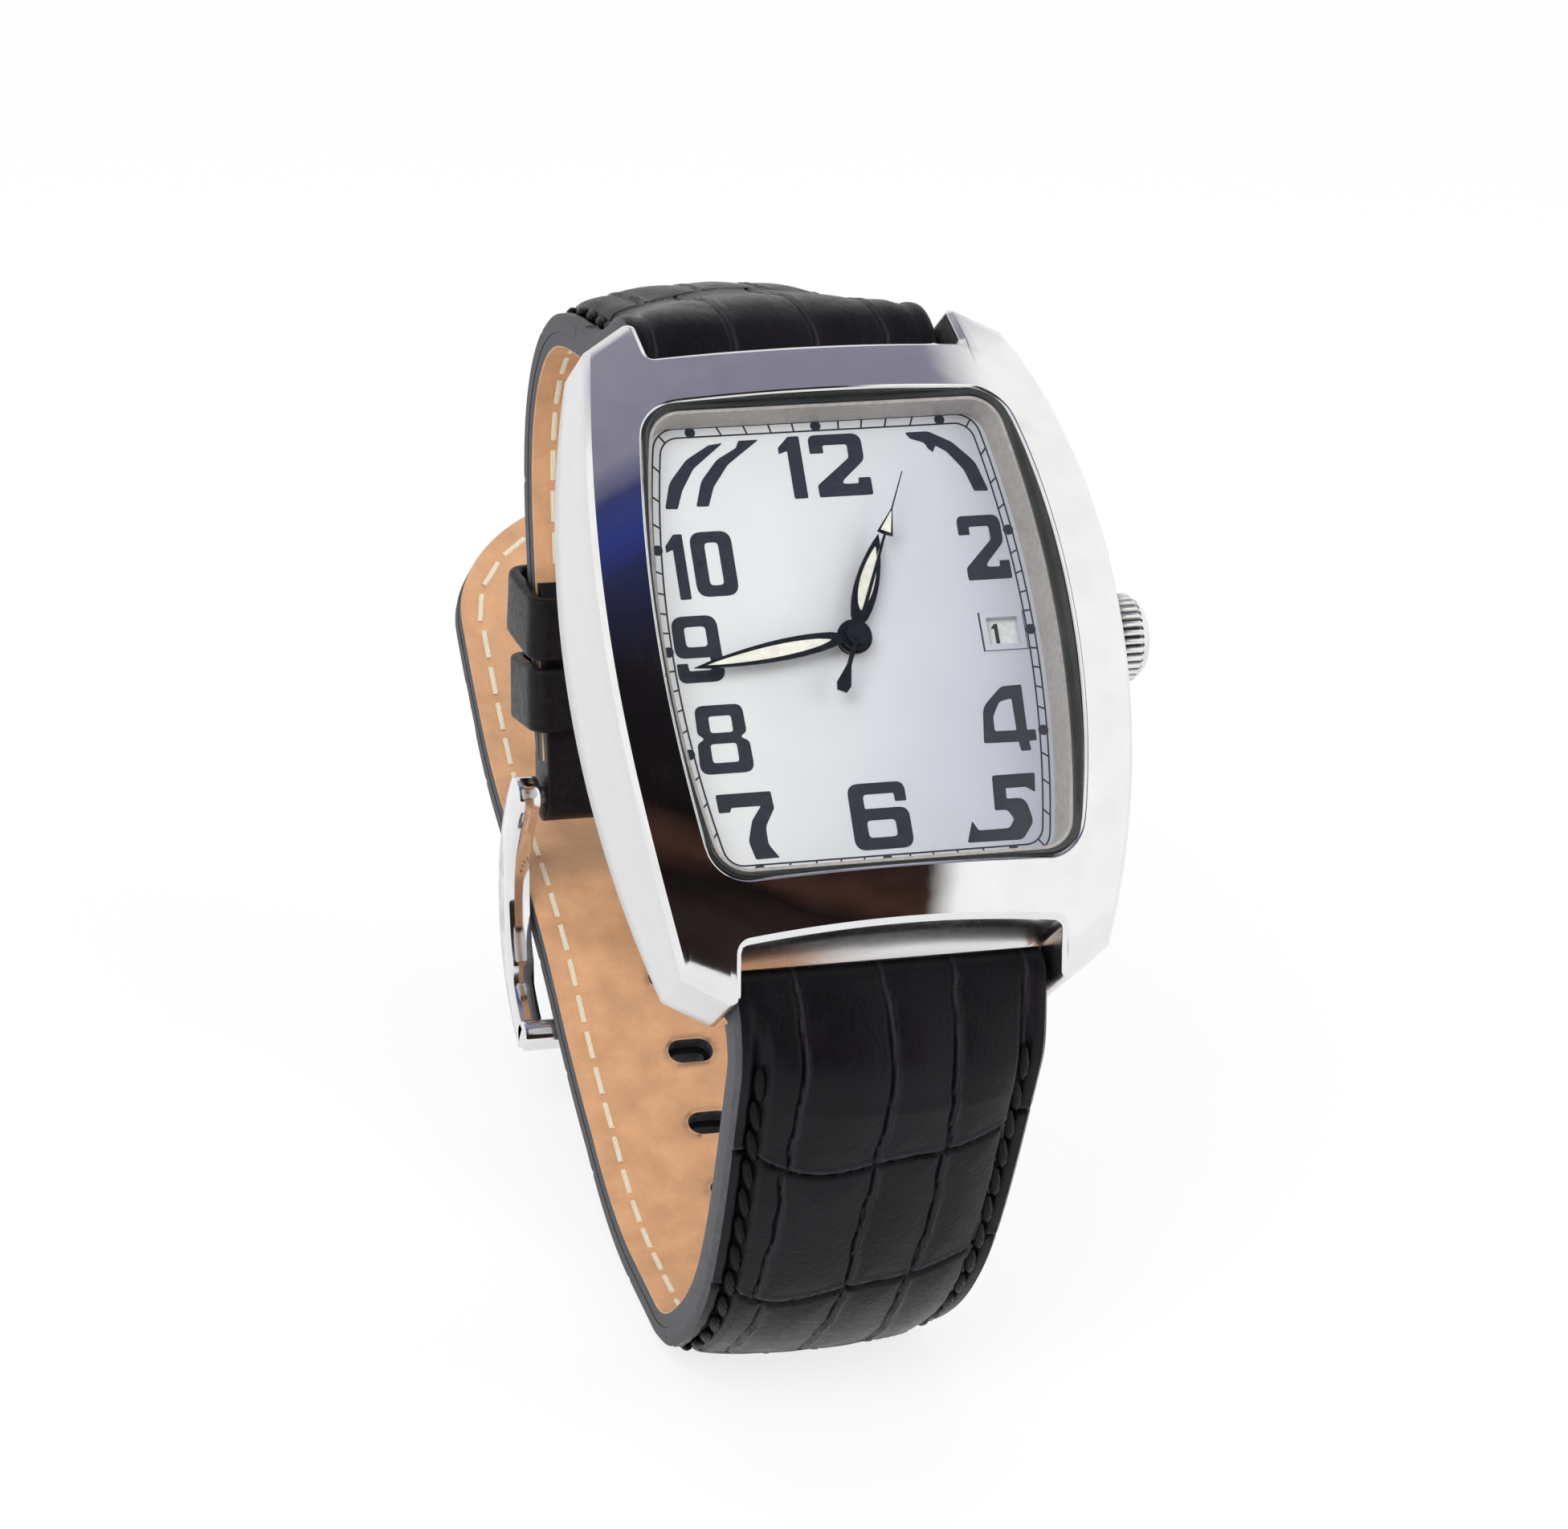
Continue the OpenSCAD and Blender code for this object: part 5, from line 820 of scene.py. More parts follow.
def build_crown(knurls, depth):
    """The fluted crown with its low dome, along the stem's axis."""
    per, rim = 8, CROWN_LEN - 0.85
    turn = np.linspace(0, 360, knurls * per, endpoint=False)
    flute = 0.5 - 0.5 * np.cos(np.radians(turn * knurls))
    flute = np.clip(flute * 1.5, 0, 1)
    rings = []
    for x, r, share in ((0.0, CROWN_R - 0.35, 0.2), (0.05, CROWN_R - 0.12, 0.7), (0.18, CROWN_R, 1.0),
                        (rim * 0.5, CROWN_R, 1.0), (rim - 0.22, CROWN_R, 1.0),
                        (rim - 0.06, CROWN_R - 0.14, 0.7),
                        (rim, CROWN_R - 0.3, 0.15)):
        radius = r - depth / MM * share * (1 - flute)
        rings.append((x, radius))
    for i in range(1, 12):
        a = math.radians(90 * i / 12)
        rings.append((rim + 0.05 + 0.8 * math.sin(a),
                      np.full(len(turn), (CROWN_R - 0.3) * math.cos(a) ** 0.55)))
    cos, sin = np.cos(np.radians(turn)), np.sin(np.radians(turn))
    shaped = [np.c_[np.full(len(turn), CROWN_X + x), r * cos, STEM_Z + r * sin] for x, r in rings]
    points, faces = loft(shaped, tip=(CROWN_X + CROWN_LEN, 0, STEM_Z))
    piece = new_piece("fluted_crown", points, faces, ("crown_steel",), 38.0)
    # The flutes' bottoms, stored as the mask of the painted shade in the crown's flutes.
    groove_shade = np.concatenate([np.tile(1 - flute, 7), np.zeros(len(points) - 7 * len(flute))])
    add_float(piece.data, "crease", groove_shade)
    return settle(piece, "crown", "polished_steel", "crown")


# ---------------------------------------------------------------- dial print
def box(x0, y0, x1, y1, r):
    return rounded([(x0, y0, r), (x1, y0, r), (x1, y1, r), (x0, y1, r)])


ONE = [(-2.25, 10.1, .12), (-1.3, 10.1, .12), (-1.3, 14.5, .12), (-2.05, 14.5, .12), (-2.85, 13.75, .1),
       (-2.85, 13.3, .05), (-2.25, 13.5, .05)]
TWO = [(-.7, 13.2, .1), (-.7, 14.5, .5), (3.0, 14.5, .75), (3.0, 12.6, .7), (1.0, 10.95, .3),
       (2.35, 10.95, .12),
       (2.4, 11.35, .05), (3.25, 11.35, .12), (3.25, 10.1, .15), (-.5, 10.1, .15), (-.5, 10.95, .3),
       (1.95, 12.8, .35), (1.95, 13.75, .2), (.25, 13.75, .15), (.25, 13.2, .06)]
NUMERALS = [
    [rounded(ONE)], [rounded(TWO)],
    [box(-9.95, 3.65, -7.1, 8.17, .85), box(-9.0, 4.42, -8.05, 7.4, .3)],
    [rounded([(-12.1, 2.4, .85), (-9.0, 2.4, .85), (-8.95, -2.2, .85), (-12.15, -2.2, .6), (-12.15, -.85, .1),
              (-11.4, -.85, .08), (-11.35, -1.38, .12), (-9.8, -1.38, .25), (-9.8, -.5, .1),
              (-12.15, -.5, .7)]),
     box(-11.3, .25, -9.83, 1.65, .3)],
    [rounded([(-11.45, -3.8, .6), (-8.2, -3.8, .6), (-8.15, -5.75, .45), (-8.65, -6.05, .15),
              (-8.05, -6.4, .4),
              (-8.0, -8.5, .7), (-11.7, -8.5, .7), (-11.6, -6.4, .4), (-11.05, -6.05, .15),
              (-11.5, -5.75, .45)]),
     box(-10.6, -5.7, -9.05, -4.55, .22), box(-10.75, -7.75, -8.95, -6.45, .25)],
    [rounded([(-10.95, -9.9, .15), (-7.2, -9.9, .15), (-7.13, -11.07, .3), (-7.9, -12.3, .9),
              (-7.9, -13.5, .9),
              (-7.28, -14.42, .05), (-8.9, -14.45, .2), (-9.2, -13.2, .9), (-8.75, -11.8, .9),
              (-8.0, -10.85, .06),
              (-10.0, -10.85, .12), (-10.15, -11.15, .06), (-10.9, -11.15, .12)])],
    [rounded([(-2.0, -9.85, .8), (1.95, -9.85, .7), (1.95, -11.2, .1), (1.15, -11.2, .1), (1.15, -10.62, .15),
              (-1.0, -10.62, .3), (-1.0, -11.6, .12), (2.0, -11.6, .7), (2.0, -14.4, .8),
              (-2.05, -14.4, .8)]),
     box(-1.0, -13.58, .97, -12.4, .3)],
    [rounded([(8.1, -9.95, .2), (11.1, -9.95, .15), (10.9, -11.27, .05), (10.3, -10.88, .25),
              (8.9, -10.88, .1),
              (8.85, -11.6, .1), (10.15, -11.6, .9), (10.45, -13.3, .9), (9.5, -14.46, .7),
              (5.65, -14.4, .12),
              (6.2, -12.95, .06), (6.55, -13.62, .2), (8.7, -13.62, .45), (9.15, -13.0, .35),
              (8.75, -12.35, .35),
              (7.9, -12.35, .15)])],
    [rounded([(11.23, -3.82, .1), (9.8, -3.85, .8), (8.3, -5.2, 1.4), (7.95, -7.7, .15), (10.37, -7.75, .05),
              (10.45, -8.4, .1), (11.15, -8.4, .1), (11.12, -7.75, .05), (11.66, -7.72, .08),
              (11.68, -6.98, .08),
              (11.1, -6.97, .05)]),
     rounded([(10.39, -4.72, .12), (9.5, -4.9, .5), (8.9, -5.9, .7), (8.84, -6.92, .15),
              (10.36, -6.95, .12)])],
    [rounded([(6.15, 14.35, .1), (7.8, 14.35, .9), (9.35, 13.5, 1.6), (10.75, 12.0, 1.8), (11.35, 9.9, .12),
              (10.33, 9.95, .12), (9.85, 11.5, 1.5), (8.85, 12.85, 1.0), (8.15, 13.3, .1), (7.9, 12.85, .05),
              (7.62, 13.1, .06), (7.4, 13.55, .4), (6.45, 13.9, .15)])],
    [rounded([(-6.6, 14.3, .05), (-7.6, 14.2, .6), (-9.3, 13.25, 1.6), (-10.7, 11.7, 1.8), (-11.25, 9.9, .12),
              (-10.4, 9.85, .12), (-9.9, 11.1, 1.2), (-8.9, 12.6, 1.4)])],
    [rounded([(-4.1, 14.4, .05), (-5.5, 14.4, .1), (-5.75, 13.9, .25), (-7.2, 13.15, 1.4), (-8.5, 11.7, 1.6),
              (-9.1, 9.95, .12), (-8.25, 9.92, .12), (-7.7, 11.25, 1.2), (-6.5, 12.75, 1.4)])],
]


def moved(outline, old, new):
    """An outline carried from one box to another."""
    old, new = np.array(old, float), np.array(new, float)
    return new[:2] + (np.array(outline) - old[:2]) * (new[2:] - new[:2]) / (old[2:] - old[:2])


def band(outer, inner):
    return [np.asarray(outer), np.asarray(inner)]


def build_print(height, dot_r):
    """Numerals, track lines, minute marks, dots and the line round the date opening."""
    glyphs = [list(g) for g in NUMERALS]
    glyphs.append([moved(rounded(ONE), (-2.85, 10.1, -1.3, 14.5), (-11.65, 3.55, -10.42, 8.1))])
    glyphs.append([moved(rounded(TWO), (-.7, 10.1, 3.25, 14.5), (8.7, 3.65, 11.95, 8.2))])
    numerals = flat_print("dial_numerals", glyphs, 0.0, height, "print_ink")
    settle(numerals, "case", "hand_black")
    line = 0.055
    outer, inner = (12.83, 15.46, 1.65), (12.32, 14.82, 1.35)
    tracks = [band(tonneau(hw + line, hh + line, cr + line), tonneau(hw - line, hh - line, cr - line))
              for hw, hh, cr in (outer, inner)]
    settle(flat_print("track_lines", tracks, 0.0, height * 0.9, "print_ink"), "case", "hand_black")
    near, far, half, wide = DATE_X - 1.58, DATE_X + 1.58, 1.36, 0.1
    bars = [[box(near, half - wide, far, half, 0)], [box(near, -half, far, wide - half, 0)],
            [box(near, wide - half, near + wide, half - wide, 0)],
            [box(far - wide, wide - half, far, half - wide, 0)]]
    settle(flat_print("date_frame", bars, 0.0, height * 0.8, "print_ink"), "case", "hand_black")
    ring_out, ring_in = tonneau(*outer), tonneau(*inner)
    marks, lies, dots = [], [], []
    for minute in range(60):
        way = ahead(90 - 6 * minute)
        out = crossing(ring_out, way)
        inn = crossing(ring_in, way)
        if minute % 5:
            marks.append([*((out + inn) / 2), height / MM / 2])
            lies.append([*(out - inn), 0])
        else:
            dots.append([*((out + inn) / 2), height / MM * 0.55])
    up = [[0, 0, 1]] * len(marks)
    reach = float(np.mean([np.linalg.norm(v) for v in lies])) * MM
    settle(repeated("minute_marks", "mark", marks, lies, up, (reach, 0.00011, height), "print_ink"),
           "case", "hand_black")
    settle(repeated("hour_dots", "dot", dots, [[1, 0, 0]] * len(dots), [[0, 0, 1]] * len(dots),
                    (2 * dot_r, 2 * dot_r, height * 1.1), "print_ink"), "case", "hand_black")


def crossing(ring, way):
    """Where a ray from the dial's centre meets an outline."""
    a, b = ring, np.roll(ring, -1, 0)
    ca = way[0] * a[:, 1] - way[1] * a[:, 0]
    cb = way[0] * b[:, 1] - way[1] * b[:, 0]
    ahead_of = (a @ way) > 0
    hit = np.where((ca * cb <= 0) & ahead_of)[0][0]
    f = ca[hit] / (ca[hit] - cb[hit]) if ca[hit] != cb[hit] else 0.0
    return a[hit] + f * (b[hit] - a[hit])


def build_date():
    """Thirty-one plain numbers round the date disc; the first stands in the opening."""
    mesh = bpy.data.meshes.new("date_numbers")
    work = bmesh.new()
    for day in range(1, DAYS + 1):
        name = "day_%d" % day
        if day == 1:
            shown = moved(rounded(ONE), (-2.85, 10.1, -1.3, 14.5), (-0.36, -0.67, 0.08, 0.72))
            number = flat_print(name, [[shown]], -DATE_T, 2 * DATE_T * MM, "print_ink")
        else:
            text = bpy.data.curves.new(name, "FONT")
            text.body, text.size = str(day), 2.05 if day < 10 else 1.45
            text.offset, text.extrude, text.resolution_u = 0.03, DATE_T, 3
            text.align_x, text.align_y = "CENTER", "CENTER"
            if day >= 10:
                text.space_character = 0.92
            number = curve_piece(name, text, 0.0, "print_ink")
        turn = Matrix.Rotation(math.radians((day - 1) * 360 / DAYS), 4, "Z")
        spot = turn @ Matrix.Translation((DATE_X - 0.25, -0.05, -0.463))
        number.data.transform(placing() @ spot @ placing().inverted())
        work.from_mesh(number.data)
        bpy.data.objects.remove(number)
    work.to_mesh(mesh)
    work.free()
    mesh.materials.append(finish_named("print_ink"))
    return settle(linked("date_numbers", mesh), "date", "hand_black")


# ---------------------------------------------------------------- hands
# How far each hand stands turned at rest, in degrees from twelve.
SHOWN = {"hour": -30 * (12 + 43.7 / 60), "minute": -6 * 43.7, "seconds": -6 * 4}


def leaf(start, end, width):
    f = np.linspace(0, 1, 41)
    half = width * np.abs(np.sin(np.pi * f ** 0.8)) ** 0.8 + 0.02 * (1 - f)
    right = np.c_[half, start + (end - start) * f]
    return np.concatenate([right, (right * (-1, 1))[-2:0:-1]])


def build_hands():
    """Pale inlays in the leaf hands and the seconds hand's pale triangle."""
    arrow = rounded([(-0.36, 7.56, 0.02), (0.36, 7.56, 0.02), (0.03, 9.05, 0.01), (-0.03, 9.05, 0.01)], 3)
    for hand, name, outline, top, low, high in (
            ("hour", "hour_inlay", leaf(1.95, 6.65, 0.5), HOUR_Z + HAND_T, 0.055, 0.012),
            ("minute", "minute_inlay", leaf(1.8, 10.55, 0.4), MINUTE_Z + HAND_T, 0.055, 0.012),
            ("seconds", "seconds_arrow", arrow, SECONDS_Z + HAND_T, 0.02, -0.012)):
        c, n = ahead(SHOWN[hand])
        turned = outline @ np.array(((c, n), (-n, c)))
        settle(new_piece(name, *prism(turned, top - low, top - high), ("inlay_cream",)), hand, "hand_black")


# ---------------------------------------------------------------- strap
def away(deg, side):
    return side * np.array((math.sin(math.radians(deg)), -math.cos(math.radians(deg))))


class Route:
    """A smooth side-view route [y, z, heading] through a few knots; the lining's inner face."""

    def __init__(self, knots, side):
        self.side = side
        rows = []
        for (ay, az, ah), (by, bz, bh) in zip(knots, knots[1:]):
            p, q = np.array((ay, az)), np.array((by, bz))
            k = np.linalg.norm(q - p)
            u, v = k * ahead(ah), k * ahead(bh)
            for t in np.linspace(0, 1, 24, endpoint=False):
                at = ((2 * t ** 3 - 3 * t * t + 1) * p + (t ** 3 - 2 * t * t + t) * u
                      + (3 * t * t - 2 * t ** 3) * q + (t ** 3 - t * t) * v)
                d = ((6 * t * t - 6 * t) * p + (3 * t * t - 4 * t + 1) * u + (6 * t - 6 * t * t) * q
                     + (3 * t * t - 2 * t) * v)
                rows.append((*at, math.degrees(math.atan2(d[1], d[0]))))
        rows.append(knots[-1])
        self.rows = np.array(rows, float)
        self.rows[:, 2] = np.degrees(np.unwrap(np.radians(self.rows[:, 2])))
        steps = np.hypot(*np.diff(self.rows[:, :2], axis=0).T)
        self.s = np.r_[0, np.cumsum(steps)]
        self.length = float(self.s[-1])

    def at(self, s):
        """Arrays y, z and heading at lengths s, straight on past the ends."""
        s = np.asarray(s, float)
        inside = np.clip(s, 0, self.length)
        y, z, h = (np.interp(inside, self.s, self.rows[:, i]) for i in range(3))
        extra = s - inside
        return y + extra * np.cos(np.radians(h)), z + extra * np.sin(np.radians(h)), h

    def point(self, s, x, height):
        """Points over the route: x across, height away from the wrist."""
        y, z, h = self.at(s)
        ny, nz = self.side * np.sin(np.radians(h)), -self.side * np.cos(np.radians(h))
        return np.stack(np.broadcast_arrays(x, y + height * ny, z + height * nz), -1)

    def nearest(self, p):
        d = np.hypot(self.rows[:, 0] - p[0], self.rows[:, 1] - p[1])
        return float(self.s[int(np.argmin(d))])


SHORT_START = np.array((BAR_Y, BAR_Z)) - LUG_WRAP * away(-15, -1)
SHORT_END = BUCKLE_BAR - (END_WRAP - FOLD_T) * away(-150, -1)
LONG_START = np.array((-BAR_Y, BAR_Z)) - LUG_WRAP * away(-165, 1)
REST_A = LEAN - 90
SHORT = Route([(*SHORT_START, -15), (24.9, -12.5, -68), (30.8, -26, -93), (27.6, -33.2, -133),
               (*(SHORT_END - 20 * ahead(-150)), -150), (*SHORT_END, -150)], -1)
UNDER_BAR = BUCKLE_BAR + (-17.1, -3)
LONG = Route([(*LONG_START, -165), (-26.2, -8, -124), (-35, -21.8, -116), (-36.9, -30, -90),
              (*(REST_MID - REST_LEN / 2 * ahead(REST_A)), REST_A),
              (*(REST_MID + REST_LEN / 2 * ahead(REST_A)), REST_A), (*UNDER_BAR, -16),
              (*(BUCKLE_BAR + (-8.2, -5.7)), -22), (*(BUCKLE_BAR + (-0.8, -9.3)), -27),
              (*(BUCKLE_BAR + (7.5, -12.8)), -14), (*(BUCKLE_BAR + (28, -15.6)), -7)], 1)
FIRST_HOLE = LONG.nearest(UNDER_BAR) - 2.6
HOLES = [FIRST_HOLE + k * HOLE_PITCH for k in range(-3, 4)]


def strap_hw(s):
    return np.maximum(STRAP_END_HW, STRAP_HW - (STRAP_HW - STRAP_END_HW) * np.maximum(0, s) / TAPER)


def tail_hw(s):
    t = np.clip((s - LONG.length + TAIL) / TAIL, 0, 1)
    return strap_hw(s) * (1 - t * t) ** 0.7


def snug(s):
    """The roll swells a little against the lugs."""
    return 0.11 * np.exp(-(np.maximum(0, s) / 1.6) ** 2)


def pad(s):
    return 0.35 + 1.65 * (1 - np.clip((s - 6) / 62, 0, 1)) ** 1.3 * np.clip(0.25 + s / 8, 0, 1)


class Scales:
    """The leather's pressed pattern: rows of scales between creases, each row with its own columns."""

    def __init__(self, first_rows, first_columns, length_s, seed):
        draw = np.random.default_rng(seed)
        self.rows = list(first_rows)
        while self.rows[-1][0] < length_s:
            s = self.rows[-1][0] + max(7.0, 11.5 - 0.035 * self.rows[-1][0]) + draw.uniform(-0.8, 0.8)
            self.rows.append((s, draw.uniform(-0.5, 0.5), draw.uniform(0.5, 1.1), draw.uniform(0, 6.3)))
        self.columns = [list(c) for c in first_columns]
        while len(self.columns) < len(self.rows):
            shift = draw.uniform(-0.12, 0.12)
            self.columns.append([v + shift + draw.uniform(-0.06, 0.06) for v in (-0.78, -0.34, 0.1, 0.5,
                                                                                 0.84)])
        self.wave = draw.uniform(0, 6.3, (len(self.rows), 6))

    def row_line(self, k, v):
        s, tilt, size, phase = self.rows[k]
        return s + tilt * v + size * np.sin(2.6 * v + phase) + 0.35 * size * np.sin(6.5 * v + 2 * phase)

    def relief(self, s, x, hw):
        """Each point's depth in a crease, 0 to 1, its distance from any in mm, and its height on a rim."""
        v = x / np.maximum(hw, 0.1)
        depth, near, rim = np.zeros_like(s), np.full_like(s, 9.0), np.zeros_like(s)
        lines = [self.row_line(k, v) for k in range(len(self.rows))]
        for line in lines:
            d = np.abs(s - line)
            near = np.minimum(near, d)
            depth = np.maximum(depth, np.exp(-(d / 0.17) ** 2))
            rim = np.maximum(rim, np.exp(-((line - s - 0.38) / 0.19) ** 2))
        for k in range(len(self.rows)):
            low = lines[k - 1] if k else np.full_like(s, -20.0)
            inside = 1 / (1 + np.exp(-np.clip((s - low) / 0.18, -30, 30)))
            inside = inside / (1 + np.exp(-np.clip((lines[k] - s) / 0.18, -30, 30)))
            for j, column in enumerate(self.columns[k]):
                wave = self.wave[k, j]
                centre = column * hw + 0.17 * np.sin(s * 0.5 + wave) + 0.06 * np.sin(s * 1.9 + wave)
                d = np.abs(x - centre)
                near = np.where(inside > 0.5, np.minimum(near, d), near)
                depth = np.maximum(depth, 0.85 * inside * np.exp(-(d / 0.15) ** 2))
                rim = np.maximum(rim, 0.9 * inside * np.exp(-((x - centre - 0.3) / 0.15) ** 2))
        return depth, near, rim * (1 - depth)


def eased(f):
    return f * f * (3 - 2 * f)


def outer_sheet(route, scales, s, half, strap):
    """Rings of one strap's outer leather: the roll round its lug's bar, then stations s with half widths."""
    roll = np.linspace(-ROLL_SWEEP, 0, 9, endpoint=False)
    turns = list(roll) + [0.0] * len(s)
    s = np.concatenate([np.zeros(len(roll)), s])
    half = half(s) + snug(s)
    under = np.minimum(SKIN, LUG_WRAP - np.sqrt(np.maximum(0, LUG_WRAP ** 2 - s * s)))
    low = np.where(s < 1.6, under, SKIN)
    crease, pillow, inset = strap.crease / MM, strap.pillow / MM, strap.stitch_inset / MM
    rings, places, depths = [], [], []
    for at, hw, base, sweep in zip(s, half, low, turns):
        rim = LINING_T + EDGE_T
        x = np.linspace(1, -1, TOP_N) * (hw - min(0.3, 0.12 * hw))
        crown = np.clip(1 - np.abs(x / (0.86 * hw)) ** 2, 0, 1) ** 0.48
        depth, near, ridge = scales.relief(np.full(TOP_N, at), x, np.full(TOP_N, hw))
        fade = np.clip(hw / 2.0, 0, 1) * (0.55 + 0.45 * math.exp(-at / 60))
        bulge = pillow * (1 - np.exp(-(near / 1.3) ** 2))
        in_edge = np.clip((hw - np.abs(x)) / 0.7, 0, 1)
        lift = fade * (bulge * crown ** 0.5 + crease * (0.32 * ridge - depth * (0.35 + 0.65 * in_edge)))
        channel = 0.42 * np.exp(-((np.abs(x) - (hw - inset)) / 0.5) ** 4) * (hw > 3)
        padded = rim + float(pad(min(at, route.length))) * crown
        full = LUG_WRAP * 2 - 0.3 * (1 - in_edge) ** 2
        near_lug = eased(1 - np.clip((at - 0.2) / 4.6, 0, 1))
        height = padded + near_lug * np.maximum(0, full - padded) + lift * (1 - 0.5 * near_lug)
        height -= channel * (1 - near_lug) + 0.05 * (1 - in_edge)
        rim = rim + near_lug * (LUG_WRAP * 2 - 0.3 - rim)
        nick = 0.10 * fade * float(scales.relief(np.array([at]), np.array([hw]), np.array([hw]))[0][0])
        edge = rim - min(0.25, 0.2 * hw)
        right = [(hw - nick, base + (edge - base) * f) for f in (0.3, 0.62, 0.86)]
        ring = [(hw * f, base) for f in (-0.999, -0.5, 0.0, 0.5, 0.999)] + right
        ring = np.array(ring + list(zip(x, height)) + [(-a, b) for a, b in right[::-1]])
        station = at
        if sweep:
            station = LUG_WRAP * math.sin(sweep)
            ring[:, 1] = LUG_WRAP + (ring[:, 1] - LUG_WRAP) * math.cos(sweep)
        stations = np.full(len(ring), station)
        rings.append(route.point(stations, ring[:, 0], ring[:, 1]))
        places.append(np.c_[ring[:, 0], stations, ring[:, 1]])
        # The stored crease value: depth in a crease, below zero on a rim; it makes the leather rougher, and it
        # masks the painted shade in the creases and the painted highlight on the rims.
        dent = np.zeros(len(ring))
        dent[9:9 + TOP_N] = depth - 0.6 * ridge
        depths.append(dent)
    return np.array(rings), np.array(places), np.array(depths)


def add_float(mesh, name, values):
    mesh.attributes.new(name, "FLOAT", "POINT").data.foreach_set("value",
                                                                 np.asarray(values, np.float32).ravel())


def add_vector(mesh, name, values):
    mesh.attributes.new(name, "FLOAT_VECTOR", "POINT").data.foreach_set(
        "vector", np.asarray(values, np.float32).ravel())


def pressed_flat(points):
    """The leather is pressed flat where the watch rests on it."""
    world = placed(points)
    under = np.minimum(world[:, 2], 0.00002) - 0.00002
    back = np.array((ACROSS, TO_TWELVE, OUTWARD))
    world[:, 2] -= under
    return (world - CENTRE) @ back.T / MM


def leather_piece(name, rings, places, depths):
    """One closed leather shell; its sides take the edge paint, the rest the grained leather."""
    points, faces = loft(rings)
    cols = rings.shape[1]
    sides = {4, 5, 6, cols - 4, cols - 3, cols - 2, cols - 1}
    own = [int(i < (len(rings) - 1) * cols and i % cols in sides) for i in range(len(faces))]
    finishes = ("black_leather", "edge_paint")
    piece = new_piece(name, pressed_flat(np.array(points)), faces, finishes, 50.0, own)
    add_vector(piece.data, "strap_place", places)
    add_float(piece.data, "crease", depths)
    return piece


def slot_cutter(name, route, lengths, height, shut=1.0):
    """Rounded slots through the strap as one cutting mesh; the tongue's own hole stays open."""
    parts = []
    for s in lengths:
        r = HOLE_H / 2 * (1.12 if s == HOLES[4] else shut)
        run = HOLE_W / 2 * (1.06 if s == HOLES[4] else 0.5 + 0.5 * shut) - r
        ring = [np.array((run, 0)) + r * ahead(a) for a in range(-90, 91, 15)]
        ring += [np.array((-run, 0)) + r * ahead(a) for a in range(90, 271, 15)]
        y, z, h = (float(a) for a in route.at(s))
        n, t = away(h, route.side), ahead(h)
        parts.append(loft([[(p[0], *(np.array((y, z)) + level * n + p[1] * t)) for p in ring]
                           for level in (-2.0, height)]))
    return new_piece(name, *joined(parts), ("edge_paint",), 30.0)


def cut(piece, cutter):
    """Takes the cutter out of the piece for good."""
    modifier = piece.modifiers.new("cut", "BOOLEAN")
    modifier.operation, modifier.solver, modifier.object = "DIFFERENCE", "EXACT", cutter
    mesh = made_mesh(piece)
    piece.modifiers.clear()
    mesh.set_sharp_from_angle(angle=math.radians(40))
    old = piece.data
    piece.data = mesh
    bpy.data.meshes.remove(old)
    bpy.data.objects.remove(cutter)


def build_long_outer(strap):
    """The long strap's padded outer leather, from its roll round the lower bar to its rounded tail."""
    end = LONG.length
    tail = end - TAIL + TAIL * np.array([1 - (1 - f) ** 2.2 for f in np.linspace(0.0, 1.0, 40)[1:]]) * 0.9985
    scales = Scales([(10.2, -0.3, 0.9, 2.3), (21.7, -0.6, 0.9, 2.6), (33.0, 0.4, 0.7, 4.2)],
                    [(-0.62, -0.06, 0.38, 0.84), (-0.66, -0.08, 0.38, 0.80), (-0.62, -0.10, 0.36, 0.78)],
                    end, strap.seed)
    s = np.concatenate([np.arange(0.0, end - TAIL, STATION), tail])
    piece = leather_piece("long_strap_leather", *outer_sheet(LONG, scales, s, tail_hw, strap))
    cut(piece, slot_cutter("hole_cutter", LONG, HOLES, 6.0, 0.45))
    return settle(piece, "case", "black_leather", "long_strap_outer")


def build_short_outer(strap):
    """The short strap's outer leather, rolled round the upper bar and ended before the tongue's room."""
    split = SHORT.length - SPLIT
    scales = Scales([(12.2, 0.8, 1.0, 0.9), (23.5, -0.4, 0.8, 2.4)],
                    [(-0.86, -0.36, 0.17, 0.64), (-0.6, -0.15, 0.3, 0.74)], SHORT.length, strap.seed + 4)
    s = np.concatenate([np.arange(0.0, split, STATION), [split]])
    piece = leather_piece("short_strap_leather", *outer_sheet(SHORT, scales, s, strap_hw, strap))
    settle(piece, "case", "black_leather", "short_strap_outer")
    build_turned_end(split)


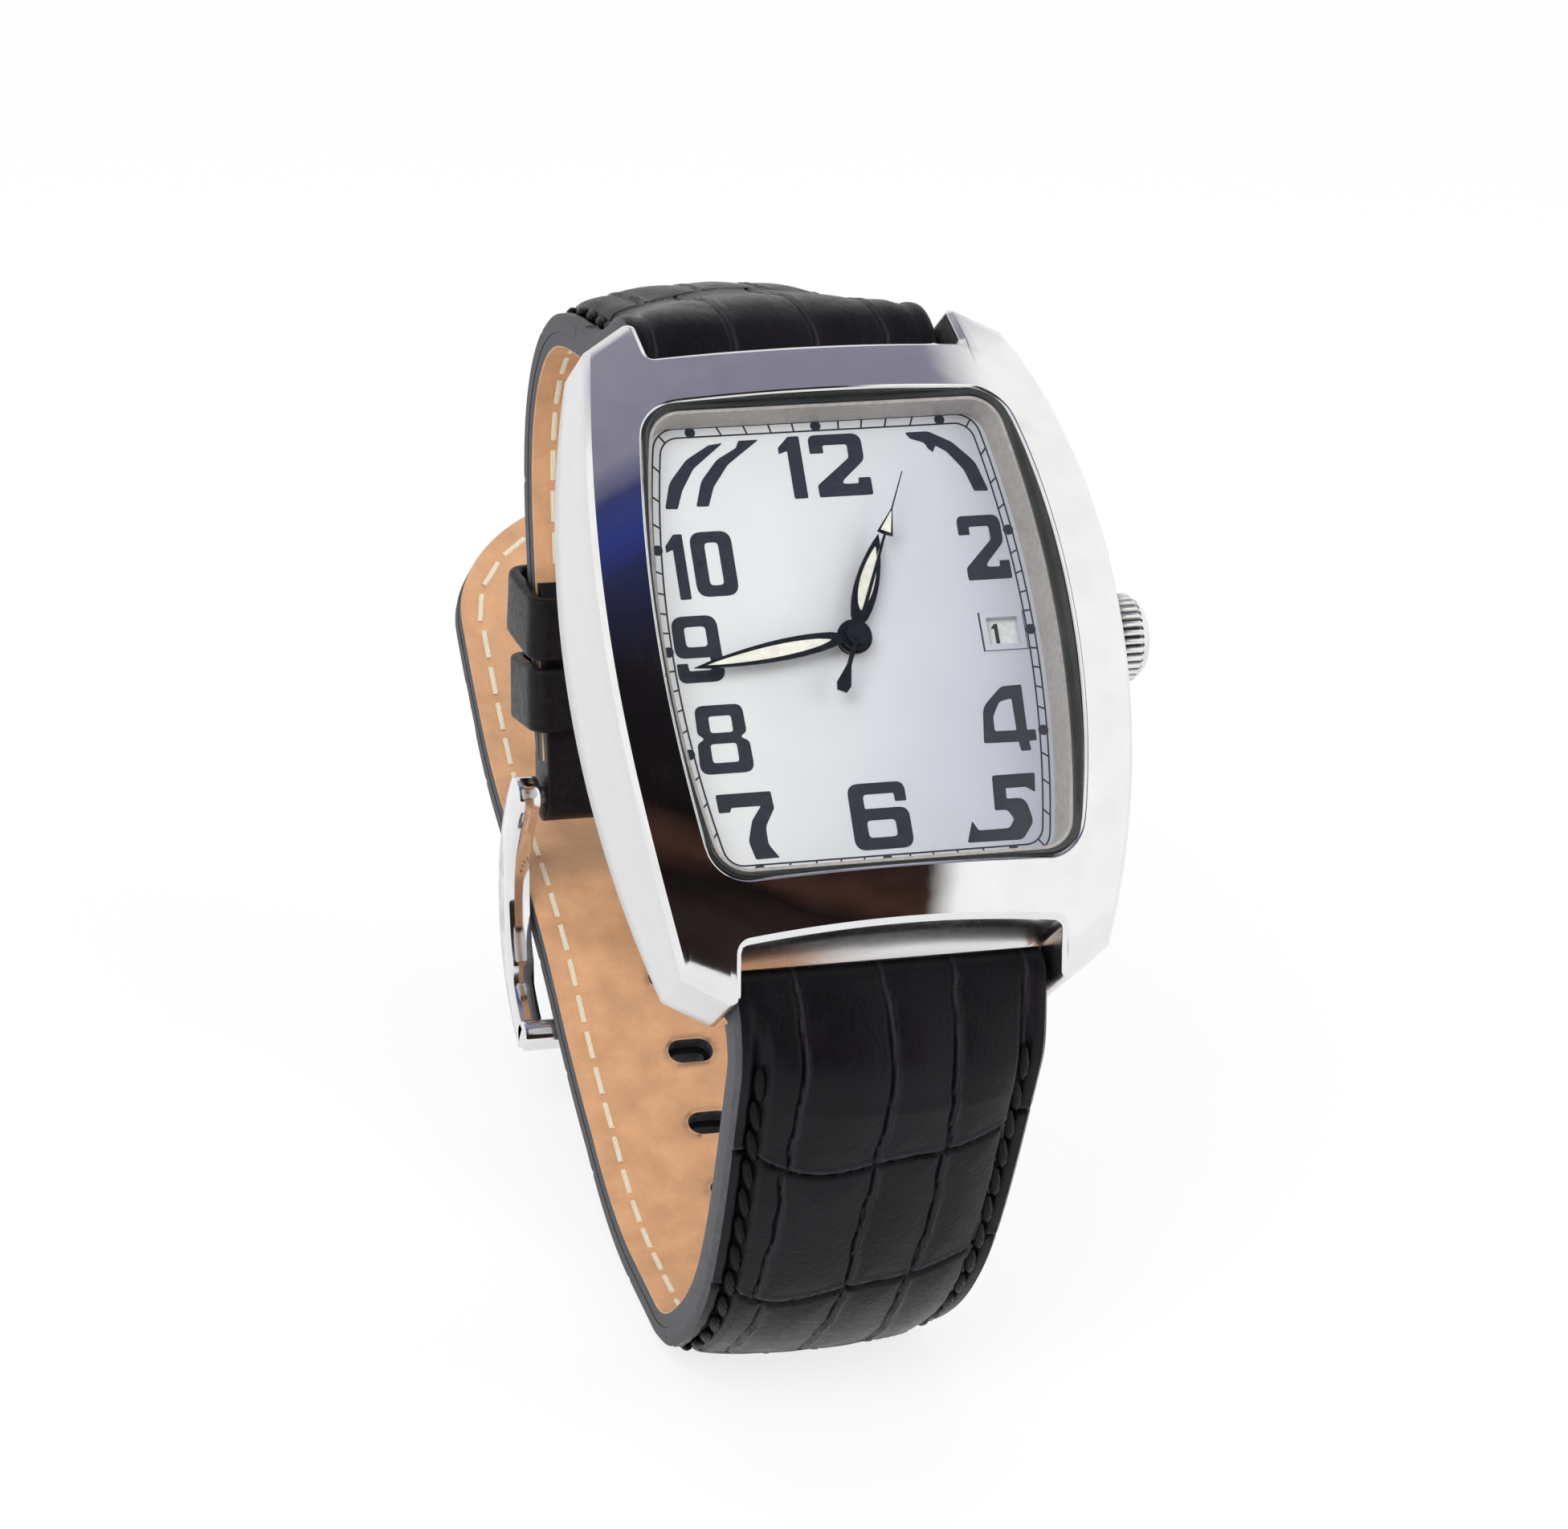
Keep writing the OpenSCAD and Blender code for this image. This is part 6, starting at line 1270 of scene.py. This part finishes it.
def build_turned_end(split):
    """Two rolls beside the tongue, and the flap folded back under the lining."""
    end, parts, room, middle = SHORT.length, [], 1.4, 0.9
    hw, top = float(strap_hw(end)) - 0.1, LINING_T + EDGE_T + 0.35
    steps = [(step, 0.0) for step in np.linspace(split - 0.02, end - 0.3, 5)]
    steps += [(end, a) for a in np.linspace(0.0, 1.5, 8)]
    for x0, x1 in ((-hw, -room), (room, hw)):
        section = rounded([(x0, -FOLD_T + 0.01, .25), (x1, -FOLD_T + 0.01, .25), (x1, top, .3),
                           (x0, top, .3)], 4)
        parts.append(loft([SHORT.point(np.full(len(section), step + END_WRAP * math.sin(sweep)),
                                       section[:, 0],
                                       middle + (section[:, 1] - middle) * math.cos(sweep))
                           for step, sweep in steps]))
    flap = []
    for step in np.arange(end - FOLD_LEN, split, 0.8).tolist() + [split]:
        thin = min(1.0, 0.35 + (step - end + FOLD_LEN) / 3)
        w = float(strap_hw(step)) - 0.15
        section = rounded([(-w, -FOLD_T * thin, .25), (w, -FOLD_T * thin, .25), (w, -0.02, .05),
                           (-w, -0.02, .05)], 3)
        flap.append(SHORT.point(np.full(len(section), step), section[:, 0], section[:, 1]))
    parts.append(loft(flap))
    turned = new_piece("short_strap_turned_end", *joined(parts), ("keeper_leather",), 45.0)
    settle(turned, "case", "black_leather")


def build_lining(name, route, start, end, width_at, holes, strap, node):
    """The tan inner leather, a thin band with softened edges that carries the holes, and the mask of the painted
    shade round them.
    """
    s = np.arange(start, end, 0.45).tolist() + [end]
    rings, places = [], []
    across = np.linspace(-1, 1, 44)
    for at in s:
        hw = max(0.12, float(width_at(np.array(at))) - 0.05)
        inner = np.c_[across * (hw - 0.08), 0.05 * np.abs(across) ** 12]
        seam = hw - strap.stitch_inset / MM
        groove = 0.07 * np.exp(-((np.abs(inner[:, 0]) - seam) / 0.3) ** 2) * (hw > 3)
        inner[:, 1] += groove
        ring = np.concatenate([inner, [(hw, 0.16), (hw, LINING_T), (0.0, LINING_T), (-hw, LINING_T),
                                       (-hw, 0.16)]])
        stations = np.full(len(ring), at)
        rings.append(route.point(stations, ring[:, 0], ring[:, 1]))
        places.append(np.c_[ring[:, 0], stations, ring[:, 1]])
    points, faces = loft(rings)
    cols = len(across) + 5
    sides = {len(across), cols - 2}
    own = [int(i >= (len(rings) - 1) * cols or i % cols in sides) for i in range(len(faces))]
    piece = new_piece(name, points, faces, ("tan_lining", "edge_paint"), 50.0, own)
    place = np.concatenate(places)
    add_vector(piece.data, "strap_place", place)
    # Mask of the painted shade round the holes: 1 at a hole's rim, falling to 0 half a millimetre away.
    dark = np.zeros(len(place))
    for hole in holes:
        dx = np.maximum(np.abs(place[:, 0]) - (HOLE_W - HOLE_H) / 2, 0)
        d = np.hypot(dx, place[:, 1] - hole) - HOLE_H / 2
        dark = np.maximum(dark, np.clip(1 - d / 0.5, 0, 1) ** 2)
    add_float(piece.data, "hole_shade", dark)
    if holes:
        cut(piece, slot_cutter("lining_cutter", route, holes, 3.0))
    return settle(piece, "case", "tan_lining", node)


def stitch_rows(route, pitch, height, width_at, stop, inset, flip, slant):
    """Points, directions and ups of stitches along both edges; they follow the outline round a tail."""
    along = np.linspace(STITCH_START, stop, 900)
    w = width_at(along)
    slope = np.gradient(w, along)
    far = np.hypot(1, slope)
    s, x = along + inset * slope / far, w - inset / far
    keep = (x > 0.9) & (np.r_[True, np.diff(s) > 0] | (slope < -1))
    s, x = s[keep], x[keep]
    run = np.r_[0, np.cumsum(np.hypot(np.diff(s), np.diff(x)))]
    marks = np.arange(0.0, run[-1], pitch)
    points, lies, ups = [], [], []
    for side in (-1, 1):
        for mark in marks:
            here, there = mark, min(mark + 0.3, run[-1])
            if there - here < 0.2:
                continue
            a, b = ((float(np.interp(m, run, s)), side * float(np.interp(m, run, x))) for m in (here, there))
            lean = slant * (b[0] - a[0])
            p = route.point(np.array([a[0], b[0]]), np.array([a[1], b[1] + lean]), np.array([height, height]))
            n = away(float(route.at(a[0])[2]), route.side) * flip
            points.append(p[0])
            lies.append(p[1] - p[0])
            ups.append((0.0, n[0], n[1]))
    return points, lies, ups


def build_stitches(strap):
    """Black twisted thread sunk beside the padding, and cream thread on the lining."""
    sunk = (strap.stitch_len, 2.0 * strap.thread_r, 1.7 * strap.thread_r)
    for kind, shape, pitch, height, flip, slant, size, finish, slot in (
            ("strap", "stitch", strap.stitch_pitch / MM, LINING_T + EDGE_T + 0.04, 1, 0.24, sunk,
             "black_thread",
             "black_leather"),
            ("lining", "dash", LINING_PITCH, 0.04, -1, 0.0, LINING_DASH, "cream_thread", "tan_lining")):
        for half, route, width, stop in (("long", LONG, tail_hw, LONG.length - 0.01),
                                         ("short", SHORT, strap_hw, SHORT.length - FOLD_LEN - 2)):
            found = stitch_rows(route, pitch, height, width, stop, strap.stitch_inset / MM, flip, slant)
            settle(repeated("%s_%s_stitches" % (half, kind), shape, *found, size, finish), "case", slot)


def build_keeper(name, before, tilt, body):
    """A folded band of leather round the short strap, soft at its edges."""
    at = SHORT.length - before
    y, z, h = (float(a) for a in SHORT.at(at))
    inner_hw = float(strap_hw(np.array(at))) + 0.15
    low = -FOLD_T - 0.15 - (0.5 if tilt > 0 else 0.0)
    high = LINING_T + EDGE_T + 0.35 + KEEPER_ROOM
    loop = rounded([(inner_hw + 0.5, low - 0.5, 1.1), (inner_hw + 0.5, high + 0.5, 1.3),
                    (-inner_hw - 0.5, high + 0.5, 1.3), (-inner_hw - 0.5, low - 0.5, 1.1)], 8)
    dense = []
    for a, b in zip(loop, np.roll(loop, -1, 0)):
        n = max(1, int(np.linalg.norm(b - a) / 0.7))
        dense += [a + (b - a) * k / n for k in range(n)]
    loop = np.array(dense)
    step = np.roll(loop, -1, 0) - np.roll(loop, 1, 0)
    step /= np.linalg.norm(step, axis=1)[:, None]
    out = np.c_[step[:, 1], -step[:, 0]]
    if np.mean(np.sum(out * loop, 1)) < 0:
        out = -out
    half_w, half_t = KEEPER_W / 2 - 0.02, KEEPER_T / 2 - 0.03
    section = rounded([(-half_w, -half_t, .42), (half_w, -half_t, .42), (half_w, half_t, .42),
                       (-half_w, half_t, .42)], 5)
    rings = []
    for k, (c, o) in enumerate(zip(loop, out)):
        swell = 1 + 0.025 * math.sin(k * 0.9) + 0.02 * math.sin(k * 0.37)
        x = c[0] + section[:, 1] * o[0] * swell
        height = c[1] + section[:, 1] * o[1] * swell
        along = section[:, 0]
        t = math.radians(tilt)
        along, height = along * math.cos(t) - height * math.sin(t), along * math.sin(t) + height * math.cos(t)
        d, n = ahead(h), np.array((-math.sin(math.radians(h)), math.cos(math.radians(h))))
        rings.append(np.c_[x, y + along * d[0] + height * n[0], z + along * d[1] + height * n[1]])
    points, faces = loft(rings, loop=True)
    piece = new_piece(name + "_leather", points, faces, ("keeper_leather",), 50.0)
    return settle(piece, body, "black_leather", name)


# ---------------------------------------------------------------- buckle
FAR_BAR = BUCKLE_BAR + BUCKLE_LEN * ahead(BUCKLE_A)
ARCH_R = ((BUCKLE_LEN / 2) ** 2 + ARM_ARCH ** 2) / (2 * ARM_ARCH)
ARCH_C = (BUCKLE_BAR + FAR_BAR) / 2 + (ARCH_R - ARM_ARCH) * ahead(BUCKLE_A - 90)
ARM_IN = STRAP_END_HW + 0.3


def soft_slab(outline, x0, x1, soft):
    """A flat shape in side view [y, z], thick along x, with rounded rims."""
    outline = np.asarray(outline, float)
    area = 0.5 * np.sum(outline[:, 0] * np.roll(outline[:, 1], -1) - np.roll(outline[:, 0], -1) * outline[:,
                                                                                                          1])
    step = np.roll(outline, -1, 0) - np.roll(outline, 1, 0)
    step /= np.maximum(np.linalg.norm(step, axis=1), 1e-9)[:, None]
    inward = np.c_[-step[:, 1], step[:, 0]] * (1 if area > 0 else -1)
    rings = []
    for x, inset in ((x0, soft), (x0 + soft * 0.3, soft * 0.3), (x0 + soft, 0.0), (x1 - soft, 0.0),
                     (x1 - soft * 0.3, soft * 0.3), (x1, soft)):
        ring = outline + inward * inset
        rings.append(np.c_[np.full(len(ring), x), ring])
    return loft(rings)


def build_buckle():
    """The arched polished frame with its far bar, and the spring bar's caps."""
    start = math.degrees(math.atan2(*(BUCKLE_BAR - ARCH_C)[::-1]))
    stop = math.degrees(math.atan2(*(FAR_BAR - ARCH_C)[::-1]))
    n = 60

    def thinned(t):
        return ARM_DEPTH / 2 - 0.8 * min(1.0, max(0.0, (t - 0.72) / 0.08))

    outer = [ARCH_C + (ARCH_R + ARM_DEPTH / 2) * ahead(start + (stop - start) * i / n) for i in range(n + 1)]
    inner = [ARCH_C + (ARCH_R - thinned(1 - i / n)) * ahead(start + (stop - start) * (1 - i / n))
             for i in range(n + 1)]
    round_end = [BUCKLE_BAR + ARM_DEPTH / 2 * ahead(start + 180 - 180 * i / 16) for i in range(1, 16)]
    shape = outer + inner + round_end
    parts = [soft_slab(shape, x, x + ARM_T, 0.22) for x in (ARM_IN, -ARM_IN - ARM_T)]
    reach = ARM_IN + ARM_T
    rings = []
    for x, r in ((-reach, 0.75), (-reach + 0.1, 0.93), (-reach + 0.3, 1.0), (reach - 0.3, 1.0),
                 (reach - 0.1, 0.93),
                 (reach, 0.75)):
        rings.append([(x, *(FAR_BAR + FAR_R * r * ahead(a))) for a in range(0, 360, 9)])
    parts.append(loft(rings))
    piece = new_piece("arched_buckle", *joined(parts), ("buckle_polish",), 35.0)
    settle(piece, "buckle", "polished_steel", "buckle_frame")
    ends = []
    for side in (-1, 1):
        rings = [[(side * x, *(BUCKLE_BAR + r * ahead(a))) for a in range(0, 360, 15)]
                 for x, r in ((ARM_IN + ARM_T - 0.1, 0.44), (ARM_IN + ARM_T - 0.02, 0.44),
                              (ARM_IN + ARM_T - 0.01, 0.3))]
        ends.append(loft(rings))
    settle(new_piece("buckle_bar_ends", *joined(ends), ("tube_steel",), 30.0), "buckle", "spring_steel")


def plain_finish():
    """Every CAD node that still shows takes the node material of its own slot."""
    by_slot = {"case_steel": "flank_satin", "polished_steel": "buckle_polish", "inner_steel": "tube_steel",
               "blued_screws": "screw_blue", "sapphire": "clear_crystal", "black_rubber": "black_rubber",
               "dial_silver": "dial_plate", "ring_beige": "ring_enamel", "hand_black": "hand_enamel",
               "date_white": "date_white", "plate_nickel": "nickel_plate", "gilt_brass": "gilt_brass",
               "rotor_metal": "rotor_metal", "spring_steel": "spring_steel",
               "black_leather": "keeper_leather",
               "tan_lining": "keeper_leather"}
    by_node = {"case_back": "back_brushed"}
    for node, thing in frame["nodes"].items():
        finish = by_node.get(node) or by_slot[SLOT_OF.get(node, "inner_steel")]
        if not thing.material_slots:
            thing.data.materials.append(finish_named(finish))
        for slot in thing.material_slots:
            slot.material = finish_named(finish)


# ---------------------------------------------------------------- stage
CAMERA_AT = np.array((-120.399, -112.447, 347.219))
CAMERA_AXES = ((0.951190, -0.154905, 0.266912), (0.068263, 0.949083, 0.307541),
               (-0.300961, -0.274310, 0.913333))


def build_camera():
    camera = bpy.data.cameras.new("photo_camera")
    camera.lens, camera.sensor_width, camera.sensor_fit = 133.94, 36.0, "HORIZONTAL"
    camera.clip_start, camera.clip_end = 0.01, 20.0
    thing = linked("photo_camera", camera)
    axes = [placed([a])[0] / MM - CENTRE / MM for a in CAMERA_AXES]
    turn = Matrix([Vector(a).normalized() for a in axes]).transposed().to_4x4()
    thing.matrix_world = Matrix.Translation(Vector(placed([CAMERA_AT])[0])) @ turn
    bpy.context.scene.camera = thing


def stage_mesh(name, points, faces, material):
    mesh = bpy.data.meshes.new(name)
    mesh.from_pydata(points, [], faces)
    mesh.materials.append(material)
    thing = linked(name, mesh)
    return thing


def build_tent(radius=0.42):
    """A half dome that only polished surfaces see: white at one side, with a dark, blue and grey band."""
    points, rings, turns = [], 24, 48
    for i in range(rings + 1):
        a = math.radians(90 * i / rings)
        for j in range(turns):
            b = 2 * math.pi * j / turns
            points.append((CENTRE[0] + radius * math.sin(a) * math.cos(b),
                           CENTRE[1] + radius * math.sin(a) * math.sin(b),
                           0.002 + (radius + CENTRE[2]) * math.cos(a)))
    m = Nodes("tent_paint")
    coords = m.add("ShaderNodeTexCoord")
    out = m.add("ShaderNodeVectorMath", {0: coords.outputs["Object"], 1: tuple(CENTRE)}, operation="SUBTRACT")
    way = m.add("ShaderNodeVectorMath", {0: out.outputs[0]}, operation="NORMALIZE").outputs[0]
    drift = m.mapped(m.noise(way, 2.6, 3.0), 0.0, 1.0, -0.12, 0.12)
    axes = m.add("ShaderNodeSeparateXYZ", {"Vector": way})
    y = m.sum(axes.outputs["Y"], drift)
    x = m.sum(axes.outputs["X"], m.sum(drift, 0.4, "MULTIPLY"))
    ramp = m.add("ShaderNodeValToRGB", {"Fac": m.mapped(y, -1.0, 1.0, 0.0, 1.0)})
    stops = [(-1.0, (0.03, 0.02, 0.018)), (-0.93, (0.010, 0.007, 0.007)), (-0.88, (0.06, 0.028, 0.02)),
             (-0.80, (0.008, 0.006, 0.006)), (-0.52, (0.014, 0.012, 0.016)), (-0.40, (0.028, 0.03, 0.08)),
             (-0.30, (0.035, 0.05, 0.23)), (-0.16, (0.05, 0.06, 0.17)), (-0.02, (0.27, 0.26, 0.34)),
             (0.6, (0.31, 0.30, 0.37)), (0.85, (0.9, 0.9, 0.9))]
    band = ramp.color_ramp
    while len(band.elements) < len(stops):
        band.elements.new(0.5)
    for element, (at, colour) in zip(band.elements, stops):
        element.position = (at + 1) / 2
        element.color = (*colour, 1.0)
    edge = m.mapped(axes.outputs["Y"], -0.5, 0.1, 0.40, 0.55)
    bright = m.mapped(m.sum(x, edge, "SUBTRACT"), -0.035, 0.045, 0.0, 1.0)
    left = m.mapped(x, -0.72, -0.5, 1.0, 0.0)
    white = m.add("ShaderNodeMath", {0: bright, 1: left}, operation="MAXIMUM").outputs[0]
    glow = m.add("ShaderNodeEmission", {"Color": m.mix(white, ramp.outputs["Color"], (1.12, 1.12, 1.10)),
                                        "Strength": 1.0})
    m.show(glow)
    tent = stage_mesh("reflection_tent", points, grid_faces(rings + 1, turns), m.mat)
    tent.visible_camera = tent.visible_diffuse = tent.visible_shadow = tent.visible_transmission = False


def lamp(name, at, size, energy):
    """A square lamp that faces the dial's centre."""
    light = bpy.data.lights.new(name, "AREA")
    light.shape, light.size, light.energy = "SQUARE", size, energy
    aim = (Vector(CENTRE) - Vector(at)).to_track_quat("-Z", "Y").to_matrix().to_4x4()
    linked(name, light).matrix_world = Matrix.Translation(Vector(at)) @ aim


def build_stage(settings):
    """Camera, white floor and surround, three soft lamps and the dome that the steel reflects."""
    build_camera()
    scene = bpy.context.scene
    scene.view_settings.view_transform = "Standard"
    m = Nodes("floor_white")
    paint = m.add("ShaderNodeBsdfDiffuse", {"Color": (0.9, 0.9, 0.91, 1.0)})
    glow = m.add("ShaderNodeEmission", {"Color": (1, 1, 1, 1), "Strength": 1.0})
    m.show(m.add("ShaderNodeMixShader", {0: m.sum(m.seen(), 0.8, "MULTIPLY"), 1: paint.outputs[0],
                                         2: glow.outputs[0]}))
    stage_mesh("studio_floor", [(-3, -3, 0), (3, -3, 0), (3, 3, 0), (-3, 3, 0)], [(0, 1, 2, 3)], m.mat)
    scene.world = bpy.data.worlds.new("studio_room")
    m = Nodes("studio_room", scene.world)
    m.show(m.add("ShaderNodeBackground", {"Color": (1, 1, 1, 1),
                                          "Strength": m.mapped(m.seen(), 0.0, 1.0, settings.room, 1.0)}))
    lamp("key_softbox", (-0.30, -0.28, 0.48), 0.36, settings.key_power)
    lamp("fill_softbox", (0.42, -0.20, 0.30), 0.36, settings.fill_power)
    lamp("top_softbox", (0.02, 0.22, 0.60), 0.40, settings.top_power)
    if settings.tent:
        build_tent()


# ---------------------------------------------------------------- operators
class WATCH_OT_case(bpy.types.Operator):
    """Build the case, the sloping ring, the crystal and the crown"""
    bl_idname = "watch.case"
    bl_label = "Case and crystal"

    def execute(self, context):
        steel = context.scene.watch_steel
        build_case()
        build_ring()
        build_crystal()
        build_crown(steel.knurls, steel.knurl_depth)
        return {"FINISHED"}


class WATCH_OT_print(bpy.types.Operator):
    """Print the dial: numerals, track, minute marks, dots and the date numbers"""
    bl_idname = "watch.print"
    bl_label = "Dial print"

    def execute(self, context):
        dial = context.scene.watch_dial
        build_print(dial.print_t, dial.dot_r)
        build_date()
        return {"FINISHED"}


class WATCH_OT_hands(bpy.types.Operator):
    """Fill the hands with their pale inlays"""
    bl_idname = "watch.hands"
    bl_label = "Hand inlays"

    def execute(self, context):
        build_hands()
        return {"FINISHED"}


class WATCH_OT_outer(bpy.types.Operator):
    """Build both straps' padded outer leather with its scales, holes and turned end"""
    bl_idname = "watch.outer_leather"
    bl_label = "Outer leather"

    def execute(self, context):
        build_long_outer(context.scene.watch_strap)
        build_short_outer(context.scene.watch_strap)
        return {"FINISHED"}


class WATCH_OT_lining(bpy.types.Operator):
    """Build both straps' tan linings"""
    bl_idname = "watch.lining"
    bl_label = "Lining"

    def execute(self, context):
        strap = context.scene.watch_strap
        start = LUG_WRAP + 0.05
        build_lining("long_strap_tan", LONG, start, LONG.length - 0.15, tail_hw, HOLES, strap,
                     "long_strap_lining")
        build_lining("short_strap_tan", SHORT, start, SHORT.length - SPLIT - 0.05, strap_hw, [], strap,
                     "short_strap_lining")
        return {"FINISHED"}


class WATCH_OT_stitches(bpy.types.Operator):
    """Sew the straps, outside and on the lining"""
    bl_idname = "watch.stitches"
    bl_label = "Stitches"

    def execute(self, context):
        build_stitches(context.scene.watch_strap)
        return {"FINISHED"}


class WATCH_OT_keepers(bpy.types.Operator):
    """Build the fixed and the free keeper"""
    bl_idname = "watch.keepers"
    bl_label = "Keepers"

    def execute(self, context):
        build_keeper("fixed_keeper", KEEPER_BEFORE, 0.0, "case")
        build_keeper("free_keeper", KEEPER_BEFORE + KEEPER_W + KEEPER_APART, KEEPER_LEAN, "free_keeper")
        return {"FINISHED"}


class WATCH_OT_buckle(bpy.types.Operator):
    """Build the polished buckle and its bar's ends"""
    bl_idname = "watch.buckle"
    bl_label = "Buckle"

    def execute(self, context):
        build_buckle()
        return {"FINISHED"}


class WATCH_OT_finish(bpy.types.Operator):
    """Give every carried-over part of the frame its own finish"""
    bl_idname = "watch.finish"
    bl_label = "Finishes"

    def execute(self, context):
        plain_finish()
        return {"FINISHED"}


class WATCH_OT_stage(bpy.types.Operator):
    """Set up the camera, the white floor, the lamps and the dome that the steel reflects"""
    bl_idname = "watch.stage"
    bl_label = "Stage"

    def execute(self, context):
        build_stage(context.scene.watch_stage)
        return {"FINISHED"}


OPERATORS = (WATCH_OT_stage, WATCH_OT_finish, WATCH_OT_case, WATCH_OT_print, WATCH_OT_hands, WATCH_OT_outer,
             WATCH_OT_lining, WATCH_OT_stitches, WATCH_OT_keepers, WATCH_OT_buckle)
SETTINGS = (("watch_steel", WatchSteelSettings), ("watch_dial", WatchDialSettings),
            ("watch_strap", WatchStrapSettings), ("watch_stage", WatchStageSettings))


class WATCH_PT_panel(bpy.types.Panel):
    """Sizes, colours and building steps of the watch"""
    bl_idname = "WATCH_PT_panel"
    bl_label = "Watch"
    bl_space_type = "VIEW_3D"
    bl_region_type = "UI"
    bl_category = "Watch"

    def draw(self, context):
        for attribute, group in SETTINGS:
            column = self.layout.column(align=True)
            column.label(text=group.__doc__)
            for key in group.__annotations__:
                column.prop(getattr(context.scene, attribute), key)
        for operator in OPERATORS:
            self.layout.operator(operator.bl_idname)


def register():
    for _, group in SETTINGS:
        bpy.utils.register_class(group)
    for attribute, group in SETTINGS:
        setattr(bpy.types.Scene, attribute, PointerProperty(type=group))
    for kind in (*OPERATORS, WATCH_PT_panel):
        bpy.utils.register_class(kind)


def unregister():
    for kind in (WATCH_PT_panel, *reversed(OPERATORS)):
        bpy.utils.unregister_class(kind)
    for attribute, group in reversed(SETTINGS):
        delattr(bpy.types.Scene, attribute)
        bpy.utils.unregister_class(group)


def main():
    register()
    for operator in OPERATORS:
        group, name = operator.bl_idname.split(".")
        getattr(getattr(bpy.ops, group), name)()


if __name__ == "__main__":
    main()
